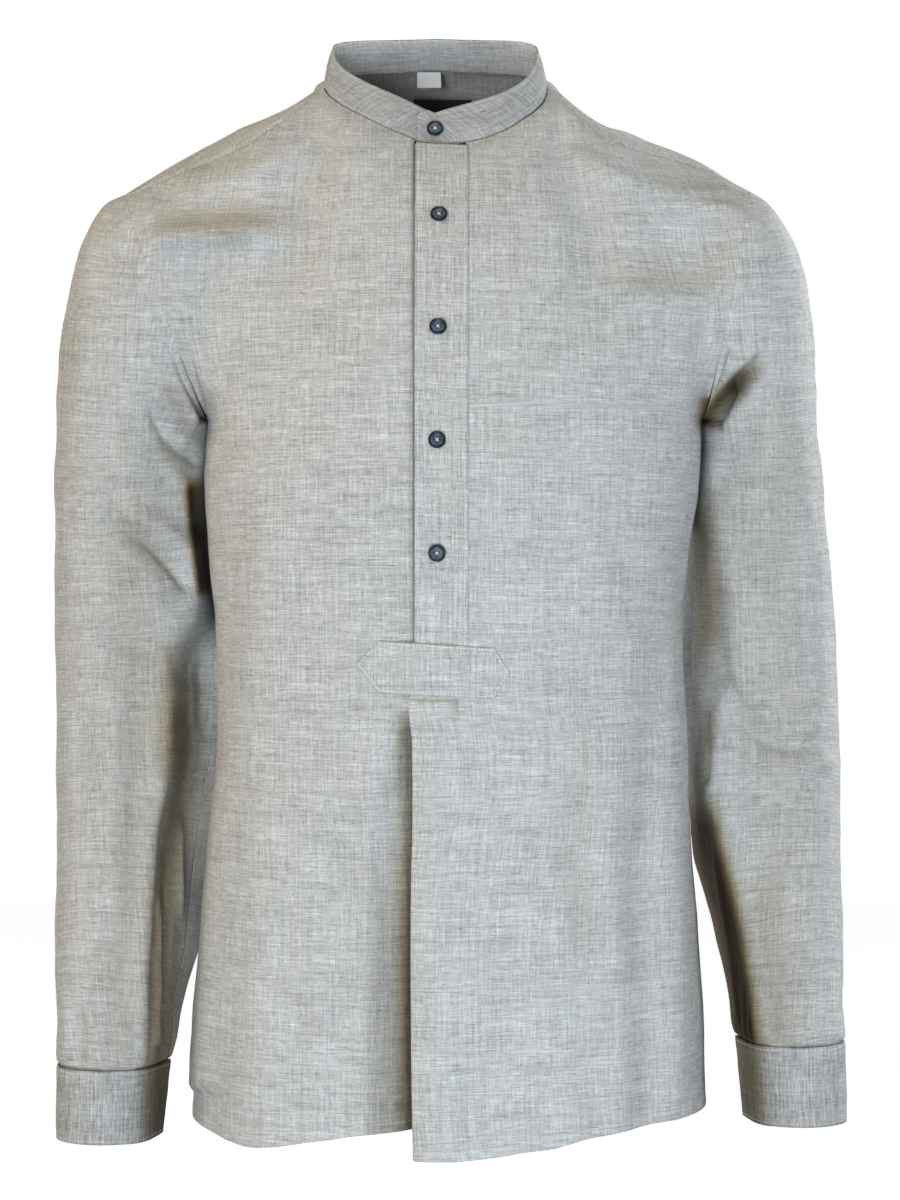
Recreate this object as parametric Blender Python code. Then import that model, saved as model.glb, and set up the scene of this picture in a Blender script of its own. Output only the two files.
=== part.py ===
"""A long-sleeved linen folk shirt with a stand collar: a pullover, filled out as if worn, with nobody in it.

Millimetres in the tables and functions, metres in the scene. +X is the wearer's left, the front faces -Y, +Z is up.
The origin lies between the two points where the shoulder seams meet the collar, where the wearer holds the shirt up.
Each cloth piece is a wall round a middle surface: a grid of points worked out from the tables, moved out and in by half
the wall along its normals, and closed along its edges.
"""

import math

import bpy
import numpy as np
from mathutils import Matrix

# ---------------------------------------------------------------- driving sizes, mm
WALL = 1.0  # a layer of cloth
BAND_WALL = 1.6  # collar and cuffs, two layers and their interlining
SEAM = 0.3  # gap between pieces along a seam
ARMPIT_Z = -241.0
SLIT_END_Z = -412.0  # where the front slit stops, under the tab
SLIT_LEFT, SLIT_RIGHT = -18.2, 17.9
PLACKET_LEFT, PLACKET_RIGHT = -17.2, 17.6  # the 35 mm buttonhole band
BUTTON_DIAMETER, BUTTON_THICK = 12.0, 2.4
BUTTON_X = (-0.9, -1.4, -2.0, -2.0)  # down the band
ROUND_BODY = 2.3  # exponent of the body's sections: 2 is an ellipse
PLEAT_TURN_X = 8.0  # where the under layer of the pleat turns back
HEM_FOLLOW_Z = -600.0  # rows below this follow the hem's line

# z, X of the left side, X of the right side, Y at the front, Y at the back
BODY = np.array(
    [
        (-200.0, -171.0, 191.0, -124.0, 126.0),
        (-241.0, -169.5, 190.5, -131.0, 125.0),
        (-289.0, -171.0, 187.5, -137.0, 121.0),
        (-345.0, -168.0, 179.5, -139.0, 115.0),
        (-400.0, -162.5, 175.0, -138.0, 110.0),
        (-470.0, -161.5, 178.0, -136.5, 109.0),
        (-540.0, -167.5, 180.5, -135.5, 113.0),
        (-620.0, -172.5, 187.0, -135.5, 119.0),
        (-700.0, -178.0, 191.5, -136.0, 124.0),
        (-780.0, -182.5, 193.0, -136.5, 127.0),
    ]
)

# angle from the front centre in degrees, then the collar's base and rim height on the wearer's right and left
COLLAR_Z = np.array(
    [
        (0.0, -51.5, -52.0, -25.0, -25.0),
        (20.0, -41.0, -47.0, -13.0, -17.0),
        (35.0, -31.5, -40.0, -5.0, -11.0),
        (52.0, -21.0, -28.0, 4.0, -3.0),
        (75.0, -8.0, -13.0, 17.0, 13.0),
        (90.0, 0.5, -0.5, 28.0, 26.0),
        (135.0, 14.0, 14.0, 36.5, 36.5),
        (180.0, 19.0, 19.0, 39.5, 39.5),
    ]
)
NECK_BASE = (-3.3, 81.0, -48.0, 40.0)  # centre X, half width, front Y, back Y
NECK_RIM = (-3.7, 74.0, -38.0, 22.0)
NECK_CLEAR = 1.0  # the panels' neckline is this much wider than the collar's middle surface

# the armholes: top X and Z, armpit X, middle Y, reach to the front and to the back
ARMHOLE = {
    "right": (-229.0, -78.0, -169.5, 2.0, 66.0, 66.0),
    "left": (223.0, -75.0, 190.5, 2.0, 66.0, 66.0),
}
# where the yoke's front and back seams meet the armhole, degrees round it from its top (front is plus)
YOKE_AT_ARMHOLE = {"right": (20.0, -40.0), "left": (2.0, -40.0)}
# angle round the collar's base at which the yoke's front seam starts
YOKE_AT_NECK = {"right": 83.0, "left": 88.0}
# share of a half front's columns from the armhole to the neck point
NECK_COLUMN = 0.6
YOKE_NECK = 0.42  # the yoke's columns nearer the centre than this start at the neckline

# the yoke's front seams between neck and armhole: share of the way, X, Y, Z
YOKE_FRONT = {
    "right": np.array([(0.33, -133.0, -36.0, -44.0), (0.55, -162.0, -32.0, -58.0), (0.75, -188.0, -28.0, -67.0)]),
    "left": np.array([(0.3, 121.0, -35.0, -44.0), (0.5, 145.0, -26.0, -51.5), (0.78, 190.0, -4.0, -60.0)]),
}
YOKE_BACK_CENTRE = (3.0, 104.0, -80.0)

# sleeves, a row for each ring: outer X and Z, inner X and Z, middle Y, half depth
SLEEVE = {
    "right": np.array(
        [
            (-243.0, -85.0, -172.0, -244.0, 3.0, 66.5),
            (-255.5, -102.0, -172.8, -248.0, 5.0, 66.5),
            (-265.0, -123.0, -173.0, -253.0, 8.0, 66.0),
            (-273.0, -156.0, -173.0, -262.0, 12.0, 65.0),
            (-279.0, -195.0, -173.2, -277.0, 16.0, 64.0),
            (-282.5, -241.0, -173.2, -299.0, 20.0, 63.0),
            (-284.0, -292.0, -171.5, -329.0, 24.0, 62.0),
            (-284.5, -347.0, -166.5, -368.0, 28.0, 60.5),
            (-284.5, -405.0, -162.5, -416.0, 30.0, 59.5),
            (-284.0, -465.0, -161.8, -468.0, 28.0, 59.0),
            (-283.0, -523.0, -167.5, -521.0, 21.0, 57.0),
            (-281.5, -577.0, -172.5, -573.0, 10.0, 53.5),
            (-280.0, -626.0, -176.5, -622.0, -2.0, 49.0),
            (-278.5, -668.0, -187.0, -666.0, -12.0, 44.5),
            (-276.5, -697.0, -193.5, -696.0, -17.0, 40.0),
            (-275.5, -708.0, -197.0, -708.0, -18.5, 37.0),
        ]
    ),
    "left": np.array(
        [
            (237.0, -84.0, 192.8, -244.0, 3.0, 66.5),
            (250.0, -100.0, 193.2, -248.0, 5.0, 66.5),
            (260.5, -119.0, 193.2, -253.0, 8.0, 66.0),
            (269.0, -151.0, 193.0, -262.0, 12.0, 65.0),
            (273.5, -190.0, 191.4, -277.0, 16.0, 64.0),
            (276.5, -240.0, 189.2, -299.0, 20.0, 63.0),
            (281.5, -292.0, 184.8, -329.0, 24.0, 62.0),
            (287.0, -349.0, 179.8, -367.0, 27.0, 60.5),
            (291.5, -407.0, 177.6, -415.0, 28.0, 59.5),
            (294.0, -465.0, 180.2, -467.0, 25.0, 59.0),
            (294.0, -522.0, 183.0, -519.0, 17.0, 57.0),
            (293.0, -573.0, 189.5, -569.0, 7.0, 53.0),
            (292.0, -617.0, 201.5, -614.0, -4.0, 48.0),
            (291.5, -654.0, 208.5, -652.0, -12.0, 43.5),
            (291.2, -681.0, 212.5, -680.0, -17.0, 39.5),
            (291.0, -691.0, 215.5, -691.0, -18.5, 37.0),
        ]
    ),
}
# cuffs: top and bottom Z, outer and inner X at the top and at the bottom, middle Y, half depth
CUFF = {
    "right": (-709.5, -762.0, -277.0, -196.0, -277.5, -202.0, -19.0, 37.5),
    "left": (-692.5, -749.5, 292.0, 214.5, 293.5, 220.0, -19.0, 37.5),
}
CUFF_OPENING = 236.0  # where the cuff overlaps and the sleeve is slit: degrees round the sleeve from its outer side
CUFF_OVERLAP = 26.0  # degrees

# the hem: X, then Z
HEM_FRONT_RIGHT = np.array([(-190.0, -744.0), (-160.0, -751.5), (-130.0, -754.5), (-84.0, -747.0), (-45.0, -741.5), (0.0, -740.5)])
HEM_FRONT_LEFT = np.array([(-22.0, -756.5), (8.0, -757.0), (67.0, -752.5), (101.0, -746.0), (140.0, -741.5), (195.0, -738.0)])
HEM_BACK = np.array([(-190.0, -744.0), (-120.0, -757.0), (0.0, -768.0), (125.0, -755.0), (195.0, -738.0)])

# soft folds of the front: X and Z at the upper end, at the middle and at the lower end, width, height
FOLDS_FRONT = np.array(
    [
        (-52.0, -455.0, -56.0, -600.0, -58.0, -760.0, 30.0, -11.0),
        (-8.0, -470.0, -6.0, -610.0, -4.0, -760.0, 34.0, 5.0),
        (112.0, -405.0, 84.0, -520.0, 96.0, -760.0, 20.0, 4.5),
        (66.0, -440.0, 58.0, -560.0, 64.0, -760.0, 20.0, -3.5),
        (142.0, -470.0, 138.0, -600.0, 142.0, -760.0, 16.0, -4.0),
        (-105.0, -470.0, -112.0, -600.0, -122.0, -760.0, 24.0, 5.0),
        (-132.0, -380.0, -146.0, -520.0, -160.0, -740.0, 16.0, -3.5),
        (-150.0, -112.0, -185.0, -120.0, -205.0, -122.0, 14.0, -3.5),
        (178.0, -214.0, 158.0, -196.0, 128.0, -182.0, 12.0, -3.5),
    ]
)
FOLDS_BACK = np.array(
    [
        (-60.0, -330.0, -70.0, -520.0, -78.0, -790.0, 26.0, 5.0),
        (8.0, -300.0, 4.0, -520.0, 10.0, -790.0, 30.0, -6.0),
        (84.0, -360.0, 92.0, -540.0, 96.0, -790.0, 24.0, 5.5),
        (-128.0, -280.0, -134.0, -420.0, -128.0, -790.0, 18.0, -4.0),
        (138.0, -290.0, 142.0, -430.0, 140.0, -790.0, 18.0, -4.0),
    ]
)
# sleeve folds: degrees round from the outer side (front is 90), ring share from the shoulder, at both ends; width in
# degrees, height
FOLDS_SLEEVE = {
    "right": np.array(
        [
            (150.0, 0.30, 120.0, 0.46, 20.0, 4.0),
            (60.0, 0.47, 140.0, 0.56, 18.0, -4.0),
            (110.0, 0.58, 125.0, 0.93, 22.0, -4.5),
            (60.0, 0.62, 55.0, 0.95, 24.0, 3.0),
            (230.0, 0.42, 300.0, 0.58, 24.0, -4.0),
            (250.0, 0.66, 240.0, 0.92, 22.0, 3.5),
        ]
    ),
    "left": np.array(
        [
            (150.0, 0.20, 70.0, 0.34, 22.0, -4.0),
            (150.0, 0.60, 110.0, 0.56, 18.0, -4.0),
            (60.0, 0.58, 105.0, 0.60, 16.0, -3.5),
            (120.0, 0.64, 118.0, 0.94, 20.0, 4.0),
            (230.0, 0.44, 300.0, 0.60, 24.0, -4.0),
            (250.0, 0.68, 244.0, 0.92, 22.0, 3.5),
        ]
    ),
}

# the tab under the slit, a six-sided patch: X and Z of its corners, round from the left tip
# X, Z of the upper edge, Z of the lower edge
TAB = np.array(
    [
        (-57.3, -417.9, -418.9),
        (-44.0, -404.6, -435.6),
        (-41.6, -402.0, -437.9),
        (36.3, -407.0, -441.7),
        (37.7, -408.2, -440.0),
        (47.9, -423.4, -424.4),
    ]
)
SIZE_TAB = (-17.4, 0.4, 17.8, 6.0, 37.6)  # X, X, top Z, bottom Z, Y: it hangs in the back of the neck
NECK_LABEL = (-20.5, 23.5, 0.285, 0.56)  # X, X, and shares of the yoke's depth from the neckline
BUTTON_Z = (-105.0, -186.0, -264.5, -342.0)  # down the band; the fifth is on the collar

# ---------------------------------------------------------------- curves
def smooth_table(keys, values, at):
    """Monotone cubic through the rows of a table, held past its ends. keys rise; values may have several columns."""
    keys, at = np.asarray(keys, float), np.atleast_1d(np.asarray(at, float))
    values = np.asarray(values, float)
    values = values.reshape(len(keys), -1)
    step = np.diff(keys)[:, None]
    slope = np.diff(values, axis=0) / step
    ends = np.zeros_like(values)
    ends[0], ends[-1] = slope[0], slope[-1]
    same = slope[:-1] * slope[1:] > 0
    with np.errstate(divide="ignore", invalid="ignore"):
        mean = 2 * slope[:-1] * slope[1:] / (slope[:-1] + slope[1:])
    ends[1:-1] = np.where(same, mean, 0.0)
    at = np.clip(at, keys[0], keys[-1])
    i = np.clip(np.searchsorted(keys, at, side="right") - 1, 0, len(keys) - 2)
    t = ((at - keys[i]) / (keys[i + 1] - keys[i]))[:, None]
    h = (keys[i + 1] - keys[i])[:, None]
    return (
        values[i] * (2 * t**3 - 3 * t**2 + 1)
        + ends[i] * h * (t**3 - 2 * t**2 + t)
        + values[i + 1] * (-2 * t**3 + 3 * t**2)
        + ends[i + 1] * h * (t**3 - t**2)
    )


def hermite(a, ta, b, tb, t):
    """Cubic from a to b with end tangents ta and tb, at t. Points are rows; t broadcasts."""
    return a * (2 * t**3 - 3 * t**2 + 1) + ta * (t**3 - 2 * t**2 + t) + b * (-2 * t**3 + 3 * t**2) + tb * (t**3 - t**2)


def ease(t):
    t = np.clip(t, 0.0, 1.0)
    return t * t * (3 - 2 * t)


def along(points, share):
    """Points at these shares of a polyline's length."""
    length = np.concatenate([[0.0], np.cumsum(np.linalg.norm(np.diff(points, axis=0), axis=1))])
    share = np.atleast_1d(share) * length[-1]
    return np.stack([np.interp(share, length, points[:, k]) for k in range(3)], axis=1)


def folds(table, x, z):
    """How far soft folds move the cloth out at x, z: each a ridge along a bent line, fading at its ends."""
    x, z = np.asarray(x, float), np.asarray(z, float)
    out = np.zeros(np.broadcast(x, z).shape)
    for x0, z0, x1, z1, x2, z2, width, height in table:
        if abs(z2 - z0) >= abs(x2 - x0):
            t = (z - z0) / (z2 - z0)
            middle = (z1 - z0) / (z2 - z0)
            centre = np.where(t < middle, x0 + (x1 - x0) * t / middle, x1 + (x2 - x1) * (t - middle) / (1 - middle))
            off = x - centre
            low_end_open = z2 < -730.0
        else:
            t = (x - x0) / (x2 - x0)
            middle = (x1 - x0) / (x2 - x0)
            centre = np.where(t < middle, z0 + (z1 - z0) * t / middle, z1 + (z2 - z1) * (t - middle) / (1 - middle))
            off = z - centre
            low_end_open = False
        fade = ease(t / 0.35) * (1.0 if low_end_open else ease((1 - t) / 0.35))
        out = out + height * fade * np.exp(-((off / width) ** 2))
    return out


# ---------------------------------------------------------------- the body below the armholes
def body_half(z, back):
    """A fine polyline from the right side seam to the left, round the front or the back, at height z."""
    left, right, front, rear = smooth_table(BODY[::-1, 0], BODY[::-1, 1:], z)[0]
    angle = np.linspace(0.0, math.pi, 241)
    c, s = np.cos(angle), np.sin(angle)
    x = (left + right) / 2 - (right - left) / 2 * np.sign(c) * np.abs(c) ** (2 / ROUND_BODY)
    y = (rear if back else front) * np.abs(s) ** (2 / ROUND_BODY)
    return np.stack([x, y, np.full_like(x, z)], axis=1)


def side_share(curve, x):
    """The share of a half section's length at which it reaches x."""
    length = np.concatenate([[0.0], np.cumsum(np.linalg.norm(np.diff(curve, axis=0), axis=1))])
    return float(np.interp(x, curve[:, 0], length) / length[-1])


def with_folds(points, table):
    """Points of the body moved out along the section by the folds there."""
    out = folds(table, points[..., 0], points[..., 2])
    centre_x = 8.0
    normal = np.stack([(points[..., 0] - centre_x) / 1.6, points[..., 1]], axis=-1)
    normal /= np.maximum(np.linalg.norm(normal, axis=-1, keepdims=True), 1e-9)
    moved = points.copy()
    moved[..., :2] += normal * out[..., None]
    return moved


# ---------------------------------------------------------------- neck and armholes
def neck_ring(angle, rim=False, out=0.0):
    """The collar's seam line or its rim. angle in degrees from the front centre, plus on the wearer's left."""
    angle = np.asarray(angle, float)
    centre, half, front, rear = NECK_RIM if rim else NECK_BASE
    turned = (angle + 180.0) % 360.0 - 180.0
    a = np.radians(turned)
    middle, reach = (front + rear) / 2, (rear - front) / 2
    x = centre + (half + out) * np.sin(a)
    y = middle - (reach + out) * np.cos(a)
    heights = smooth_table(COLLAR_Z[:, 0], COLLAR_Z[:, 1:], np.abs(turned).ravel()).reshape(turned.shape + (4,))
    on_left = ease((np.sin(a) + 0.35) / 0.7)
    low, high = (2, 3) if rim else (0, 1)
    z = heights[..., low] * (1 - on_left) + heights[..., high] * on_left
    return np.stack([x, y, z], axis=-1)


def armhole(side, angle):
    """The armhole's seam line. angle in degrees from its top, plus to the front, 180 at the armpit."""
    top_x, top_z, pit_x, middle_y, front, rear = ARMHOLE[side]
    a = np.radians(np.asarray(angle, float))
    c, s = np.cos(a), np.sin(a)
    x = (top_x + pit_x) / 2 + (top_x - pit_x) / 2 * c
    z = (top_z + ARMPIT_Z) / 2 + (top_z - ARMPIT_Z) / 2 * c
    y = middle_y * (1 + c) / 2 - np.where(s > 0, front, rear) * s
    return np.stack([x, y, z], axis=-1)


def sign(side):
    return 1.0 if side == "left" else -1.0


def neck_point(side):
    return neck_ring(sign(side) * YOKE_AT_NECK[side], out=NECK_CLEAR)


def yoke_front(side, share):
    """The yoke's front seam: share 0 at the neck, 1 at the armhole."""
    rows = YOKE_FRONT[side]
    keys = np.concatenate([[0.0], rows[:, 0], [1.0]])
    values = np.concatenate([[neck_point(side)], rows[:, 1:], [armhole(side, YOKE_AT_ARMHOLE[side][0])]])
    return smooth_table(keys, values, share)


def yoke_back(share):
    """The yoke's back seam: share -1 at the right armhole, 0 at the centre, 1 at the left armhole."""
    share = np.atleast_1d(np.asarray(share, float))
    ends = {name: armhole(name, YOKE_AT_ARMHOLE[name][1]) for name in ("right", "left")}
    out = np.zeros((len(share), 3))
    for k, s in enumerate(share):
        end = ends["left"] if s > 0 else ends["right"]
        w = abs(s)
        centre = np.array(YOKE_BACK_CENTRE)
        out[k, 0] = centre[0] + (end[0] - centre[0]) * w
        out[k, 1] = end[1] + (centre[1] - end[1]) * math.sqrt(max(0.0, 1 - w**2.4))
        out[k, 2] = centre[2] + (end[2] - centre[2]) * w**1.6
    return out


# ---------------------------------------------------------------- the three body panels as surfaces
def front_half(side, columns, rows):
    """The front above the armpit, one half. columns: shares from the armhole (0) to the slit (1); rows: shares from the
    armpit (0) to the yoke seam or neckline (1). Gives points [column, row]."""
    columns, rows = np.asarray(columns, float), np.asarray(rows, float)
    curve = body_half(ARMPIT_Z, back=False)
    slit = side_share(curve, SLIT_LEFT if side == "right" else SLIT_RIGHT)
    bottom = along(curve, columns * slit if side == "right" else 1 - columns * (1 - slit))
    bottom = with_folds(bottom, FOLDS_FRONT)
    top = np.zeros_like(bottom)
    shoulder = columns <= NECK_COLUMN
    top[shoulder] = yoke_front(side, 1 - columns[shoulder] / NECK_COLUMN)
    slit_x = SLIT_LEFT if side == "right" else SLIT_RIGHT
    slit_angle = math.degrees(math.asin((slit_x - NECK_BASE[0]) / NECK_BASE[1]))
    start = sign(side) * YOKE_AT_NECK[side]
    share = (columns[~shoulder] - NECK_COLUMN) / (1 - NECK_COLUMN)
    top[~shoulder] = neck_ring(start + (slit_angle - start) * share, out=NECK_CLEAR)
    inner = ease((columns - 0.25) / 0.6)[:, None]  # 0 near the armhole, 1 near the centre
    up = np.stack([-sign(side) * -0.10 * (1 - columns), 0.02 + 0.05 * columns, np.ones_like(columns)], axis=1)
    leave = up * (150.0 + 30.0 * inner)
    to_shoulder = np.array([0.0, 0.75, 0.66]) * 120.0
    to_neck = np.array([0.0, 0.80, 0.60]) * 140.0
    arrive = to_shoulder * (1 - inner) + to_neck * inner
    t = rows[None, :, None]
    grid = hermite(bottom[:, None], leave[:, None], top[:, None], arrive[:, None], t)
    own_edge = hermite(bottom[:1][:, None], leave[:1][:, None], top[:1][:, None], arrive[:1][:, None], t)[0]
    seam = armhole(side, 180.0 + (YOKE_AT_ARMHOLE[side][0] - 180.0) * rows)
    pull = (np.clip(1 - columns / 0.55, 0, 1) ** 2.2)[:, None, None]
    if columns[0] == 0.0:
        grid = grid + pull * (seam - own_edge)[None]
    return grid


def back_upper(columns, rows):
    """The back above the armpit. columns: -1 at the right armhole, 0 at the centre, 1 at the left; rows 0 to 1."""
    columns, rows = np.asarray(columns, float), np.asarray(rows, float)
    curve = body_half(ARMPIT_Z, back=True)
    centre = side_share(curve, YOKE_BACK_CENTRE[0])
    share = np.where(columns < 0, centre * (1 + columns), centre + (1 - centre) * columns)
    bottom = with_folds(along(curve, share), FOLDS_BACK)
    top = yoke_back(columns)
    leave = np.stack([0.06 * columns, np.full_like(columns, 0.0), np.ones_like(columns)], axis=1) * 120.0
    arrive = np.stack([0 * columns, -0.50 * np.ones_like(columns), 0.86 * np.ones_like(columns)], axis=1) * 110.0
    t = rows[None, :, None]
    grid = hermite(bottom[:, None], leave[:, None], top[:, None], arrive[:, None], t)
    for side in ("right", "left"):
        edge = 0 if side == "right" else -1
        seam = armhole(side, -180.0 + (YOKE_AT_ARMHOLE[side][1] + 180.0) * rows)
        away = 1 + columns if side == "right" else 1 - columns
        pull = (np.clip(1 - away / 0.6, 0, 1) ** 2.2)[:, None, None]
        grid = grid + pull * (seam - grid[edge])[None]
    return grid


def yoke_surface(columns, rows):
    """The yoke. columns: -1 at the right armhole, -NECK_COLUMN.. round the neck .., 1 at the left armhole; rows: 0 on the
    front seams and the back neckline, 1 on the back seam."""
    columns, rows = np.asarray(columns, float), np.asarray(rows, float)
    neck = YOKE_NECK
    start, leave = np.zeros((len(columns), 3)), np.zeros((len(columns), 3))
    for k, c in enumerate(columns):
        side = "left" if c > 0 else "right"
        if abs(c) > neck:
            share = (abs(c) - neck) / (1 - neck)
            start[k] = yoke_front(side, share)[0]
            from_neck = np.array([sign(side) * 62.0, 62.0, 34.0 if side == "right" else 24.0])
            over = np.array([0.0, 0.72, 0.70]) * (205.0 - 65.0 * share) + [0.0, 0.0, 34.0 if side == "right" else 8.0]
            leave[k] = from_neck + (over - from_neck) * ease(share / 0.45)
        else:
            angle = 180.0 - (180.0 - YOKE_AT_NECK[side]) * abs(c) / neck
            start[k] = neck_ring(sign(side) * angle, out=NECK_CLEAR)
            outward = np.array([math.sin(math.radians(angle)) * sign(side), -math.cos(math.radians(angle)), 0.0])
            flat = abs(c) / neck
            from_neck = np.array([sign(side) * 62.0, 62.0, 34.0 if side == "right" else 24.0])
            leave[k] = (outward * 62.0 + np.array([0.0, 0.0, -14.0])) * (1 - flat) + from_neck * flat
    end = yoke_back(columns)
    arrive = np.stack([0 * columns, 0.50 * np.ones_like(columns), -0.86 * np.ones_like(columns)], axis=1)
    arrive = arrive * (100.0 + 60.0 * ease((np.abs(columns) - 0.3) / 0.4) * (1 - 0.35 * np.abs(columns)))[:, None]
    t = rows[None, :, None]
    grid = hermite(start[:, None], leave[:, None], end[:, None], arrive[:, None], t)
    for side in ("right", "left"):
        edge = 0 if side == "right" else -1
        front, rear = YOKE_AT_ARMHOLE[side]
        seam = armhole(side, front + (rear - front) * rows)
        away = 1 + columns if side == "right" else 1 - columns
        pull = (np.clip(1 - away / 0.5, 0, 1) ** 2)[:, None, None]
        grid = grid + pull * (seam - grid[edge])[None]
    return grid


def hem_follow(z, hem):
    """Rows below HEM_FOLLOW_Z stretch to end on the hem's line."""
    return np.where(z < HEM_FOLLOW_Z, HEM_FOLLOW_Z + (z - HEM_FOLLOW_Z) * (hem - HEM_FOLLOW_Z) / (-750.0 - HEM_FOLLOW_Z), z)


def hem_height(table, x):
    return smooth_table(table[:, 0], table[:, 1], x)[:, 0]


def pleat_pitch(z):
    """The spacing of the pleat's layers, which opens towards the hem."""
    return 1.5 + 2.3 * ease((-445.0 - z) / 280.0)


def pleat_edge(z):
    """X of the pleat's sharp front edge."""
    table = np.array([(-760.0, -17.5), (-700.0, -19.0), (-600.0, -19.5), (-520.0, -18.5), (-475.0, -18.8), (-440.0, -21.5), (-400.0, -21.5)])
    return smooth_table(table[:, 0], table[:, 1], z)[:, 0]


def lifted(x, z):
    """How far the front's left half lies out: on the pleat's layers low down, on the slit's edge above."""
    low = 2 * pleat_pitch(z) * (1 - ease((x + 8.0) / 90.0))
    high = 1.2 * (1 - ease((x - 18.0) / 60.0))
    return high + (low - high) * ease((SLIT_END_Z + 6.0 - z) / 12.0)


def front_lower(columns_right, columns_left, z_rows):
    """The front below the armpit: the right half's columns, the pleat's, the left half's. Points [column, row]."""
    pleat = pleat_profile(-500.0)
    total = len(columns_right) + len(pleat) + len(columns_left)
    grid = np.zeros((total, len(z_rows), 3))
    for r, z in enumerate(z_rows):
        curve = body_half(z, back=False)
        right = along(curve, np.asarray(columns_right) * side_share(curve, SLIT_LEFT))
        slit = side_share(curve, SLIT_RIGHT)
        left = along(curve, 1 - np.asarray(columns_left) * (1 - slit))
        profile = np.array(pleat_profile(z))
        middle = along(curve, [side_share(curve, x) for x in profile[:, 0]])
        out = np.concatenate([np.zeros(len(right)), profile[:, 1], lifted(left[:, 0], np.full(len(left), z))])
        row = np.concatenate([right, middle, left])
        hem = np.concatenate(
            [
                hem_height(HEM_FRONT_RIGHT, right[:, 0]),
                -740.5 + (-757.0 + 740.5) * ease((profile[:, 2])),
                hem_height(HEM_FRONT_LEFT, left[:, 0]),
            ]
        )
        row[:, 2] = hem_follow(np.full(total, float(z)), hem)
        row[:, 1] -= out
        grid[:, r] = with_folds(row, FOLDS_FRONT)
    return grid


def pleat_profile(z):
    """Across the pleat at height z: X, how far out, and how far along the fold. The cloth runs under its own left half,
    turns back at PLEAT_TURN_X, turns again at the sharp edge and runs on over itself."""
    p = float(pleat_pitch(z))
    edge = float(pleat_edge(z)[0])
    turn = PLEAT_TURN_X
    return [
        (-6.0, 0.0, 0.0),
        (turn - 1.5, 0.0, 0.0),
        (turn, 0.13 * p, 0.1),
        (turn + 0.5 * p, 0.5 * p, 0.2),
        (turn, 0.87 * p, 0.3),
        (turn - 1.5, p, 0.35),
        (edge + 2.2, p, 0.7),
        (edge + 0.5 * p, 1.13 * p, 0.8),
        (edge, 1.5 * p, 0.9),
        (edge + 0.5 * p, 1.87 * p, 1.0),
        (edge + 2.2, 2 * p, 1.0),
        (-4.0, 2 * p, 1.0),
    ]


# ---------------------------------------------------------------- sleeves
def sleeve_surface(side, around, lengthwise):
    """A sleeve. around: degrees from the outer side, plus to the front; lengthwise: 0 at the armhole, 1 at the cuff.
    Points [around, lengthwise]."""
    around, lengthwise = np.asarray(around, float), np.asarray(lengthwise, float)
    table = SLEEVE[side]
    a = np.radians(around)
    rings = [armhole(side, around)]
    rings[0] = rings[0] + np.stack(
        [sign(side) * (0.45 + 1.3 * (1 - np.cos(a)) / 2), 0 * a, -0.2 + 0 * a], axis=1
    )
    for row in table:
        outer_x, outer_z, inner_x, inner_z, middle, half = row
        x = (outer_x + inner_x) / 2 + (outer_x - inner_x) / 2 * np.cos(a)
        z = (outer_z + inner_z) / 2 + (outer_z - inner_z) / 2 * np.cos(a)
        rings.append(np.stack([x, middle - half * np.sin(a), z], axis=1))
    rings = np.array(rings)
    keys = np.concatenate([[0.0], np.cumsum(np.linalg.norm(np.diff(rings.mean(axis=1), axis=0), axis=1) + 6.0)])
    keys /= keys[-1]
    flat = smooth_table(keys, rings.reshape(len(rings), -1), lengthwise)
    grid = flat.reshape(len(lengthwise), len(around), 3).transpose(1, 0, 2)
    centre = grid.mean(axis=0, keepdims=True)
    out = np.zeros(grid.shape[:2])
    for a0, t0, a1, t1, width, height in FOLDS_SLEEVE[side]:
        if abs(t1 - t0) * 250 > abs(a1 - a0):
            t = (lengthwise - t0) / (t1 - t0)
            at = a0 + (a1 - a0) * t
            off = (around[:, None] - at[None] + 180.0) % 360.0 - 180.0
            fade = ease(t / 0.3) * ease((1 - t) / 0.3)
            out += height * fade[None] * np.exp(-((off / width) ** 2))
        else:
            t = (around - a0) / (a1 - a0)
            at = t0 + (t1 - t0) * t
            off = (lengthwise[None] - at[:, None]) * 700.0
            fade = ease(t / 0.3) * ease((1 - t) / 0.3)
            out += height * fade[:, None] * np.exp(-((off / width) ** 2))
    ray = grid - centre
    ray /= np.maximum(np.linalg.norm(ray, axis=2, keepdims=True), 1e-9)
    keep = ease(lengthwise / 0.08) * ease((1 - lengthwise) / 0.05)
    return grid + ray * (out * keep[None])[..., None]


def cuff_surface(side, around, rows):
    """A cuff as a band whose ends overlap at the opening. around: degrees; rows: 0 at the top, 1 at the bottom."""
    top_z, bottom_z, top_out, top_in, low_out, low_in, middle, half = CUFF[side]
    around, rows = np.asarray(around, float), np.asarray(rows, float)
    a = np.radians(around)[:, None]
    t = rows[None]
    outer, inner = top_out + (low_out - top_out) * t, top_in + (low_in - top_in) * t
    end = CUFF_OPENING + 360.0
    lap = 2.2 * ease((around - (end - CUFF_OVERLAP - 18.0)) / 18.0)[:, None]
    size = half + lap
    x = (outer + inner) / 2 + ((outer - inner) / 2 + sign(side) * lap) * np.cos(a)
    y = middle - size * np.sin(a) + 0 * t
    z = top_z + (bottom_z - top_z) * t + 0 * a
    return np.stack([x, y, z], axis=2)


# ---------------------------------------------------------------- collar, tab and labels
COLLAR_UNDER_END, COLLAR_TOP_END = 12.0, -9.8  # degrees from the front centre


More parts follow.
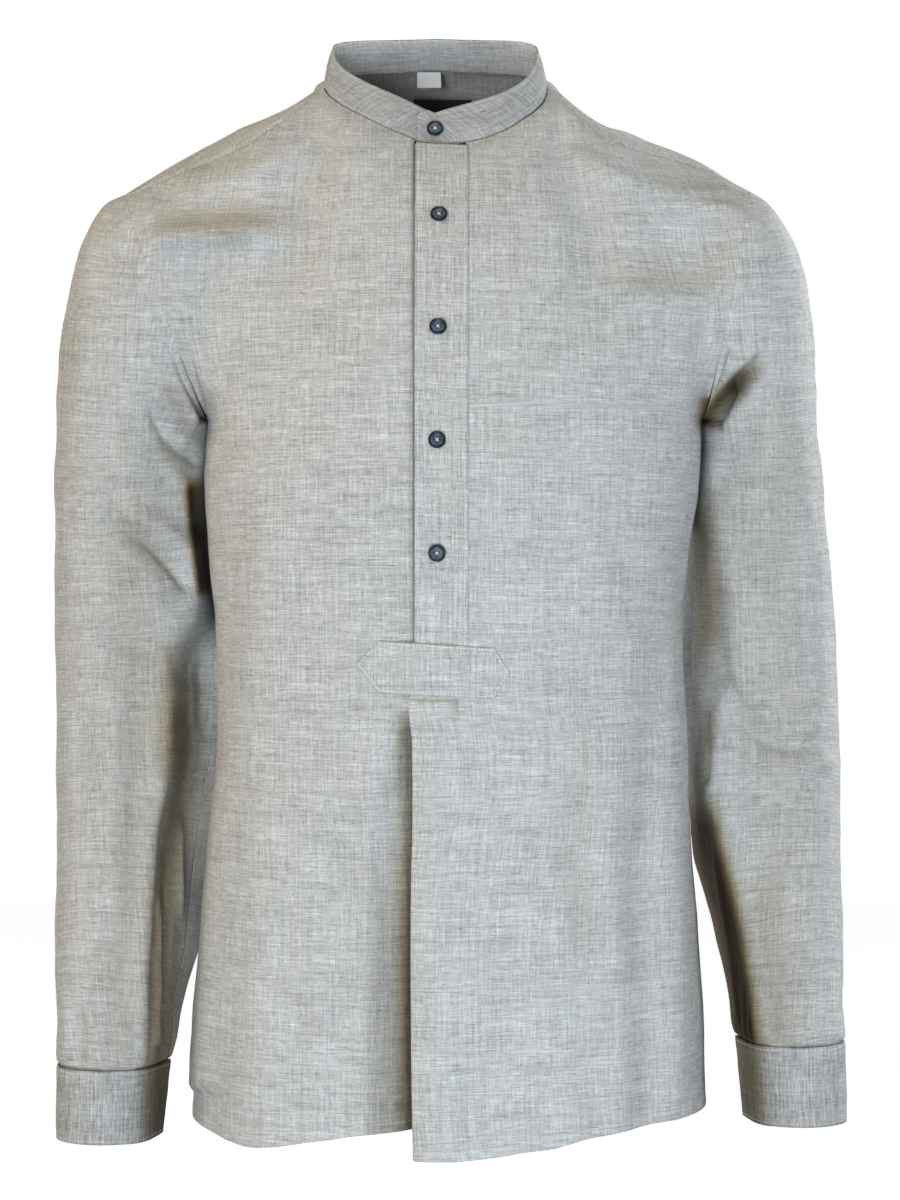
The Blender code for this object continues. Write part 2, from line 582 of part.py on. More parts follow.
def collar_surface(travel, rows):
    """The stand band. travel: 0 at its end under the buttonhole end, on by way of the wearer's right, the back and the
    left to 1 at the buttonhole end. rows: 0 at the seam, 1 at the rim. Points [travel, row]."""
    travel, rows = np.asarray(travel, float), np.asarray(rows, float)
    whole = COLLAR_UNDER_END + 360.0 - COLLAR_TOP_END
    angle = COLLAR_UNDER_END - whole * travel
    lap = -1.15 * (1 - ease((travel * whole - 24.0) / 40.0)) + 1.15 * (1 - ease(((1 - travel) * whole - 24.0) / 40.0))
    grid = np.zeros((len(travel), len(rows), 3))
    end = (1 - travel) * whole * math.radians(1.0) * 78.0  # mm from the buttonhole end
    for k in range(len(travel)):
        base = neck_ring(np.array([angle[k]]), out=lap[k])[0]
        rim = neck_ring(np.array([angle[k]]), rim=True, out=lap[k])[0]
        height = np.linalg.norm(rim - base)
        up = (rim - base) / height
        round_off = 9.0 * max(0.0, 1 - end[k] / 9.0) ** 2 * 0.9
        low, high = 0.85, height - round_off
        for r, share in enumerate(rows):
            grid[k, r] = base + up * (low + (high - low) * share)
            bulge = 0.9 * 4 * share * (1 - share)
            outward = np.array([math.sin(math.radians(angle[k])), -math.cos(math.radians(angle[k])), 0.0])
            grid[k, r] += outward * bulge
    return grid


def front_at(x, z):
    """The middle surface of the front's lowest layer at x, z, below the armpit."""
    curve = body_half(z, back=False)
    y = np.interp(x, curve[:, 0], curve[:, 1])
    return with_folds(np.array([[x, y, z]]), FOLDS_FRONT)[0]


def tab_surface(columns, rows):
    """The tab, from the panel's points moved out over the band's foot and the pleat."""
    x_at = TAB[0, 0] + (TAB[-1, 0] - TAB[0, 0]) * np.asarray(columns, float)
    grid = np.zeros((len(x_at), len(rows), 3))
    for k, x in enumerate(x_at):
        high, low = np.interp(x, TAB[:, 0], TAB[:, 1]), np.interp(x, TAB[:, 0], TAB[:, 2])
        for r, share in enumerate(rows):
            z = high + (low - high) * share
            over = 3.3 * ease((x + 46.0) / 20.0) if x < 0 else 3.3 - 1.6 * ease((x - 20.0) / 26.0)
            point = front_at(x, z)
            point[1] -= 1.45 + over
            grid[k, r] = point
    return grid


# ---------------------------------------------------------------- walls
def normals(grid, closed):
    """Unit normals of a grid of points, from the differences of its neighbours."""
    if closed:
        du = np.roll(grid, -1, axis=0) - np.roll(grid, 1, axis=0)
    else:
        du = np.gradient(grid, axis=0)
    dv = np.gradient(grid, axis=1)
    n = np.cross(du, dv)
    return n / np.maximum(np.linalg.norm(n, axis=2, keepdims=True), 1e-12)


def wall(name, grid, thick, material, outward, closed=False, holes=None, parent=None):
    """A closed wall round a grid [columns, rows, 3] in mm. outward is 1 where columns x rows points out of the garment,
    -1 where it points in. holes marks squares that are left out."""
    n = normals(grid, closed) * outward
    columns, rows = grid.shape[:2]
    count = columns * rows
    points = np.concatenate([(grid + n * thick / 2).reshape(-1, 3), (grid - n * thick / 2).reshape(-1, 3)])
    across = columns if closed else columns - 1
    solid = np.ones((across, rows - 1), bool)
    if holes is not None:
        solid &= ~holes
    faces = []

    def index(c, r):
        return (c % columns) * rows + r

    def add(corners):
        faces.append(corners if outward > 0 else corners[::-1])

    for c in range(across):
        for r in range(rows - 1):
            if not solid[c, r]:
                continue
            a, b, d, e = index(c, r), index(c + 1, r), index(c + 1, r + 1), index(c, r + 1)
            add([a, b, d, e])
            add([e + count, d + count, b + count, a + count])
            sides = (
                (c, r - 1, a, b, r > 0),
                (c, r + 1, d, e, r < rows - 2),
                (c - 1, r, e, a, c > 0 or closed),
                (c + 1, r, b, d, c < across - 1 or closed),
            )
            for other_c, other_r, p, q, inside in sides:
                if inside and solid[other_c % across, other_r]:
                    continue
                add([q, p, p + count, q + count])
    used = sorted({i for face in faces for i in face})
    new = {old: k for k, old in enumerate(used)}
    mesh = bpy.data.meshes.new(name)
    mesh.from_pydata(
        [tuple(points[i] / 1000.0) for i in used], [], [[new[i] for i in face] for face in faces]
    )
    mesh.validate()
    mesh.shade_smooth()
    obj = bpy.data.objects.new(name, mesh)
    bpy.context.scene.collection.objects.link(obj)
    obj.data.materials.append(material)
    obj.parent = parent
    return obj


def turned_button(name, at, direction, material, parent):
    """A sew-through button, turned from its profile, lying along direction."""
    radius = BUTTON_DIAMETER / 2
    profile = [
        (0.0, 0.0),
        (radius * 0.62, 0.0),
        (radius * 0.95, 0.55),
        (radius, 1.2),
        (radius * 0.93, BUTTON_THICK),
        (radius * 0.72, BUTTON_THICK),
        (radius * 0.60, BUTTON_THICK - 0.7),
        (0.0, BUTTON_THICK - 0.8),
    ]
    turns = 16
    points, faces = [], []
    for r, h in profile[1:-1]:
        for k in range(turns):
            a = 2 * math.pi * k / turns
            points.append((r * math.cos(a), r * math.sin(a), h))
    rings = len(profile) - 2
    for i in range(rings - 1):
        for k in range(turns):
            m = (k + 1) % turns
            faces.append([i * turns + k, i * turns + m, (i + 1) * turns + m, (i + 1) * turns + k])
    low, high = len(points), len(points) + 1
    points += [(0.0, 0.0, profile[0][1]), (0.0, 0.0, profile[-1][1])]
    for k in range(turns):
        m = (k + 1) % turns
        faces.append([low, m, k])
        faces.append([high, (rings - 1) * turns + k, (rings - 1) * turns + m])
    mesh = bpy.data.meshes.new(name)
    mesh.from_pydata([tuple(v / 1000.0 for v in p) for p in points], [], faces)
    mesh.shade_smooth()
    obj = bpy.data.objects.new(name, mesh)
    bpy.context.scene.collection.objects.link(obj)
    obj.data.materials.append(material)
    z_axis = np.asarray(direction, float) / np.linalg.norm(direction)
    x_axis = np.cross([0.0, 0.0, 1.0], z_axis)
    if np.linalg.norm(x_axis) < 1e-6:
        x_axis = np.array([1.0, 0.0, 0.0])
    x_axis /= np.linalg.norm(x_axis)
    y_axis = np.cross(z_axis, x_axis)
    turn = np.stack([x_axis, y_axis, z_axis], axis=1)
    matrix = np.eye(4)
    matrix[:3, :3] = turn
    matrix[:3, 3] = np.asarray(at) / 1000.0
    obj.matrix_world = Matrix(matrix.tolist())
    obj.parent = parent
    return obj


def material(name, colour, roughness, metallic=0.0):
    made = bpy.data.materials.new(name)
    made.use_nodes = True
    shader = next(n for n in made.node_tree.nodes if n.type == "BSDF_PRINCIPLED")
    shader.inputs["Base Color"].default_value = (*colour, 1.0)
    shader.inputs["Roughness"].default_value = roughness
    shader.inputs["Metallic"].default_value = metallic
    made.diffuse_color = (*colour, 1.0)
    return made


# ---------------------------------------------------------------- the shirt
RIGHT_COLUMNS = np.array([0.0, 0.05, 0.12, 0.20, 0.29, 0.38, 0.46, 0.53, 0.60, 0.70, 0.80, 0.90, 1.0])
LEFT_COLUMNS = RIGHT_COLUMNS[::-1]
UPPER_ROWS = np.linspace(0.0, 1.0, 9)
LOWER_Z = [-241.0, -262.0, -290.0, -325.0, -365.0, -400.0, -412.0, -445.0, -490.0, -545.0, -600.0, -650.0, -700.0, -750.0]


def front_grid(right_columns, left_columns, upper_rows, lower_z):
    """The whole front as one grid [column, row], rows from the top down, with the squares that aren't cloth."""
    lower = front_lower(right_columns, left_columns, lower_z)
    pleat = lower.shape[0] - len(right_columns) - len(left_columns)
    top_share = upper_rows * (1 - 0.007)
    right = front_half("right", right_columns, top_share)[:, ::-1]
    left = front_half("left", left_columns[::-1], upper_rows * (1 - 0.013))[::-1][:, ::-1]
    # the slit's left side lies out a little as it does lower down
    lift = lifted(left[..., 0], np.full(left[..., 0].shape, -300.0))
    left = left + np.stack([0 * lift, -lift * 0.9, lift * 0.15], axis=-1)
    gap = np.repeat(right[-1:, :, :], pleat, axis=0)
    upper = np.concatenate([right, gap, left], axis=0)
    # the two meet at the armpit row, which the lower grid gives
    grid = np.concatenate([upper[:, :-1], lower], axis=1)
    slit_row = upper.shape[1] - 1 + list(lower_z).index(SLIT_END_Z)
    holes = np.zeros((grid.shape[0] - 1, grid.shape[1] - 1), bool)
    first = len(right_columns) - 1
    holes[first : first + pleat + 1, :slit_row] = True  # the slit has no cloth
    return grid, holes


def placket_edges(rows_upper, lower_z):
    """The slit's two edge lines from the collar down to the slit's end, as [row, 3] each."""
    grid, _ = front_grid(RIGHT_COLUMNS, LEFT_COLUMNS, rows_upper, lower_z)
    pleat = grid.shape[0] - len(RIGHT_COLUMNS) - len(LEFT_COLUMNS)
    last = len(rows_upper) - 1 + list(lower_z).index(SLIT_END_Z)
    right_edge = grid[len(RIGHT_COLUMNS) - 1, : last + 1]
    left_edge = grid[len(RIGHT_COLUMNS) + pleat, : last + 1]
    return right_edge, left_edge


def strip(right_edge, left_edge, x_from, x_to, across, out):
    """A strip across the slit between its edge lines, at these X, moved out."""
    share = np.linspace((x_from - SLIT_LEFT) / (SLIT_RIGHT - SLIT_LEFT), (x_to - SLIT_LEFT) / (SLIT_RIGHT - SLIT_LEFT), across)
    grid = right_edge[None] * (1 - share[:, None, None]) + left_edge[None] * share[:, None, None]
    return grid + front_normal(grid) * out


def on_strip(grid, x, z):
    """A point of a strip at x, z, and its direction out."""
    n = front_normal(grid)
    columns = []
    for k in range(grid.shape[0]):
        order = np.argsort(grid[k, :, 2])
        zs = grid[k, order, 2]
        columns.append([np.interp(z, zs, grid[k, order, j]) for j in range(3)] + [np.interp(z, zs, n[k, order, j]) for j in range(3)])
    columns = np.array(columns)
    found = np.array([np.interp(x, columns[:, 0], columns[:, j]) for j in range(6)])
    direction = found[3:] / np.linalg.norm(found[3:])
    return np.array([x, found[1], z]), direction


def front_normal(grid):
    n = normals(grid, False)
    flip = np.where(n[..., 1:2] > 0, -1.0, 1.0)
    return n * flip


def main():
    for obj in list(bpy.data.objects):
        bpy.data.objects.remove(obj, do_unlink=True)
    scene = bpy.context.scene
    scene.unit_settings.system = "METRIC"
    linen = material("linen", (0.42, 0.44, 0.42), 0.9)
    band = material("linen_band", (0.40, 0.42, 0.40), 0.9)
    horn = material("button_navy", (0.03, 0.05, 0.09), 0.3)
    white = material("label_white", (0.85, 0.86, 0.88), 0.8)
    woven = material("label_woven", (0.10, 0.09, 0.08), 0.85)

    shirt = bpy.data.objects.new("shirt", None)
    scene.collection.objects.link(shirt)

    # front
    grid, holes = front_grid(RIGHT_COLUMNS, LEFT_COLUMNS, UPPER_ROWS, LOWER_Z)
    wall("front", grid, WALL, linen, 1.0, holes=holes, parent=shirt)

    # back
    columns = np.linspace(-1.0, 1.0, 21)
    upper = back_upper(columns, np.linspace(0.0, 0.992, 7))[:, ::-1]
    z_rows = [-241.0, -275.0, -320.0, -375.0, -430.0, -490.0, -545.0, -600.0, -650.0, -700.0, -750.0]
    lower = np.zeros((len(columns), len(z_rows), 3))
    for r, z in enumerate(z_rows):
        curve = body_half(z, back=True)
        centre = side_share(curve, YOKE_BACK_CENTRE[0])
        share = np.where(columns < 0, centre * (1 + columns), centre + (1 - centre) * columns)
        row = along(curve, share)
        row[:, 2] = hem_follow(np.full(len(row), float(z)), hem_height(HEM_BACK, row[:, 0]))
        lower[:, r] = with_folds(row, FOLDS_BACK)
    back = np.concatenate([upper[:, :-1], lower], axis=1)
    # the side seams' gap: both panels start at the sides, so the back moves back a little there
    edge = np.exp(-((1 - np.abs(columns)) / 0.05) ** 2)
    back[..., 1] += (SEAM + 0.1) * edge[:, None]
    wall("back", back, WALL, linen, -1.0, parent=shirt)

    # yoke
    shoulder = YOKE_NECK + (1 - YOKE_NECK) * (1 - RIGHT_COLUMNS[RIGHT_COLUMNS <= NECK_COLUMN] / NECK_COLUMN)
    yoke_columns = np.concatenate([-shoulder, np.linspace(-YOKE_NECK, YOKE_NECK, 15)[1:-1], shoulder[::-1]])
    yoke_rows = np.linspace(0.010, 0.994, 7)
    yoke = yoke_surface(yoke_columns, yoke_rows)
    wall("yoke", yoke, WALL, linen, -1.0, parent=shirt)

    # placket, under placket
    right_edge, left_edge = placket_edges(UPPER_ROWS, LOWER_Z)
    right_edge, left_edge = right_edge.copy(), left_edge.copy()
    base_left = left_edge.copy()
    base_left[:, 1] += 1.1
    under = strip(right_edge, base_left, SLIT_LEFT + 0.35, 14.5, 4, -0.1)
    top = strip(right_edge, base_left, PLACKET_LEFT, PLACKET_RIGHT, 5, 1.5)
    for piece in (under, top):  # clear of the collar
        step = piece[:, 1] - piece[:, 0]
        piece[:, 0] += step * 3.4 / np.linalg.norm(step, axis=1, keepdims=True)
    under[:, -1, 2] += 0.6
    top[:, -1, 2] += 0.6
    wall("placket_under", under, WALL, band, 1.0, parent=shirt)
    wall("placket", top, WALL, band, 1.0, parent=shirt)

    # collar
    travel = np.linspace(0.0, 1.0, 37)
    travel = np.sort(np.concatenate([travel, [0.978, 0.988]]))
    collar = collar_surface(travel, np.linspace(0.0, 1.0, 4))
    wall("collar", collar, BAND_WALL, band, -1.0, parent=shirt)

    # tab
    breaks = (TAB[1:-1, 0] - TAB[0, 0]) / (TAB[-1, 0] - TAB[0, 0])
    columns = np.sort(np.concatenate([[0.0, 1.0, 0.06], breaks, np.linspace(breaks[1], breaks[2], 8)[1:-1]]))
    wall("tab", tab_surface(columns, np.linspace(0.0, 1.0, 4)), WALL, band, 1.0, parent=shirt)

    # buttons down the band and on the collar
    for k, (x, z) in enumerate(zip(BUTTON_X, BUTTON_Z)):
        at, direction = on_strip(top, x, z)
        turned_button(f"button_{k + 2}", at + direction * (BAND_WALL / 2 + SEAM), direction, horn, shirt)
    patch = collar_surface(1 - np.array([10.5, 9.5, 8.5]) / (COLLAR_UNDER_END + 360.0 - COLLAR_TOP_END), [0.4, 0.5, 0.6])
    direction = front_normal(patch)[1, 1]
    turned_button("button_1", patch[1, 1] + direction * (BAND_WALL / 2 + SEAM + 0.1), direction, horn, shirt)

    # size tab and neck label
    x0, x1, high, low, y = SIZE_TAB
    flat = np.array([[(x, y, z) for z in (high, (high + low) / 2, low)] for x in (x0, (x0 + x1) / 2, x1)])
    wall("size_tab", flat, 0.8, white, 1.0, parent=shirt)
    x0, x1, near, far = NECK_LABEL
    depth = np.sort(np.concatenate([[near, far], yoke_rows[(yoke_rows > near + 0.03) & (yoke_rows < far - 0.03)]]))
    middle = yoke[np.abs(yoke_columns) < YOKE_NECK]
    sheet = np.array([[[np.interp(d, yoke_rows, line[:, k]) for k in range(3)] for d in depth] for line in middle])
    label = np.array(
        [
            [[x, *[np.interp(x, sheet[:, r, 0], sheet[:, r, k]) for k in (1, 2)]] for r in range(len(depth))]
            for x in np.linspace(x0, x1, 6)
        ]
    )
    inward = normals(label, False)
    inward *= np.where(inward[..., 2:3] > 0, -1.0, 1.0)
    wall("neck_label", label + inward * (WALL / 2 + SEAM + 0.7), 0.8, woven, -1.0, parent=shirt)

    # sleeves and cuffs
    for side in ("right", "left"):
        around = np.sort(np.concatenate([np.arange(0.0, 360.0, 18.0), [CUFF_OPENING - 0.6, CUFF_OPENING + 0.6]]))
        around = around[np.abs(around - CUFF_OPENING) > 0.3]
        rows = np.concatenate([[0.0, 0.02], np.linspace(0.06, 1.0, 14)])
        sleeve = sleeve_surface(side, around, rows)
        holes = np.zeros((len(around), len(rows) - 1), bool)
        slit = int(np.argmin(np.abs(around - (CUFF_OPENING - 0.6))))
        holes[slit, -3:] = True
        wall(f"sleeve_{side}", sleeve, WALL, linen, sign(side), closed=True, holes=holes, parent=shirt)
        around = np.linspace(CUFF_OPENING - CUFF_OVERLAP, CUFF_OPENING + 360.0, 26)
        cuff = cuff_surface(side, around, np.linspace(0.0, 1.0, 3))
        wall(f"cuff_{side}", cuff, BAND_WALL, band, sign(side), parent=shirt)
        at = cuff_surface(side, np.array([CUFF_OPENING + 360.0 - 13.0]), np.array([0.0, 0.5, 1.0]))[0, 1]
        a = math.radians(CUFF_OPENING - 13.0)
        direction = np.array([sign(side) * math.cos(a), -math.sin(a), 0.0])
        turned_button(f"cuff_button_{side}", at + direction * (BAND_WALL / 2 + SEAM), direction, horn, shirt)


if __name__ == "__main__":
    main()
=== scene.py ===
"""Looks of a long-sleeved linen folk shirt with a stand collar: a pullover, filled out as if worn, with nobody in it.

The first half repeats the shirt's own surfaces, in millimetres, and works them out on finer grids. The second half adds
the creases, rolled seams, stitching, buttons, cloth and light. Creases on the side that the picture shows are placed in
the picture's own coordinates, 900 by 1200, seen from the camera; those on hidden sides in millimetres on the cloth.
"""

import math

import bpy
import numpy as np
from mathutils import Matrix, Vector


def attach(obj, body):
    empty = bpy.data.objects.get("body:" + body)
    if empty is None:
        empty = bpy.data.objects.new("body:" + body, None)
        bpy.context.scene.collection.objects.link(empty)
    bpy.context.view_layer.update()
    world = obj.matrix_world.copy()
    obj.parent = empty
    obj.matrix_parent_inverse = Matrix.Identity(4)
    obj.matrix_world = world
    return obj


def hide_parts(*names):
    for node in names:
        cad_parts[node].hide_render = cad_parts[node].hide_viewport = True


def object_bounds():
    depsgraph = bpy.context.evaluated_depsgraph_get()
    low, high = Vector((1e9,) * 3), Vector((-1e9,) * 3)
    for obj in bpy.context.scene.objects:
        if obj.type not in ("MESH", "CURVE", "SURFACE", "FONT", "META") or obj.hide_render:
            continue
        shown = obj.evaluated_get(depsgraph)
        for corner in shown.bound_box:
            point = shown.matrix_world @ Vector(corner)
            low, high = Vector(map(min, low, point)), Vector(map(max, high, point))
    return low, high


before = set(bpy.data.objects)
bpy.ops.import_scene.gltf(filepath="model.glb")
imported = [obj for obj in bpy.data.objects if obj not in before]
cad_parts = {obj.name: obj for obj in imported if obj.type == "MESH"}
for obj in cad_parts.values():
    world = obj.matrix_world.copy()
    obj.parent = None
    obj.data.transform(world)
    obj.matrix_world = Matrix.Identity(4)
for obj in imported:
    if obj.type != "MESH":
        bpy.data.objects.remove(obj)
CAD_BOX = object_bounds()

# ---------------------------------------------------------------- driving sizes, mm
WALL = 1.0  # a layer of cloth
BAND_WALL = 1.6  # collar and cuffs, two layers and their interlining
SEAM = 0.3  # gap between pieces along a seam
ARMPIT_Z = -241.0
SLIT_END_Z = -412.0  # where the front slit stops, under the tab
SLIT_LEFT, SLIT_RIGHT = -18.2, 17.9
PLACKET_LEFT, PLACKET_RIGHT = -17.2, 17.6  # the 35 mm buttonhole band
BUTTON_DIAMETER, BUTTON_THICK = 12.0, 2.4
BUTTON_X = (-0.9, -1.4, -2.0, -2.0)  # down the band
ROUND_BODY = 2.3  # exponent of the body's sections: 2 is an ellipse
PLEAT_TURN_X = 8.0  # where the under layer of the pleat turns back
HEM_FOLLOW_Z = -600.0  # rows below this follow the hem's line

# z, X of the left side, X of the right side, Y at the front, Y at the back
BODY = np.array(
    [
        (-200.0, -171.0, 191.0, -124.0, 126.0),
        (-241.0, -169.5, 190.5, -131.0, 125.0),
        (-289.0, -171.0, 187.5, -137.0, 121.0),
        (-345.0, -168.0, 179.5, -139.0, 115.0),
        (-400.0, -162.5, 175.0, -138.0, 110.0),
        (-470.0, -161.5, 178.0, -136.5, 109.0),
        (-540.0, -167.5, 180.5, -135.5, 113.0),
        (-620.0, -172.5, 187.0, -135.5, 119.0),
        (-700.0, -178.0, 191.5, -136.0, 124.0),
        (-780.0, -182.5, 193.0, -136.5, 127.0),
    ]
)

# angle from the front centre in degrees, then the collar's base and rim height on the wearer's right and left
COLLAR_Z = np.array(
    [
        (0.0, -51.5, -52.0, -25.0, -25.0),
        (20.0, -41.0, -47.0, -13.0, -17.0),
        (35.0, -31.5, -40.0, -5.0, -11.0),
        (52.0, -21.0, -28.0, 4.0, -3.0),
        (75.0, -8.0, -13.0, 17.0, 13.0),
        (90.0, 0.5, -0.5, 28.0, 26.0),
        (135.0, 14.0, 14.0, 36.5, 36.5),
        (180.0, 19.0, 19.0, 39.5, 39.5),
    ]
)
NECK_BASE = (-3.3, 81.0, -48.0, 40.0)  # centre X, half width, front Y, back Y
NECK_RIM = (-3.7, 74.0, -38.0, 22.0)
NECK_CLEAR = 1.0  # the panels' neckline is this much wider than the collar's middle surface

# the armholes: top X and Z, armpit X, middle Y, reach to the front and to the back
ARMHOLE = {
    "right": (-229.0, -78.0, -169.5, 2.0, 66.0, 66.0),
    "left": (223.0, -75.0, 190.5, 2.0, 66.0, 66.0),
}
# where the yoke's front and back seams meet the armhole, degrees round it from its top (front is plus)
YOKE_AT_ARMHOLE = {"right": (20.0, -40.0), "left": (2.0, -40.0)}
# angle round the collar's base at which the yoke's front seam starts
YOKE_AT_NECK = {"right": 83.0, "left": 88.0}
# share of a half front's columns from the armhole to the neck point
NECK_COLUMN = 0.6
YOKE_NECK = 0.42  # the yoke's columns nearer the centre than this start at the neckline

# the yoke's front seams between neck and armhole: share of the way, X, Y, Z
YOKE_FRONT = {
    "right": np.array([(0.33, -133.0, -36.0, -44.0), (0.55, -162.0, -32.0, -58.0), (0.75, -188.0, -28.0, -67.0)]),
    "left": np.array([(0.3, 121.0, -35.0, -44.0), (0.5, 145.0, -26.0, -51.5), (0.78, 190.0, -4.0, -60.0)]),
}
YOKE_BACK_CENTRE = (3.0, 104.0, -80.0)

# sleeves, a row for each ring: outer X and Z, inner X and Z, middle Y, half depth
SLEEVE = {
    "right": np.array(
        [
            (-243.0, -85.0, -172.0, -244.0, 3.0, 66.5),
            (-255.5, -102.0, -172.8, -248.0, 5.0, 66.5),
            (-265.0, -123.0, -173.0, -253.0, 8.0, 66.0),
            (-273.0, -156.0, -173.0, -262.0, 12.0, 65.0),
            (-279.0, -195.0, -173.2, -277.0, 16.0, 64.0),
            (-282.5, -241.0, -173.2, -299.0, 20.0, 63.0),
            (-284.0, -292.0, -171.5, -329.0, 24.0, 62.0),
            (-284.5, -347.0, -166.5, -368.0, 28.0, 60.5),
            (-284.5, -405.0, -162.5, -416.0, 30.0, 59.5),
            (-284.0, -465.0, -161.8, -468.0, 28.0, 59.0),
            (-283.0, -523.0, -167.5, -521.0, 21.0, 57.0),
            (-281.5, -577.0, -172.5, -573.0, 10.0, 53.5),
            (-280.0, -626.0, -176.5, -622.0, -2.0, 49.0),
            (-278.5, -668.0, -187.0, -666.0, -12.0, 44.5),
            (-276.5, -697.0, -193.5, -696.0, -17.0, 40.0),
            (-275.5, -708.0, -197.0, -708.0, -18.5, 37.0),
        ]
    ),
    "left": np.array(
        [
            (237.0, -84.0, 192.8, -244.0, 3.0, 66.5),
            (250.0, -100.0, 193.2, -248.0, 5.0, 66.5),
            (260.5, -119.0, 193.2, -253.0, 8.0, 66.0),
            (269.0, -151.0, 193.0, -262.0, 12.0, 65.0),
            (273.5, -190.0, 191.4, -277.0, 16.0, 64.0),
            (276.5, -240.0, 189.2, -299.0, 20.0, 63.0),
            (281.5, -292.0, 184.8, -329.0, 24.0, 62.0),
            (287.0, -349.0, 179.8, -367.0, 27.0, 60.5),
            (291.5, -407.0, 177.6, -415.0, 28.0, 59.5),
            (294.0, -465.0, 180.2, -467.0, 25.0, 59.0),
            (294.0, -522.0, 183.0, -519.0, 17.0, 57.0),
            (293.0, -573.0, 189.5, -569.0, 7.0, 53.0),
            (292.0, -617.0, 201.5, -614.0, -4.0, 48.0),
            (291.5, -654.0, 208.5, -652.0, -12.0, 43.5),
            (291.2, -681.0, 212.5, -680.0, -17.0, 39.5),
            (291.0, -691.0, 215.5, -691.0, -18.5, 37.0),
        ]
    ),
}
# cuffs: top and bottom Z, outer and inner X at the top and at the bottom, middle Y, half depth
CUFF = {
    "right": (-709.5, -762.0, -277.0, -196.0, -277.5, -202.0, -19.0, 37.5),
    "left": (-692.5, -749.5, 292.0, 214.5, 293.5, 220.0, -19.0, 37.5),
}
CUFF_OPENING = 236.0  # where the cuff overlaps and the sleeve is slit: degrees round the sleeve from its outer side
CUFF_OVERLAP = 26.0  # degrees

# the hem: X, then Z
HEM_FRONT_RIGHT = np.array([(-190.0, -744.0), (-160.0, -751.5), (-130.0, -754.5), (-84.0, -747.0), (-45.0, -741.5), (0.0, -740.5)])
HEM_FRONT_LEFT = np.array([(-22.0, -756.5), (8.0, -757.0), (67.0, -752.5), (101.0, -746.0), (140.0, -741.5), (195.0, -738.0)])
HEM_BACK = np.array([(-190.0, -744.0), (-120.0, -757.0), (0.0, -768.0), (125.0, -755.0), (195.0, -738.0)])

# soft folds of the front: X and Z at the upper end, at the middle and at the lower end, width, height
FOLDS_FRONT = np.array(
    [
        (-52.0, -455.0, -56.0, -600.0, -58.0, -760.0, 30.0, -11.0),
        (-8.0, -470.0, -6.0, -610.0, -4.0, -760.0, 34.0, 5.0),
        (112.0, -405.0, 84.0, -520.0, 96.0, -760.0, 20.0, 4.5),
        (66.0, -440.0, 58.0, -560.0, 64.0, -760.0, 20.0, -3.5),
        (142.0, -470.0, 138.0, -600.0, 142.0, -760.0, 16.0, -4.0),
        (-105.0, -470.0, -112.0, -600.0, -122.0, -760.0, 24.0, 5.0),
        (-132.0, -380.0, -146.0, -520.0, -160.0, -740.0, 16.0, -3.5),
        (-150.0, -112.0, -185.0, -120.0, -205.0, -122.0, 14.0, -3.5),
        (178.0, -214.0, 158.0, -196.0, 128.0, -182.0, 12.0, -3.5),
    ]
)
FOLDS_BACK = np.array(
    [
        (-60.0, -330.0, -70.0, -520.0, -78.0, -790.0, 26.0, 5.0),
        (8.0, -300.0, 4.0, -520.0, 10.0, -790.0, 30.0, -6.0),
        (84.0, -360.0, 92.0, -540.0, 96.0, -790.0, 24.0, 5.5),
        (-128.0, -280.0, -134.0, -420.0, -128.0, -790.0, 18.0, -4.0),
        (138.0, -290.0, 142.0, -430.0, 140.0, -790.0, 18.0, -4.0),
    ]
)
# sleeve folds: degrees round from the outer side (front is 90), ring share from the shoulder, at both ends; width in
# degrees, height
FOLDS_SLEEVE = {
    "right": np.array(
        [
            (150.0, 0.30, 120.0, 0.46, 20.0, 4.0),
            (60.0, 0.47, 140.0, 0.56, 18.0, -4.0),
            (110.0, 0.58, 125.0, 0.93, 22.0, -4.5),
            (60.0, 0.62, 55.0, 0.95, 24.0, 3.0),
            (230.0, 0.42, 300.0, 0.58, 24.0, -4.0),
            (250.0, 0.66, 240.0, 0.92, 22.0, 3.5),
        ]
    ),
    "left": np.array(
        [
            (150.0, 0.20, 70.0, 0.34, 22.0, -4.0),
            (150.0, 0.60, 110.0, 0.56, 18.0, -4.0),
            (60.0, 0.58, 105.0, 0.60, 16.0, -3.5),
            (120.0, 0.64, 118.0, 0.94, 20.0, 4.0),
            (230.0, 0.44, 300.0, 0.60, 24.0, -4.0),
            (250.0, 0.68, 244.0, 0.92, 22.0, 3.5),
        ]
    ),
}

# the tab under the slit, a six-sided patch: X and Z of its corners, round from the left tip
# X, Z of the upper edge, Z of the lower edge
TAB = np.array(
    [
        (-57.3, -417.9, -418.9),
        (-44.0, -404.6, -435.6),
        (-41.6, -402.0, -437.9),
        (36.3, -407.0, -441.7),
        (37.7, -408.2, -440.0),
        (47.9, -423.4, -424.4),
    ]
)
SIZE_TAB = (-17.4, 0.4, 17.8, 6.0, 37.6)  # X, X, top Z, bottom Z, Y: it hangs in the back of the neck
NECK_LABEL = (-20.5, 23.5, 0.285, 0.56)  # X, X, and shares of the yoke's depth from the neckline
BUTTON_Z = (-105.0, -186.0, -264.5, -342.0)  # down the band; the fifth is on the collar

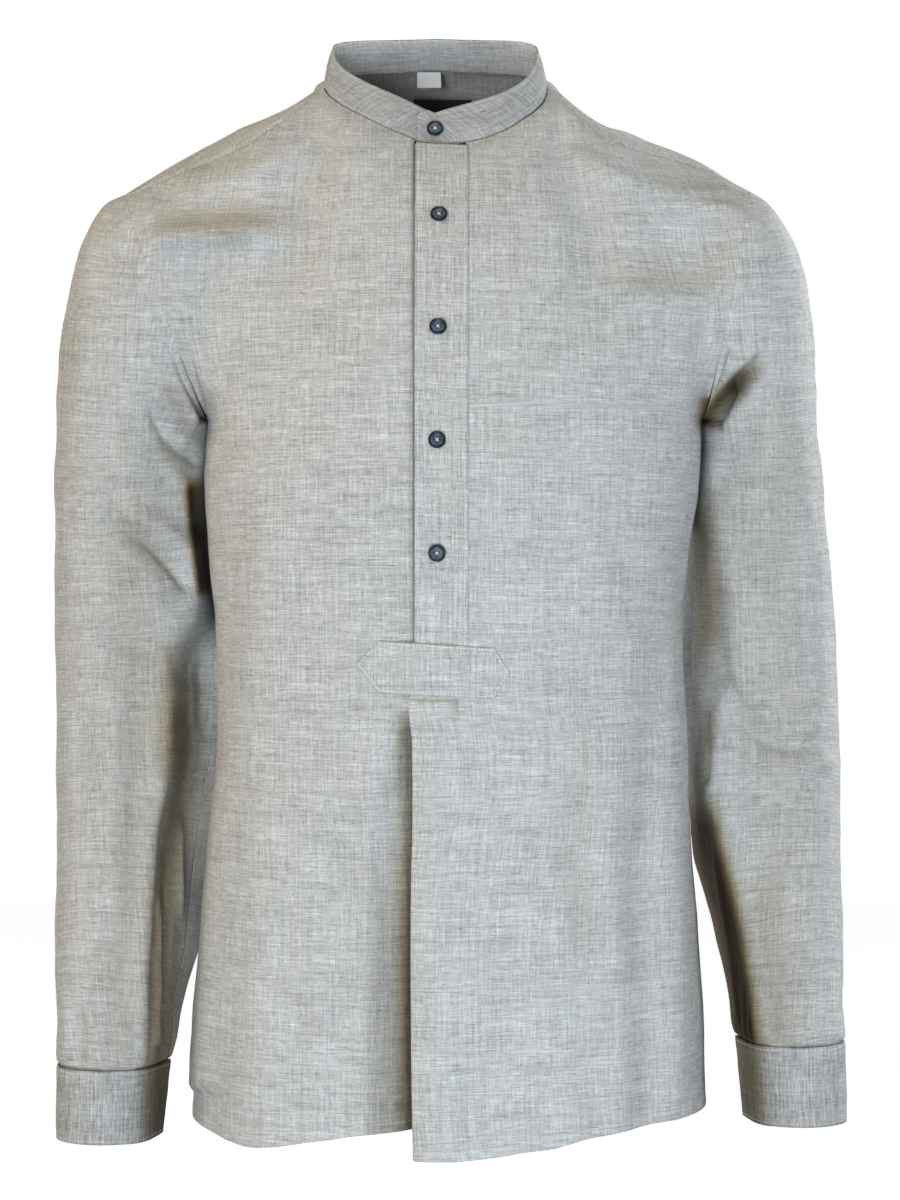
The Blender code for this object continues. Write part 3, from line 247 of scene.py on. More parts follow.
# ---------------------------------------------------------------- curves
def smooth_table(keys, values, at):
    """Monotone cubic through the rows of a table, held past its ends. keys rise; values may have several columns."""
    keys, at = np.asarray(keys, float), np.atleast_1d(np.asarray(at, float))
    values = np.asarray(values, float)
    values = values.reshape(len(keys), -1)
    step = np.diff(keys)[:, None]
    slope = np.diff(values, axis=0) / step
    ends = np.zeros_like(values)
    ends[0], ends[-1] = slope[0], slope[-1]
    same = slope[:-1] * slope[1:] > 0
    with np.errstate(divide="ignore", invalid="ignore"):
        mean = 2 * slope[:-1] * slope[1:] / (slope[:-1] + slope[1:])
    ends[1:-1] = np.where(same, mean, 0.0)
    at = np.clip(at, keys[0], keys[-1])
    i = np.clip(np.searchsorted(keys, at, side="right") - 1, 0, len(keys) - 2)
    t = ((at - keys[i]) / (keys[i + 1] - keys[i]))[:, None]
    h = (keys[i + 1] - keys[i])[:, None]
    return (
        values[i] * (2 * t**3 - 3 * t**2 + 1)
        + ends[i] * h * (t**3 - 2 * t**2 + t)
        + values[i + 1] * (-2 * t**3 + 3 * t**2)
        + ends[i + 1] * h * (t**3 - t**2)
    )


def hermite(a, ta, b, tb, t):
    """Cubic from a to b with end tangents ta and tb, at t. Points are rows; t broadcasts."""
    return a * (2 * t**3 - 3 * t**2 + 1) + ta * (t**3 - 2 * t**2 + t) + b * (-2 * t**3 + 3 * t**2) + tb * (t**3 - t**2)


def ease(t):
    t = np.clip(t, 0.0, 1.0)
    return t * t * (3 - 2 * t)


def along(points, share):
    """Points at these shares of a polyline's length."""
    length = np.concatenate([[0.0], np.cumsum(np.linalg.norm(np.diff(points, axis=0), axis=1))])
    share = np.atleast_1d(share) * length[-1]
    return np.stack([np.interp(share, length, points[:, k]) for k in range(3)], axis=1)


def folds(table, x, z):
    """How far soft folds move the cloth out at x, z: each a ridge along a bent line, fading at its ends."""
    x, z = np.asarray(x, float), np.asarray(z, float)
    out = np.zeros(np.broadcast(x, z).shape)
    for x0, z0, x1, z1, x2, z2, width, height in table:
        if abs(z2 - z0) >= abs(x2 - x0):
            t = (z - z0) / (z2 - z0)
            middle = (z1 - z0) / (z2 - z0)
            centre = np.where(t < middle, x0 + (x1 - x0) * t / middle, x1 + (x2 - x1) * (t - middle) / (1 - middle))
            off = x - centre
            low_end_open = z2 < -730.0
        else:
            t = (x - x0) / (x2 - x0)
            middle = (x1 - x0) / (x2 - x0)
            centre = np.where(t < middle, z0 + (z1 - z0) * t / middle, z1 + (z2 - z1) * (t - middle) / (1 - middle))
            off = z - centre
            low_end_open = False
        fade = ease(t / 0.35) * (1.0 if low_end_open else ease((1 - t) / 0.35))
        out = out + height * fade * np.exp(-((off / width) ** 2))
    return out


# ---------------------------------------------------------------- the body below the armholes
def body_half(z, back):
    """A fine polyline from the right side seam to the left, round the front or the back, at height z."""
    left, right, front, rear = smooth_table(BODY[::-1, 0], BODY[::-1, 1:], z)[0]
    angle = np.linspace(0.0, math.pi, 241)
    c, s = np.cos(angle), np.sin(angle)
    x = (left + right) / 2 - (right - left) / 2 * np.sign(c) * np.abs(c) ** (2 / ROUND_BODY)
    y = (rear if back else front) * np.abs(s) ** (2 / ROUND_BODY)
    return np.stack([x, y, np.full_like(x, z)], axis=1)


def side_share(curve, x):
    """The share of a half section's length at which it reaches x."""
    length = np.concatenate([[0.0], np.cumsum(np.linalg.norm(np.diff(curve, axis=0), axis=1))])
    return float(np.interp(x, curve[:, 0], length) / length[-1])


def with_folds(points, table):
    """Points of the body moved out along the section by the folds there."""
    out = folds(table, points[..., 0], points[..., 2])
    centre_x = 8.0
    normal = np.stack([(points[..., 0] - centre_x) / 1.6, points[..., 1]], axis=-1)
    normal /= np.maximum(np.linalg.norm(normal, axis=-1, keepdims=True), 1e-9)
    moved = points.copy()
    moved[..., :2] += normal * out[..., None]
    return moved


# ---------------------------------------------------------------- neck and armholes
def neck_ring(angle, rim=False, out=0.0):
    """The collar's seam line or its rim. angle in degrees from the front centre, plus on the wearer's left."""
    angle = np.asarray(angle, float)
    centre, half, front, rear = NECK_RIM if rim else NECK_BASE
    turned = (angle + 180.0) % 360.0 - 180.0
    a = np.radians(turned)
    middle, reach = (front + rear) / 2, (rear - front) / 2
    x = centre + (half + out) * np.sin(a)
    y = middle - (reach + out) * np.cos(a)
    heights = smooth_table(COLLAR_Z[:, 0], COLLAR_Z[:, 1:], np.abs(turned).ravel()).reshape(turned.shape + (4,))
    on_left = ease((np.sin(a) + 0.35) / 0.7)
    low, high = (2, 3) if rim else (0, 1)
    z = heights[..., low] * (1 - on_left) + heights[..., high] * on_left
    return np.stack([x, y, z], axis=-1)


def armhole(side, angle):
    """The armhole's seam line. angle in degrees from its top, plus to the front, 180 at the armpit."""
    top_x, top_z, pit_x, middle_y, front, rear = ARMHOLE[side]
    a = np.radians(np.asarray(angle, float))
    c, s = np.cos(a), np.sin(a)
    x = (top_x + pit_x) / 2 + (top_x - pit_x) / 2 * c
    z = (top_z + ARMPIT_Z) / 2 + (top_z - ARMPIT_Z) / 2 * c
    y = middle_y * (1 + c) / 2 - np.where(s > 0, front, rear) * s
    return np.stack([x, y, z], axis=-1)


def sign(side):
    return 1.0 if side == "left" else -1.0


def neck_point(side):
    return neck_ring(sign(side) * YOKE_AT_NECK[side], out=NECK_CLEAR)


def yoke_front(side, share):
    """The yoke's front seam: share 0 at the neck, 1 at the armhole."""
    rows = YOKE_FRONT[side]
    keys = np.concatenate([[0.0], rows[:, 0], [1.0]])
    values = np.concatenate([[neck_point(side)], rows[:, 1:], [armhole(side, YOKE_AT_ARMHOLE[side][0])]])
    return smooth_table(keys, values, share)


def yoke_back(share):
    """The yoke's back seam: share -1 at the right armhole, 0 at the centre, 1 at the left armhole."""
    share = np.atleast_1d(np.asarray(share, float))
    ends = {name: armhole(name, YOKE_AT_ARMHOLE[name][1]) for name in ("right", "left")}
    out = np.zeros((len(share), 3))
    for k, s in enumerate(share):
        end = ends["left"] if s > 0 else ends["right"]
        w = abs(s)
        centre = np.array(YOKE_BACK_CENTRE)
        out[k, 0] = centre[0] + (end[0] - centre[0]) * w
        out[k, 1] = end[1] + (centre[1] - end[1]) * math.sqrt(max(0.0, 1 - w**2.4))
        out[k, 2] = centre[2] + (end[2] - centre[2]) * w**1.6
    return out


# ---------------------------------------------------------------- the three body panels as surfaces
def front_half(side, columns, rows):
    """The front above the armpit, one half. columns: shares from the armhole (0) to the slit (1); rows: shares from the
    armpit (0) to the yoke seam or neckline (1). Gives points [column, row]."""
    columns, rows = np.asarray(columns, float), np.asarray(rows, float)
    curve = body_half(ARMPIT_Z, back=False)
    slit = side_share(curve, SLIT_LEFT if side == "right" else SLIT_RIGHT)
    bottom = along(curve, columns * slit if side == "right" else 1 - columns * (1 - slit))
    bottom = with_folds(bottom, FOLDS_FRONT)
    top = np.zeros_like(bottom)
    shoulder = columns <= NECK_COLUMN
    top[shoulder] = yoke_front(side, 1 - columns[shoulder] / NECK_COLUMN)
    slit_x = SLIT_LEFT if side == "right" else SLIT_RIGHT
    slit_angle = math.degrees(math.asin((slit_x - NECK_BASE[0]) / NECK_BASE[1]))
    start = sign(side) * YOKE_AT_NECK[side]
    share = (columns[~shoulder] - NECK_COLUMN) / (1 - NECK_COLUMN)
    top[~shoulder] = neck_ring(start + (slit_angle - start) * share, out=NECK_CLEAR)
    inner = ease((columns - 0.25) / 0.6)[:, None]  # 0 near the armhole, 1 near the centre
    up = np.stack([-sign(side) * -0.10 * (1 - columns), 0.02 + 0.05 * columns, np.ones_like(columns)], axis=1)
    leave = up * (150.0 + 30.0 * inner)
    to_shoulder = np.array([0.0, 0.75, 0.66]) * 120.0
    to_neck = np.array([0.0, 0.80, 0.60]) * 140.0
    arrive = to_shoulder * (1 - inner) + to_neck * inner
    t = rows[None, :, None]
    grid = hermite(bottom[:, None], leave[:, None], top[:, None], arrive[:, None], t)
    own_edge = hermite(bottom[:1][:, None], leave[:1][:, None], top[:1][:, None], arrive[:1][:, None], t)[0]
    seam = armhole(side, 180.0 + (YOKE_AT_ARMHOLE[side][0] - 180.0) * rows)
    pull = (np.clip(1 - columns / 0.55, 0, 1) ** 2.2)[:, None, None]
    if columns[0] == 0.0:
        grid = grid + pull * (seam - own_edge)[None]
    return grid


def back_upper(columns, rows):
    """The back above the armpit. columns: -1 at the right armhole, 0 at the centre, 1 at the left; rows 0 to 1."""
    columns, rows = np.asarray(columns, float), np.asarray(rows, float)
    curve = body_half(ARMPIT_Z, back=True)
    centre = side_share(curve, YOKE_BACK_CENTRE[0])
    share = np.where(columns < 0, centre * (1 + columns), centre + (1 - centre) * columns)
    bottom = with_folds(along(curve, share), FOLDS_BACK)
    top = yoke_back(columns)
    leave = np.stack([0.06 * columns, np.full_like(columns, 0.0), np.ones_like(columns)], axis=1) * 120.0
    arrive = np.stack([0 * columns, -0.50 * np.ones_like(columns), 0.86 * np.ones_like(columns)], axis=1) * 110.0
    t = rows[None, :, None]
    grid = hermite(bottom[:, None], leave[:, None], top[:, None], arrive[:, None], t)
    for side in ("right", "left"):
        edge = 0 if side == "right" else -1
        seam = armhole(side, -180.0 + (YOKE_AT_ARMHOLE[side][1] + 180.0) * rows)
        away = 1 + columns if side == "right" else 1 - columns
        pull = (np.clip(1 - away / 0.6, 0, 1) ** 2.2)[:, None, None]
        grid = grid + pull * (seam - grid[edge])[None]
    return grid


def yoke_surface(columns, rows):
    """The yoke. columns: -1 at the right armhole, -NECK_COLUMN.. round the neck .., 1 at the left armhole; rows: 0 on the
    front seams and the back neckline, 1 on the back seam."""
    columns, rows = np.asarray(columns, float), np.asarray(rows, float)
    neck = YOKE_NECK
    start, leave = np.zeros((len(columns), 3)), np.zeros((len(columns), 3))
    for k, c in enumerate(columns):
        side = "left" if c > 0 else "right"
        if abs(c) > neck:
            share = (abs(c) - neck) / (1 - neck)
            start[k] = yoke_front(side, share)[0]
            from_neck = np.array([sign(side) * 62.0, 62.0, 34.0 if side == "right" else 24.0])
            over = np.array([0.0, 0.72, 0.70]) * (205.0 - 65.0 * share) + [0.0, 0.0, 34.0 if side == "right" else 8.0]
            leave[k] = from_neck + (over - from_neck) * ease(share / 0.45)
        else:
            angle = 180.0 - (180.0 - YOKE_AT_NECK[side]) * abs(c) / neck
            start[k] = neck_ring(sign(side) * angle, out=NECK_CLEAR)
            outward = np.array([math.sin(math.radians(angle)) * sign(side), -math.cos(math.radians(angle)), 0.0])
            flat = abs(c) / neck
            from_neck = np.array([sign(side) * 62.0, 62.0, 34.0 if side == "right" else 24.0])
            leave[k] = (outward * 62.0 + np.array([0.0, 0.0, -14.0])) * (1 - flat) + from_neck * flat
    end = yoke_back(columns)
    arrive = np.stack([0 * columns, 0.50 * np.ones_like(columns), -0.86 * np.ones_like(columns)], axis=1)
    arrive = arrive * (100.0 + 60.0 * ease((np.abs(columns) - 0.3) / 0.4) * (1 - 0.35 * np.abs(columns)))[:, None]
    t = rows[None, :, None]
    grid = hermite(start[:, None], leave[:, None], end[:, None], arrive[:, None], t)
    for side in ("right", "left"):
        edge = 0 if side == "right" else -1
        front, rear = YOKE_AT_ARMHOLE[side]
        seam = armhole(side, front + (rear - front) * rows)
        away = 1 + columns if side == "right" else 1 - columns
        pull = (np.clip(1 - away / 0.5, 0, 1) ** 2)[:, None, None]
        grid = grid + pull * (seam - grid[edge])[None]
    return grid


def hem_follow(z, hem):
    """Rows below HEM_FOLLOW_Z stretch to end on the hem's line."""
    return np.where(z < HEM_FOLLOW_Z, HEM_FOLLOW_Z + (z - HEM_FOLLOW_Z) * (hem - HEM_FOLLOW_Z) / (-750.0 - HEM_FOLLOW_Z), z)


def hem_height(table, x):
    return smooth_table(table[:, 0], table[:, 1], x)[:, 0]


def pleat_pitch(z):
    """The spacing of the pleat's layers, which opens towards the hem."""
    return 1.5 + 2.3 * ease((-445.0 - z) / 280.0)


def pleat_edge(z):
    """X of the pleat's sharp front edge."""
    table = np.array([(-760.0, -17.5), (-700.0, -19.0), (-600.0, -19.5), (-520.0, -18.5), (-475.0, -18.8), (-440.0, -21.5), (-400.0, -21.5)])
    return smooth_table(table[:, 0], table[:, 1], z)[:, 0]


def lifted(x, z):
    """How far the front's left half lies out: on the pleat's layers low down, on the slit's edge above."""
    low = 2 * pleat_pitch(z) * (1 - ease((x + 8.0) / 90.0))
    high = 1.2 * (1 - ease((x - 18.0) / 60.0))
    return high + (low - high) * ease((SLIT_END_Z + 6.0 - z) / 12.0)


def front_lower(columns_right, columns_left, z_rows):
    """The front below the armpit: the right half's columns, the pleat's, the left half's. Points [column, row]."""
    pleat = pleat_profile(-500.0)
    total = len(columns_right) + len(pleat) + len(columns_left)
    grid = np.zeros((total, len(z_rows), 3))
    for r, z in enumerate(z_rows):
        curve = body_half(z, back=False)
        right = along(curve, np.asarray(columns_right) * side_share(curve, SLIT_LEFT))
        slit = side_share(curve, SLIT_RIGHT)
        left = along(curve, 1 - np.asarray(columns_left) * (1 - slit))
        profile = np.array(pleat_profile(z))
        middle = along(curve, [side_share(curve, x) for x in profile[:, 0]])
        out = np.concatenate([np.zeros(len(right)), profile[:, 1], lifted(left[:, 0], np.full(len(left), z))])
        row = np.concatenate([right, middle, left])
        hem = np.concatenate(
            [
                hem_height(HEM_FRONT_RIGHT, right[:, 0]),
                -740.5 + (-757.0 + 740.5) * ease((profile[:, 2])),
                hem_height(HEM_FRONT_LEFT, left[:, 0]),
            ]
        )
        row[:, 2] = hem_follow(np.full(total, float(z)), hem)
        row[:, 1] -= out
        grid[:, r] = with_folds(row, FOLDS_FRONT)
    return grid


def pleat_profile(z):
    """Across the pleat at height z: X, how far out, and how far along the fold. The cloth runs under its own left half,
    turns back at PLEAT_TURN_X, turns again at the sharp edge and runs on over itself."""
    p = float(pleat_pitch(z))
    edge = float(pleat_edge(z)[0])
    turn = PLEAT_TURN_X
    half = p / 2
    rows = [(x, 0.0, 0.0) for x in np.linspace(-15.0, turn, 6)]
    rows += [(turn + half * math.sin(a), half - half * math.cos(a), 0.3 * a / math.pi) for a in np.linspace(0, math.pi, 6)[1:]]
    under = np.linspace(turn, edge + half, 9)[1:]
    rows += [(x, p, 0.3 + 0.4 * (turn - x) / (turn - edge)) for x in under]
    rows += [(edge + half - half * math.sin(a), p + half - half * math.cos(a), 0.75 + 0.25 * a / math.pi) for a in np.linspace(0, math.pi, 7)[1:]]
    rows += [(x, 2 * p, 1.0) for x in np.linspace(edge + half, 10.0, 8)[1:]]
    return rows


# ---------------------------------------------------------------- sleeves
def sleeve_surface(side, around, lengthwise):
    """A sleeve. around: degrees from the outer side, plus to the front; lengthwise: 0 at the armhole, 1 at the cuff.
    Points [around, lengthwise]."""
    around, lengthwise = np.asarray(around, float), np.asarray(lengthwise, float)
    table = SLEEVE[side]
    a = np.radians(around)
    rings = [armhole(side, around)]
    rings[0] = rings[0] + np.stack(
        [sign(side) * (0.45 + 1.3 * (1 - np.cos(a)) / 2), 0 * a, -0.2 + 0 * a], axis=1
    )
    for row in table:
        outer_x, outer_z, inner_x, inner_z, middle, half = row
        x = (outer_x + inner_x) / 2 + (outer_x - inner_x) / 2 * np.cos(a)
        z = (outer_z + inner_z) / 2 + (outer_z - inner_z) / 2 * np.cos(a)
        rings.append(np.stack([x, middle - half * np.sin(a), z], axis=1))
    rings = np.array(rings)
    keys = np.concatenate([[0.0], np.cumsum(np.linalg.norm(np.diff(rings.mean(axis=1), axis=0), axis=1) + 6.0)])
    keys /= keys[-1]
    flat = smooth_table(keys, rings.reshape(len(rings), -1), lengthwise)
    grid = flat.reshape(len(lengthwise), len(around), 3).transpose(1, 0, 2)
    centre = grid.mean(axis=0, keepdims=True)
    out = np.zeros(grid.shape[:2])
    for a0, t0, a1, t1, width, height in FOLDS_SLEEVE[side]:
        if abs(t1 - t0) * 250 > abs(a1 - a0):
            t = (lengthwise - t0) / (t1 - t0)
            at = a0 + (a1 - a0) * t
            off = (around[:, None] - at[None] + 180.0) % 360.0 - 180.0
            fade = ease(t / 0.3) * ease((1 - t) / 0.3)
            out += height * fade[None] * np.exp(-((off / width) ** 2))
        else:
            t = (around - a0) / (a1 - a0)
            at = t0 + (t1 - t0) * t
            off = (lengthwise[None] - at[:, None]) * 700.0
            fade = ease(t / 0.3) * ease((1 - t) / 0.3)
            out += height * fade[:, None] * np.exp(-((off / width) ** 2))
    ray = grid - centre
    ray /= np.maximum(np.linalg.norm(ray, axis=2, keepdims=True), 1e-9)
    keep = ease(lengthwise / 0.08) * ease((1 - lengthwise) / 0.05)
    return grid + ray * (out * keep[None])[..., None]


def cuff_surface(side, around, rows):
    """A cuff as a band whose ends overlap at the opening. around: degrees; rows: 0 at the top, 1 at the bottom."""
    top_z, bottom_z, top_out, top_in, low_out, low_in, middle, half = CUFF[side]
    around, rows = np.asarray(around, float), np.asarray(rows, float)
    a = np.radians(around)[:, None]
    t = rows[None]
    outer, inner = top_out + (low_out - top_out) * t, top_in + (low_in - top_in) * t
    end = CUFF_OPENING + 360.0
    lap = 2.2 * ease((around - (end - CUFF_OVERLAP - 18.0)) / 18.0)[:, None]
    size = half + lap
    x = (outer + inner) / 2 + ((outer - inner) / 2 + sign(side) * lap) * np.cos(a)
    y = middle - size * np.sin(a) + 0 * t
    z = top_z + (bottom_z - top_z) * t + 0 * a
    return np.stack([x, y, z], axis=2)


# ---------------------------------------------------------------- collar, tab and labels
COLLAR_UNDER_END, COLLAR_TOP_END = 12.0, -9.8  # degrees from the front centre


def collar_surface(travel, rows):
    """The stand band. travel: 0 at its end under the buttonhole end, on by way of the wearer's right, the back and the
    left to 1 at the buttonhole end. rows: 0 at the seam, 1 at the rim. Points [travel, row]."""
    travel, rows = np.asarray(travel, float), np.asarray(rows, float)
    whole = COLLAR_UNDER_END + 360.0 - COLLAR_TOP_END
    angle = COLLAR_UNDER_END - whole * travel
    lap = -1.15 * (1 - ease((travel * whole - 24.0) / 40.0)) + 1.15 * (1 - ease(((1 - travel) * whole - 24.0) / 40.0))
    grid = np.zeros((len(travel), len(rows), 3))
    end = (1 - travel) * whole * math.radians(1.0) * 78.0  # mm from the buttonhole end
    for k in range(len(travel)):
        base = neck_ring(np.array([angle[k]]), out=lap[k])[0]
        rim = neck_ring(np.array([angle[k]]), rim=True, out=lap[k])[0]
        height = np.linalg.norm(rim - base)
        up = (rim - base) / height
        round_off = 9.0 * max(0.0, 1 - end[k] / 9.0) ** 2 * 0.9
        low, high = 0.85, height - round_off
        for r, share in enumerate(rows):
            grid[k, r] = base + up * (low + (high - low) * share)
            bulge = 0.9 * 4 * share * (1 - share)
            outward = np.array([math.sin(math.radians(angle[k])), -math.cos(math.radians(angle[k])), 0.0])
            grid[k, r] += outward * bulge
    return grid


def front_at(x, z):
    """The middle surface of the front's lowest layer at x, z, below the armpit."""
    curve = body_half(z, back=False)
    y = np.interp(x, curve[:, 0], curve[:, 1])
    return with_folds(np.array([[x, y, z]]), FOLDS_FRONT)[0]


def tab_surface(columns, rows):
    """The tab, from the panel's points moved out over the band's foot and the pleat."""
    x_at = TAB[0, 0] + (TAB[-1, 0] - TAB[0, 0]) * np.asarray(columns, float)
    grid = np.zeros((len(x_at), len(rows), 3))
    for k, x in enumerate(x_at):
        high, low = np.interp(x, TAB[:, 0], TAB[:, 1]), np.interp(x, TAB[:, 0], TAB[:, 2])
        for r, share in enumerate(rows):
            z = high + (low - high) * share
            over = 3.3 * ease((x + 46.0) / 20.0) if x < 0 else 3.3 - 1.6 * ease((x - 20.0) / 26.0)
            point = front_at(x, z)
            point[1] -= 1.45 + over
            grid[k, r] = point
    return grid

# ---------------------------------------------------------------- walls
def normals(grid, closed):
    """Unit normals of a grid of points, from the differences of its neighbours."""
    if closed:
        du = np.roll(grid, -1, axis=0) - np.roll(grid, 1, axis=0)
    else:
        du = np.gradient(grid, axis=0)
    dv = np.gradient(grid, axis=1)
    n = np.cross(du, dv)
    return n / np.maximum(np.linalg.norm(n, axis=2, keepdims=True), 1e-12)
RIGHT_COLUMNS = np.array([0.0, 0.05, 0.12, 0.20, 0.29, 0.38, 0.46, 0.53, 0.60, 0.70, 0.80, 0.90, 1.0])
LEFT_COLUMNS = RIGHT_COLUMNS[::-1]


def front_grid(right_columns, left_columns, upper_rows, lower_z):
    """The whole front as one grid [column, row], rows from the top down, with the squares that aren't cloth."""
    lower = front_lower(right_columns, left_columns, lower_z)
    pleat = lower.shape[0] - len(right_columns) - len(left_columns)
    top_share = upper_rows * (1 - 0.007)
    right = front_half("right", right_columns, top_share)[:, ::-1]
    left = front_half("left", left_columns[::-1], upper_rows * (1 - 0.013))[::-1][:, ::-1]
    # the slit's left side lies out a little as it does lower down
    lift = lifted(left[..., 0], np.full(left[..., 0].shape, -300.0))
    left = left + np.stack([0 * lift, -lift * 0.9, lift * 0.15], axis=-1)
    gap = np.repeat(right[-1:, :, :], pleat, axis=0)
    upper = np.concatenate([right, gap, left], axis=0)
    # the two meet at the armpit row, which the lower grid gives
    grid = np.concatenate([upper[:, :-1], lower], axis=1)
    slit_row = upper.shape[1] - 1 + list(lower_z).index(SLIT_END_Z)
    holes = np.zeros((grid.shape[0] - 1, grid.shape[1] - 1), bool)
    first = len(right_columns) - 1
    holes[first : first + pleat + 1, :slit_row] = True  # the slit has no cloth
    return grid, holes


def placket_edges(rows_upper, lower_z):
    """The slit's two edge lines from the collar down to the slit's end, as [row, 3] each."""
    grid, _ = front_grid(RIGHT_COLUMNS, LEFT_COLUMNS, rows_upper, lower_z)
    pleat = grid.shape[0] - len(RIGHT_COLUMNS) - len(LEFT_COLUMNS)
    last = len(rows_upper) - 1 + list(lower_z).index(SLIT_END_Z)
    right_edge = grid[len(RIGHT_COLUMNS) - 1, : last + 1]
    left_edge = grid[len(RIGHT_COLUMNS) + pleat, : last + 1]
    return right_edge, left_edge


def strip(right_edge, left_edge, x_from, x_to, across, out):
    """A strip across the slit between its edge lines, at these X, moved out."""
    share = np.linspace((x_from - SLIT_LEFT) / (SLIT_RIGHT - SLIT_LEFT), (x_to - SLIT_LEFT) / (SLIT_RIGHT - SLIT_LEFT), across)
    grid = right_edge[None] * (1 - share[:, None, None]) + left_edge[None] * share[:, None, None]
    return grid + front_normal(grid) * out


def on_strip(grid, x, z):
    """A point of a strip at x, z, and its direction out."""
    n = front_normal(grid)
    columns = []
    for k in range(grid.shape[0]):
        order = np.argsort(grid[k, :, 2])
        zs = grid[k, order, 2]
        columns.append([np.interp(z, zs, grid[k, order, j]) for j in range(3)] + [np.interp(z, zs, n[k, order, j]) for j in range(3)])
    columns = np.array(columns)
    found = np.array([np.interp(x, columns[:, 0], columns[:, j]) for j in range(6)])
    direction = found[3:] / np.linalg.norm(found[3:])
    return np.array([x, found[1], z]), direction


def front_normal(grid):
    n = normals(grid, False)
    flip = np.where(n[..., 1:2] > 0, -1.0, 1.0)
    return n * flip

# ================================================================ finer cloth
THIN = 0.7  # a layer of cloth as drawn, inside the 1 mm wall of the solids
BAND_THIN = 1.2
CAMERA_AT = np.array([6.9, -2200.0, -374.0])
FOCAL = 3014.0  # picture points per mm at 1 mm


def seen(points):
    """Where points fall in the picture."""
    depth = points[..., 1] - CAMERA_AT[1]
    return 450.0 + (points[..., 0] - CAMERA_AT[0]) * FOCAL / depth, 600.0 - (points[..., 2] - CAMERA_AT[2]) * FOCAL / depth


def bent(path, per=7):
    """A smooth line through the points of a path."""
    p = np.array(path, float)
    ends = np.vstack([2 * p[0] - p[1], p, 2 * p[-1] - p[-2]])
    t = np.linspace(0, 1, per, endpoint=False)[:, None]
    out = []
    for a, b, c, d in zip(ends, ends[1:], ends[2:], ends[3:]):
        out.append(0.5 * (2 * b + (c - a) * t + (2 * a - 5 * b + 4 * c - d) * t**2 + (3 * b - a - 3 * c + d) * t**3))
    return np.vstack(out + [p[-1:]])


def to_line(u, v, line):
    """Distance of points from a line, which side they are on and what share of it they have passed."""
    step = np.linalg.norm(np.diff(line, axis=0), axis=1)
    length = np.concatenate([[0.0], np.cumsum(step)])
    best, side, share = np.full(u.shape, 1e9), np.zeros(u.shape), np.zeros(u.shape)
    for k, ((x0, y0), (x1, y1)) in enumerate(zip(line, line[1:])):
        dx, dy = x1 - x0, y1 - y0
        t = np.clip(((u - x0) * dx + (v - y0) * dy) / max(step[k] ** 2, 1e-9), 0, 1)
        d = np.hypot(u - x0 - t * dx, v - y0 - t * dy)
        near = d < best
        best = np.where(near, d, best)
        side = np.where(near, dx * (v - y0) - dy * (u - x0), side)
        share = np.where(near, (length[k] + t * step[k]) / length[-1], share)
    return best, side, share


def crease_height(u, v, table):
    """Sum of creases at u, v. A row: path, reach to its left going down (or below it going right), reach to its other
    side, height, share of its length over which it rises, and over which it dies out."""
    out = np.zeros(u.shape)
    for path, reach_a, reach_b, height, rise, fall in table:
        line = bent(path)
        most = 3.0 * max(reach_a, reach_b)
        inside = (u > line[:, 0].min() - most) & (u < line[:, 0].max() + most)
        inside &= (v > line[:, 1].min() - most) & (v < line[:, 1].max() + most)
        if not inside.any():
            continue
        d, side, share = to_line(u[inside], v[inside], line)
        reach = np.where(side > 0, reach_a, reach_b)
        fade = ease(share / max(rise, 1e-3)) * ease((1 - share) / max(fall, 1e-3))
        out[inside] += height * fade * np.exp(-((d / reach) ** 2))
    return out


def creased(grid, outward, table, keep=1.0):
    """Creases of the side that the picture shows, along the cloth's own normals."""
    n = normals(grid, False) * outward
    u, v = seen(grid)
    facing = ease((-n[..., 1] + 0.25) / 0.45)
    return grid + n * (crease_height(u, v, table) * facing * keep)[..., None]


def drift(x, y, size, seed, stretch=1.0, turn=0.0):
    """Smooth noise with hills `size` mm apart, longer along x by `stretch`, turned by `turn` degrees."""
    rng = np.random.default_rng(seed)
    table = rng.uniform(-1.0, 1.0, (83, 79))
    a = math.radians(turn)
    gx = (x * math.cos(a) + y * math.sin(a)) / (size * stretch) + 31.3
    gy = (y * math.cos(a) - x * math.sin(a)) / size + 37.7
    ix, iy = np.floor(gx).astype(int), np.floor(gy).astype(int)
    fx, fy = gx - ix, gy - iy
    fx, fy = fx**3 * (fx * (6 * fx - 15) + 10), fy**3 * (fy * (6 * fy - 15) + 10)

    def at(i, j):
        return table[(ix + i) % 83, (iy + j) % 79]

    return (at(0, 0) * (1 - fx) + at(1, 0) * fx) * (1 - fy) + (at(0, 1) * (1 - fx) + at(1, 1) * fx) * fy


def lengths(grid, axis):
    step = np.linalg.norm(np.diff(grid, axis=axis), axis=2)
    first = np.zeros_like(np.take(step, [0], axis=axis))
    return np.concatenate([first, np.cumsum(step, axis=axis)], axis=axis)


def edge_distance(grid, edges):
    """Distance in mm from the nearest of the edges named: columns 0 and -1 as "c0" and "c1", rows as "r0" and "r1"."""
    across, down = lengths(grid, 0), lengths(grid, 1)
    found = {"c0": across, "c1": across[-1:] - across, "r0": down, "r1": down[:, -1:] - down}
    out = np.full(grid.shape[:2], 1e9)
    for name in edges:
        out = np.minimum(out, found[name])
    return out


def kept(grid, edges, reach=16.0):
    """1 inside a piece, easing to 0 at these edges, so that neighbours still meet there."""
    return ease(edge_distance(grid, edges) / reach)


def rolled(grid, outward, edges, reach=1.8, depth=0.9):
    """The cloth turned in at a seam."""
    drop = depth * np.clip(1 - edge_distance(grid, edges) / reach, 0, 1) ** 2
    return grid - normals(grid, False) * outward * drop[..., None]


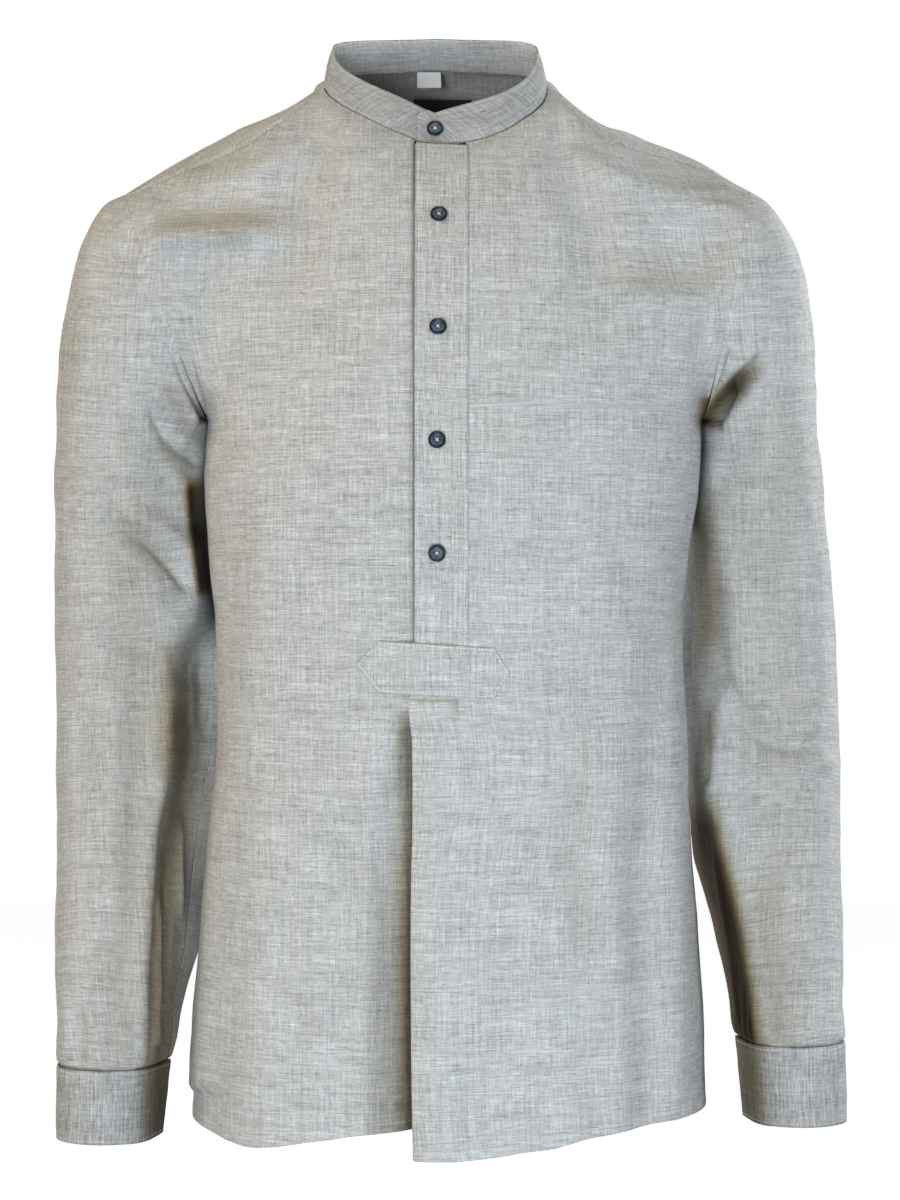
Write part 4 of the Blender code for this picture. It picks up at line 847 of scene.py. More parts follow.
def shares(count, length, first=False, last=False, extra=()):
    """Even shares from 0 to 1, closer together at an end that is rolled in."""
    near = np.array([0.35, 0.8, 1.3, 1.9, 2.8]) / length
    parts = [np.linspace(0, 1, count), np.asarray(extra, float)]
    parts += [near] if first else []
    parts += [1 - near] if last else []
    s = np.unique(np.round(np.concatenate(parts), 7))
    fixed = set(np.round([0.0, 1.0, *extra], 7))
    keep = [s[0]]
    for value in s[1:]:
        if value - keep[-1] > 0.28 / length:
            keep.append(value)
        elif value in fixed:
            keep[-1] = value
    return np.array(keep)


def tucked(grid, outward, edge, reach, depth, over=2.4):
    """A piece's edge pushed on under its neighbour: on by `reach`, in by `depth`, from `over` mm before it."""
    turned = grid if edge[0] == "r" else grid.transpose(1, 0, 2)
    flip = -1 if edge[1] == "1" else 1
    turned = turned[:, ::flip]
    n = (normals(grid, False) * outward) if edge[0] == "r" else (normals(grid, False) * outward).transpose(1, 0, 2)
    n = n[:, ::flip]
    share = np.clip(1 - lengths(turned, 1) / over, 0, 1)[..., None]
    on = turned[:, :1] - turned[:, 3:4]
    on /= np.maximum(np.linalg.norm(on, axis=2, keepdims=True), 1e-9)
    turned = turned + on * reach * share - n * depth * ease(share)
    turned = turned[:, ::flip]
    return turned if edge[0] == "r" else turned.transpose(1, 0, 2)


def lay_flat(grid, column, row):
    """Each point's place on the flat cloth, mm along its weft and its warp."""
    across, down = lengths(grid, 0), lengths(grid, 1)
    return np.stack([across - across[column : column + 1], down - down[:, row : row + 1]], axis=2)


def lay_panel(grid, column, row):
    """The same for a body panel, whose weft lies level: widths leave out the rows' slope, and lengths down are those of
    one column, taken at each point's height."""
    level = grid.copy()
    level[..., 2] = 0.0
    across = lengths(level, 0)
    line = np.concatenate([[0.0], np.cumsum(np.hypot(np.diff(grid[column, :, 1]), np.diff(grid[column, :, 2])))])
    line -= line[row]
    heights = grid[column, :, 2]
    falling = np.concatenate([[True], heights[1:] < np.minimum.accumulate(heights)[:-1]])
    z, along_line = heights[falling][::-1], line[falling][::-1]
    down = np.interp(grid[..., 2], z, along_line)
    down = np.where(grid[..., 2] < z[0], along_line[0] + (z[0] - grid[..., 2]), down)
    down = np.where(grid[..., 2] > z[-1], along_line[-1] - (grid[..., 2] - z[-1]) * 1.3, down)
    return np.stack([across - across[column : column + 1], down], axis=2)


def lay_yoke(grid, column, row):
    """The same for the yoke, which is cut level across and bends over the shoulders."""
    level = grid.copy()
    level[..., 2] = 0.0
    upright = grid.copy()
    upright[..., 0] = 0.0
    across, down = lengths(level, 0), lengths(upright, 1)
    return np.stack([across - across[column : column + 1], down - down[:, row : row + 1]], axis=2)


def lay_sleeve(side, grid, like):
    """The same for a sleeve, whose warp runs along its axis: the line of its rings' middles, straight on at the top.
    like: a row whose ring lies level, which gives the widths round."""
    table = SLEEVE[side][5:]
    z_of = (table[:, 1] + table[:, 3])[::-1] / 2
    x_of, y_of = (table[:, 0] + table[:, 2])[::-1] / 2, table[:, 4][::-1]
    z = grid[..., 2].ravel()
    at = smooth_table(z_of, np.stack([x_of, y_of], axis=1), z)
    lean = (smooth_table(z_of, np.stack([x_of, y_of], axis=1), z - 12.0) - smooth_table(z_of, np.stack([x_of, y_of], axis=1), z + 12.0)) / 24.0
    top = z > z_of[-1]
    lean[top] = (0.06 * sign(side), 0.10)
    at[top] = at[top] - lean[top] * (z[top] - z_of[-1])[:, None]
    at, lean = at.reshape(*grid.shape[:2], 2), lean.reshape(*grid.shape[:2], 2)
    off = grid[..., :2] - at
    down = -grid[..., 2] + (off * lean).sum(axis=-1)
    # degrees round the axis, 0 outside, 90 in front
    turn = np.degrees(np.unwrap(np.arctan2(-off[..., 1], off[..., 0] * sign(side)), axis=0))
    turn -= 360.0 * np.round((turn[grid.shape[0] // 2 : grid.shape[0] // 2 + 1] - 0.0) / 360.0)
    ring = np.concatenate([[0.0], np.cumsum(np.linalg.norm(np.diff(grid[:, like, :], axis=0), axis=1))])
    order = np.argsort(turn[:, like])
    at_turn, at_ring = turn[order, like], ring[order]
    if at_ring[0] > at_ring[-1]:
        at_ring = ring[-1] - at_ring
    at_turn = np.concatenate([at_turn[:-1] - 360.0, at_turn, at_turn[1:] + 360.0])
    at_ring = np.concatenate([at_ring[:-1] - ring[-1], at_ring, at_ring[1:] + ring[-1]])
    around = np.interp(turn, at_turn, at_ring) - np.interp(0.0, at_turn, at_ring)
    size = lengths(grid, 0)[-1] / ring[-1]
    levels = np.where(np.arange(grid.shape[1]) < like, 1.0, size)
    middle = grid.shape[0] // 2
    order = np.argsort(down[middle])
    scale = np.interp(down, down[middle][order], levels[order])
    return np.stack([around * scale, down], axis=2)


def shell(name, grid, thick, outward, flat, made_of, holes=None, deep=None, inside=None):
    """A thin closed wall round a grid, with its flat cloth as the UV map. deep: painted shade, how far the cloth's
    colour is made darker and browner as in the shade inside its folds, from 0 to 1."""
    n = normals(grid, False) * outward
    columns, rows = grid.shape[:2]
    count = columns * rows
    points = np.concatenate([(grid + n * thick / 2).reshape(-1, 3), (grid - n * thick / 2).reshape(-1, 3)]) / 1000.0
    solid = np.ones((columns - 1, rows - 1), bool)
    if holes is not None:
        solid &= ~holes
    index = np.arange(count).reshape(columns, rows)
    a, b, d, e = index[:-1, :-1], index[1:, :-1], index[1:, 1:], index[:-1, 1:]
    top = np.stack([a, b, d, e], axis=2)[solid]
    faces = [top, top[:, ::-1] + count]
    ring = np.pad(solid, 1)
    for p, q, beyond in ((a, b, ring[1:-1, :-2]), (d, e, ring[1:-1, 2:]), (e, a, ring[:-2, 1:-1]), (b, d, ring[2:, 1:-1])):
        edge = solid & ~beyond
        faces.append(np.stack([q[edge], p[edge], p[edge] + count, q[edge] + count], axis=1))
    faces = np.concatenate(faces)
    if outward < 0:
        faces = faces[:, ::-1]
    used, faces_new = np.unique(faces, return_inverse=True)
    faces_new = faces_new.reshape(faces.shape)
    mesh = bpy.data.meshes.new(name)
    mesh.from_pydata(points[used].tolist(), [], faces_new.tolist())
    uv = mesh.uv_layers.new(name="Cloth")
    uv.data.foreach_set("uv", (flat.reshape(-1, 2)[faces % count].reshape(-1, 2) / 100.0).astype(np.float32).ravel())
    if deep is not None:
        values = np.clip(np.broadcast_to(deep, grid.shape[:2]), 0.0, 1.0).ravel()
        layer = mesh.attributes.new("deep", "FLOAT", "POINT")
        layer.data.foreach_set("value", np.concatenate([values, values])[used].astype(np.float32))
    mesh.shade_smooth()
    obj = bpy.data.objects.new(name, mesh)
    bpy.context.scene.collection.objects.link(obj)
    mesh.materials.append(made_of)
    if inside is not None:
        mesh.materials.append(inside)
        slots = np.zeros(len(mesh.polygons), np.int32)
        slots[len(top) : 2 * len(top)] = 1
        mesh.polygons.foreach_set("material_index", slots)
    return obj


def plain_mesh(name, points, faces, made_of, smooth=True):
    mesh = bpy.data.meshes.new(name)
    mesh.from_pydata((np.asarray(points) / 1000.0).tolist(), [], [list(map(int, f)) for f in faces])
    if smooth:
        mesh.shade_smooth()
    obj = bpy.data.objects.new(name, mesh)
    bpy.context.scene.collection.objects.link(obj)
    mesh.materials.append(made_of)
    return obj


# ---------------------------------------------------------------- thread
def on_grid(grid, outward, columns, rows, thick):
    """Points on a piece's outer face at these fractional columns and rows, and the directions out of it."""
    n = normals(grid, False) * outward
    columns = np.clip(np.asarray(columns, float), 0, grid.shape[0] - 1.001)
    rows = np.clip(np.asarray(rows, float), 0, grid.shape[1] - 1.001)
    i, j = columns.astype(int), rows.astype(int)
    f, g = (columns - i)[:, None], (rows - j)[:, None]

    def at(a):
        return (a[i, j] * (1 - f) + a[i + 1, j] * f) * (1 - g) + (a[i, j + 1] * (1 - f) + a[i + 1, j + 1] * f) * g

    out = at(n)
    out /= np.linalg.norm(out, axis=1, keepdims=True)
    return at(grid) + out * thick / 2, out


def inset_rows(grid, from_last, distance):
    """At each column, the fractional row that lies this far in from the last or first row."""
    down = lengths(grid, 1)
    out = []
    for line in down:
        at = line[-1] - distance if from_last else distance
        out.append(np.interp(at, line, np.arange(len(line))))
    return np.array(out)


def inset_columns(grid, from_last, distance):
    return inset_rows(grid.transpose(1, 0, 2), from_last, distance)


def stitch_row(points, out, length=2.3, gap=0.75, seed=1):
    """Stitches along a line of points: their middles, directions and outward directions."""
    step = np.linalg.norm(np.diff(points, axis=0), axis=1)
    s = np.concatenate([[0.0], np.cumsum(step)])
    rng = np.random.default_rng(seed)
    count = max(1, int(s[-1] / (length + gap)))
    at = (np.arange(count) + 0.5) * s[-1] / count + rng.uniform(-0.12, 0.12, count)
    middle = np.stack([np.interp(at, s, points[:, k]) for k in range(3)], axis=1)
    ahead = np.stack([np.interp(at + 0.6, s, points[:, k]) for k in range(3)], axis=1)
    behind = np.stack([np.interp(at - 0.6, s, points[:, k]) for k in range(3)], axis=1)
    way = ahead - behind
    way /= np.maximum(np.linalg.norm(way, axis=1, keepdims=True), 1e-9)
    up = np.stack([np.interp(at, s, out[:, k]) for k in range(3)], axis=1)
    return [(m, w, u, length) for m, w, u in zip(middle, way, up)]


def thread(name, bits, made_of, radius=0.24, parent=None):
    """Short bits of thread that dip into the cloth at their ends, as one mesh. A bit: middle, way, up, length."""
    sides = 6
    s = np.array([-0.5, -0.42, -0.2, 0.2, 0.42, 0.5])
    girth = np.array([0.35, 0.8, 1.0, 1.0, 0.8, 0.35])
    lift = np.array([-0.34, -0.12, 0.10, 0.10, -0.12, -0.34])
    middle, way, up = (np.array([b[k] for b in bits]) for k in range(3))
    long = np.array([b[3] for b in bits])
    side = np.cross(up, way)
    side /= np.maximum(np.linalg.norm(side, axis=1, keepdims=True), 1e-9)
    up = np.cross(way, side)
    a = 2 * np.pi * np.arange(sides) / sides
    ring = np.cos(a)[None, :, None] * side[:, None, None, :] + np.sin(a)[None, :, None] * up[:, None, None, :]
    points = (
        middle[:, None, None, :]
        + way[:, None, None, :] * (s[None, :, None, None] * long[:, None, None, None])
        + up[:, None, None, :] * (lift[None, :, None, None] * np.minimum(1.0, radius / 0.24) + radius * 0.25)
        + ring * (girth[None, :, None, None] * radius)
    )
    count = len(s) * sides
    faces = []
    for r in range(len(s) - 1):
        for k in range(sides):
            m = (k + 1) % sides
            faces.append([r * sides + k, r * sides + m, (r + 1) * sides + m, (r + 1) * sides + k])
    faces = np.array(faces)
    all_faces = (faces[None] + (np.arange(len(bits)) * count)[:, None, None]).reshape(-1, 4)
    caps = []
    for b in range(len(bits)):
        caps.append([b * count + k for k in range(sides)][::-1])
        caps.append([b * count + count - sides + k for k in range(sides)])
    mesh = bpy.data.meshes.new(name)
    mesh.from_pydata((points.reshape(-1, 3) / 1000.0).tolist(), [], all_faces.tolist() + caps)
    mesh.shade_smooth()
    obj = bpy.data.objects.new(name, mesh)
    bpy.context.scene.collection.objects.link(obj)
    mesh.materials.append(made_of)
    if parent is not None:
        obj.parent = parent
    return obj


# ================================================================ materials
class Graph:
    """A material's nodes, made in one call each."""

    def __init__(self, name):
        self.material = bpy.data.materials.new(name)
        self.material.use_nodes = True
        self.tree = self.material.node_tree
        self.tree.nodes.clear()
        self.shader = self.tree.nodes.new("ShaderNodeBsdfPrincipled")
        self.out = self.tree.nodes.new("ShaderNodeOutputMaterial")
        self.link(self.shader.outputs[0], self.out.inputs[0])

    def link(self, a, b):
        self.tree.links.new(a, b)

    def node(self, kind, inputs=None, **settings):
        made = self.tree.nodes.new("ShaderNode" + kind)
        for key, value in settings.items():
            setattr(made, key, value)
        for key, value in (inputs or {}).items():
            socket = made.inputs[key]
            if isinstance(value, bpy.types.NodeSocket):
                self.link(value, socket)
            else:
                socket.default_value = value
        return made

    def math(self, operation, a, b=0.0, c=0.0, clamp=False):
        return self.node("Math", {0: a, 1: b, 2: c}, operation=operation, use_clamp=clamp).outputs[0]

    def noise(self, vector, scale, detail=2.0, rough=0.5, size=(1.0, 1.0, 1.0), at=(0.0, 0.0, 0.0), turn=0.0):
        """Noise whose hills are about `scale` times 1 / size apart."""
        placed = self.node("Mapping", {"Vector": vector, "Location": at, "Rotation": (0.0, 0.0, turn), "Scale": size})
        return self.node("TexNoise", {"Vector": placed.outputs[0], "Scale": scale, "Detail": detail, "Roughness": rough}).outputs[0]

    def above(self, value, low, high):
        """0 below low, 1 above high."""
        return self.node("MapRange", {"Value": value, "From Min": low, "From Max": high}, interpolation_type="SMOOTHSTEP").outputs[0]


def linen(name, dark, light, weft=1.0, warp=1.0, slub=1.0, fleck=1.0, cloud=1.0, seed=0.0, contrast=1.0, crumple=1.0):
    """Slubbed linen chambray. The UV map is flat cloth, 1 unit to 100 mm: X along the weft, Y along the warp."""
    g = Graph(name)
    uv = g.node("UVMap", uv_map="Cloth").outputs[0]

    def streaks(thin, long, at, along_x, detail=2.0, rough=0.55):
        size = (100.0 / long, 100.0 / thin, 1.0) if along_x else (100.0 / thin, 100.0 / long, 1.0)
        return g.noise(uv, 1.0, detail, rough, size=size, at=(at + seed, at * 1.7 + seed, 0.0))

    fine_weft = streaks(0.75, 9.0, 3.1, True, 3.0, 0.6)
    long_weft = streaks(1.25, 34.0, 11.7, True, 2.0)
    fine_warp = streaks(0.75, 11.0, 23.9, False, 3.0, 0.6)
    long_warp = streaks(1.5, 60.0, 37.3, False, 2.0)
    slubs = streaks(0.95, 11.0, 51.1, True, 1.0)
    slubs_light = streaks(1.0, 16.0, 71.9, True, 1.0)
    flecks = streaks(0.9, 2.4, 91.3, True, 0.0)
    clouds = g.noise(uv, 1.0, 3.0, 0.55, size=(100.0 / 30.0, 100.0 / 17.0, 1.0), at=(5.5 + seed, 9.1, 0.0))
    bands = streaks(5.0, 90.0, 113.0, True, 2.0)

    def part(value, weight):
        return g.math("MULTIPLY", g.math("SUBTRACT", value, 0.5), weight * contrast * 0.85)

    tone = g.math("ADD", part(fine_weft, 0.90 * weft), part(fine_warp, 0.80 * warp))
    tone = g.math("ADD", tone, part(long_weft, 0.74 * weft))
    tone = g.math("ADD", tone, part(long_warp, 0.55 * warp))
    tone = g.math("ADD", tone, part(clouds, 0.26 * cloud))
    tone = g.math("ADD", tone, part(bands, 0.30 * cloud))
    tone = g.math("ADD", tone, g.math("MULTIPLY", g.above(slubs_light, 0.64, 0.76), 0.22 * slub))
    tone = g.math("SUBTRACT", tone, g.math("MULTIPLY", g.above(slubs, 0.665, 0.78), 0.34 * slub))
    tone = g.math("ADD", tone, 0.5)
    cloth = g.node("ValToRGB", {"Fac": tone})
    ramp = cloth.color_ramp
    ramp.elements[0].position, ramp.elements[0].color = 0.0, (*dark, 1.0)
    ramp.elements[1].position, ramp.elements[1].color = 1.0, (*light, 1.0)
    # a few brown and near-black fibres spun in
    spots = g.math("MULTIPLY", g.above(flecks, 0.715, 0.80), 0.42 * fleck)
    spotted = g.node("Mix", {0: spots, 6: cloth.outputs[0], 7: (0.10, 0.085, 0.065, 1.0)}, data_type="RGBA")
    # the threads aren't all of one dye: a slight drift between green, violet and cream
    tints = g.node("Mapping", {"Vector": uv, "Scale": (100.0 / 2.6, 100.0 / 4.5, 1.0), "Location": (seed, 3.3, 0.0)})
    tint = g.node("TexNoise", {"Vector": tints.outputs[0], "Scale": 1.0, "Detail": 2.0}).outputs[1]
    tinted = g.node("Mix", {0: 0.10, 6: spotted.outputs[2], 7: tint}, data_type="RGBA", blend_type="OVERLAY")
    # painted shade: the "deep" attribute makes the colour browner and darker inside the folds and gaps, where shade
    # falls
    left = g.math("SUBTRACT", 1.0, g.math("MULTIPLY", g.node("Attribute", attribute_name="deep").outputs["Fac"], 0.96))
    shade = g.node("CombineColor", {0: g.math("POWER", left, 0.8), 1: left, 2: g.math("POWER", left, 1.4)})
    with_painted_shade = g.node("Mix", {0: 1.0, 6: tinted.outputs[2], 7: shade.outputs[0]}, data_type="RGBA", blend_type="MULTIPLY")
    g.link(with_painted_shade.outputs[2], g.shader.inputs["Base Color"])
    g.shader.inputs["Roughness"].default_value = 0.86
    g.shader.inputs["Specular IOR Level"].default_value = 0.18
    g.shader.inputs["Sheen Weight"].default_value = 0.10
    g.shader.inputs["Sheen Roughness"].default_value = 0.5
    # relief: threads of the plain weave, slubs, and a soft crumple
    over = g.node("TexWave", {"Vector": uv, "Scale": 100.0 / 0.55 / 6.2832 * 3.1416, "Distortion": 1.2, "Detail": 1.0}, bands_direction="X")
    under = g.node("TexWave", {"Vector": uv, "Scale": 100.0 / 0.62 / 6.2832 * 3.1416, "Distortion": 1.2, "Detail": 1.0}, bands_direction="Y")
    weave = g.math("MULTIPLY", over.outputs["Fac"], under.outputs["Fac"])
    height = g.math("ADD", g.math("MULTIPLY", fine_weft, 0.5), g.math("MULTIPLY", fine_warp, 0.35))
    height = g.math("ADD", height, g.math("MULTIPLY", weave, 0.10))
    height = g.math("ADD", height, g.math("MULTIPLY", g.above(slubs_light, 0.6, 0.8), 0.4))
    threads = g.node("Bump", {"Strength": 0.55, "Distance": 0.00022, "Height": height})
    small = g.noise(uv, 1.0, 3.0, 0.5, size=(100.0 / 14.0, 100.0 / 10.0, 1.0), at=(17.0 + seed, 2.0, 0.0))
    crumpled = g.node("Bump", {"Strength": 0.35 * crumple, "Distance": 0.0016, "Height": small, "Normal": threads.outputs[0]})
    g.link(crumpled.outputs[0], g.shader.inputs["Normal"])
    return g.material


def thread_cotton(name, colour):
    g = Graph(name)
    at = g.node("TexCoord").outputs["Object"]
    fibres = g.noise(at, 1900.0, 2.0)
    shade = g.node("Mix", {0: fibres, 6: (*[c * 0.72 for c in colour], 1.0), 7: (*[min(1.0, c * 1.22) for c in colour], 1.0)}, data_type="RGBA")
    g.link(shade.outputs[2], g.shader.inputs["Base Color"])
    g.shader.inputs["Roughness"].default_value = 0.7
    g.shader.inputs["Specular IOR Level"].default_value = 0.3
    return g.material


def horn_navy():
    """Near-black navy, marbled blue-grey inside the rim. The button's own axis is Z."""
    g = Graph("horn_navy")
    at = g.node("TexCoord").outputs["Object"]
    apart = g.node("SeparateXYZ", {0: at})
    radius = g.math("SQRT", g.math("ADD", g.math("POWER", apart.outputs[0], 2.0), g.math("POWER", apart.outputs[1], 2.0)))
    inner = g.math("SUBTRACT", 1.0, g.above(radius, 0.00405, 0.00465))
    marble = g.noise(at, 620.0, 4.0, 0.6)
    veins = g.node("ValToRGB", {"Fac": marble})
    veins.color_ramp.elements[0].position, veins.color_ramp.elements[0].color = 0.36, (0.014, 0.028, 0.046, 1.0)
    veins.color_ramp.elements[1].position, veins.color_ramp.elements[1].color = 0.66, (0.17, 0.23, 0.29, 1.0)
    between = veins.color_ramp.elements.new(0.5)
    between.color = (0.055, 0.085, 0.12, 1.0)
    rim = g.node("Mix", {0: g.noise(at, 300.0, 2.0), 6: (0.004, 0.007, 0.014, 1.0), 7: (0.014, 0.022, 0.036, 1.0)}, data_type="RGBA")
    colour = g.node("Mix", {0: inner, 6: rim.outputs[2], 7: veins.outputs[0]}, data_type="RGBA")
    g.link(colour.outputs[2], g.shader.inputs["Base Color"])
    g.link(g.math("ADD", g.math("MULTIPLY", marble, 0.22), 0.20), g.shader.inputs["Roughness"])
    g.shader.inputs["Specular IOR Level"].default_value = 0.5
    scratch = g.node("Bump", {"Strength": 0.15, "Distance": 0.00006, "Height": g.noise(at, 900.0, 3.0)})
    g.link(scratch.outputs[0], g.shader.inputs["Normal"])
    return g.material


def tape(name, ground, edge, edge_from, edge_to, sheen=0.2):
    """Woven tape, with a band of another colour between two heights on its UV map."""
    g = Graph(name)
    uv = g.node("UVMap", uv_map="Cloth").outputs[0]
    apart = g.node("SeparateXYZ", {0: uv})
    y = apart.outputs[1]
    band = g.math("MULTIPLY", g.above(y, edge_from, edge_from + 0.004), g.math("SUBTRACT", 1.0, g.above(y, edge_to, edge_to + 0.004)))
    weave = g.noise(uv, 1.0, 2.0, 0.5, size=(100.0 / 0.6, 100.0 / 0.35, 1.0))
    low = g.node("Mix", {0: weave, 6: (*[c * 0.75 for c in ground], 1.0), 7: (*[min(1.0, c * 1.2) for c in ground], 1.0)}, data_type="RGBA")
    high = g.node("Mix", {0: weave, 6: (*[c * 0.8 for c in edge], 1.0), 7: (*[min(1.0, c * 1.12) for c in edge], 1.0)}, data_type="RGBA")
    colour = g.node("Mix", {0: band, 6: low.outputs[2], 7: high.outputs[2]}, data_type="RGBA")
    g.link(colour.outputs[2], g.shader.inputs["Base Color"])
    g.shader.inputs["Roughness"].default_value = 0.55
    g.shader.inputs["Sheen Weight"].default_value = sheen
    relief = g.node("Bump", {"Strength": 0.4, "Distance": 0.0001, "Height": weave})
    g.link(relief.outputs[0], g.shader.inputs["Normal"])
    return g.material


# ================================================================ creases, in the picture's coordinates
# path, reach to its left going down (or below it going right), reach to its other side, height mm, rise, fall
CREASES_FRONT = [
    # wearer's right chest: two soft steps that hang from the armhole, facing up above each crest
    ([(150, 197), (220, 190), (300, 186)], 20, 13, -3.4, 0.05, 0.4),
    ([(138, 248), (200, 242), (262, 238), (318, 240)], 9, 18, 11.5, 0.04, 0.45),
    ([(168, 203), (230, 181), (290, 155), (335, 128)], 15, 11, 4.2, 0.15, 0.3),
    ([(200, 300), (232, 360), (250, 430)], 16, 16, 1.6, 0.3, 0.4),
    ([(160, 262), (178, 300), (196, 350), (214, 404)], 7, 13, 4.4, 0.15, 0.2),
    ([(300, 330), (350, 324), (402, 330)], 14, 16, -1.2, 0.3, 0.3),
    # gathers where the slit meets the collar
    ([(404, 142), (400, 158), (408, 178), (411, 200)], 3.5, 5, -1.8, 0.15, 0.5),
    ([(396, 140), (388, 158), (392, 182)], 5, 5, 1.2, 0.2, 0.5),
    ([(386, 142), (374, 168), (380, 204)], 6, 7, -1.0, 0.3, 0.5),
    ([(372, 136), (352, 170), (340, 220)], 9, 9, 1.1, 0.3, 0.5),
    # wearer's left chest: a step under the yoke, small creases at the armhole, a lower step
    ([(556, 146), (620, 180), (684, 201), (742, 214)], 12, 12, 5.6, 0.15, 0.02),
    ([(748, 196), (722, 203), (694, 200), (668, 206)], 3, 4, -1.6, 0.02, 0.6),
    ([(690, 190), (720, 194), (744, 186)], 3, 3, 1.4, 0.3, 0.02),
    ([(748, 212), (720, 217), (690, 214)], 4, 4, -1.2, 0.02, 0.6),
    ([(560, 204), (620, 236), (680, 244), (735, 240)], 20, 17, -3.0, 0.3, 0.05),
    ([(585, 280), (640, 300), (690, 304), (734, 300)], 9, 23, 7.2, 0.35, 0.03),
    ([(520, 150), (540, 190), (560, 240), (570, 300)], 14, 22, 1.6, 0.3, 0.4),
    # drag lines from the armpits
    ([(206, 420), (240, 452), (300, 476)], 9, 12, -1.6, 0.02, 0.7),
    ([(703, 420), (672, 452), (632, 470)], 10, 9, -1.6, 0.02, 0.7),
    ([(700, 330), (684, 370), (660, 410)], 12, 12, 1.4, 0.1, 0.5),
    # wearer's right side: the line where the cloth turns back
    ([(284, 400), (276, 480), (268, 560), (260, 640), (246, 730), (232, 820), (219, 910), (208, 1000), (203, 1088)], 20, 30, 5.2, 0.25, 0.0),
    ([(300, 760), (290, 860), (284, 960), (278, 1140)], 14, 18, -2.0, 0.3, 0.0),
    # beside the pleat
    ([(352, 720), (346, 800), (340, 900), (336, 1010), (332, 1150)], 26, 20, 4.2, 0.25, 0.0),
    # the folds that the tab lets go
    ([(455, 700), (456, 712), (459, 736)], 2.8, 4.5, -2.6, 0.02, 0.7),
    ([(449, 703), (449, 730), (452, 790)], 7, 6, 1.3, 0.1, 0.7),
    ([(497, 700), (500, 725), (503, 770)], 8, 10, -1.2, 0.05, 0.7),
    ([(424, 704), (426, 760), (428, 900), (430, 1150)], 9, 20, 1.6, 0.1, 0.0),
    # wearer's left side: long soft folds to the hem
    ([(566, 430), (562, 520), (560, 610)], 10, 14, -2.0, 0.35, 0.35),
    ([(546, 470), (538, 560), (536, 640), (538, 740), (538, 850), (540, 960), (546, 1060), (552, 1160)], 24, 13, 3.6, 0.35, 0.0),
    ([(600, 640), (588, 700), (576, 760), (574, 830), (576, 900), (580, 980), (585, 1060), (588, 1150)], 17, 20, -4.2, 0.25, 0.0),
    ([(612, 720), (608, 800), (612, 900), (618, 1000), (624, 1140)], 14, 16, 2.6, 0.25, 0.0),
    ([(640, 560), (652, 660), (650, 760), (648, 860), (650, 990), (655, 1128)], 13, 15, -2.4, 0.3, 0.0),
    ([(672, 600), (674, 720), (676, 860), (680, 1100)], 12, 12, 2.4, 0.3, 0.0),
    ([(484, 820), (478, 920), (476, 1040), (474, 1160)], 16, 16, -1.4, 0.4, 0.0),
    # ripples at the hem
    ([(232, 1080), (226, 1140)], 10, 12, 1.3, 0.3, 0.0),
    ([(300, 1060), (296, 1142)], 12, 12, -1.3, 0.3, 0.0),
    ([(505, 1080), (508, 1158)], 9, 9, 1.2, 0.3, 0.0),
]
# painted shade: where the cloth's colour is made darker and browner, as shade would fall, inside its folds, in the gaps
# by the body, under edges and lightly over broad stretches of the sleeves: the last number before rise is 0 to 1
PAINTED_SHADE_FRONT = [
    ([(146, 228), (200, 224), (262, 222), (322, 226)], 15, 14, 0.21, 0.25, 0.5),
    ([(706, 392), (703, 412), (700, 436)], 7, 12, 0.6, 0.2, 0.3),
    ([(150, 188), (190, 176), (240, 160), (300, 142)], 9, 12, 0.08, 0.2, 0.4),
    ([(585, 272), (640, 284), (690, 286), (738, 284)], 14, 15, 0.12, 0.5, 0.2),
    ([(690, 198), (720, 202), (744, 204)], 5, 5, 0.14, 0.5, 0.05),
    ([(455, 699), (456, 712), (458, 732)], 2.4, 2.4, 0.24, 0.02, 0.8),
    ([(409, 700.2), (430, 700.6), (454, 701.2)], 1.6, 1.6, 0.34, 0.02, 0.02),
    ([(600, 660), (589, 720), (578, 800), (576, 900), (582, 1000)], 12, 13, 0.10, 0.3, 0.2),
]
PAINTED_SHADE_UNDER = [
    ([(410, 702), (411, 760), (412, 900), (414, 1020), (415, 1165)], 13, 8, 0.42, 0.04, 0.0),
    ([(408, 800), (409, 900), (411, 1020), (413, 1165)], 32, 8, 0.32, 0.5, 0.0),
]
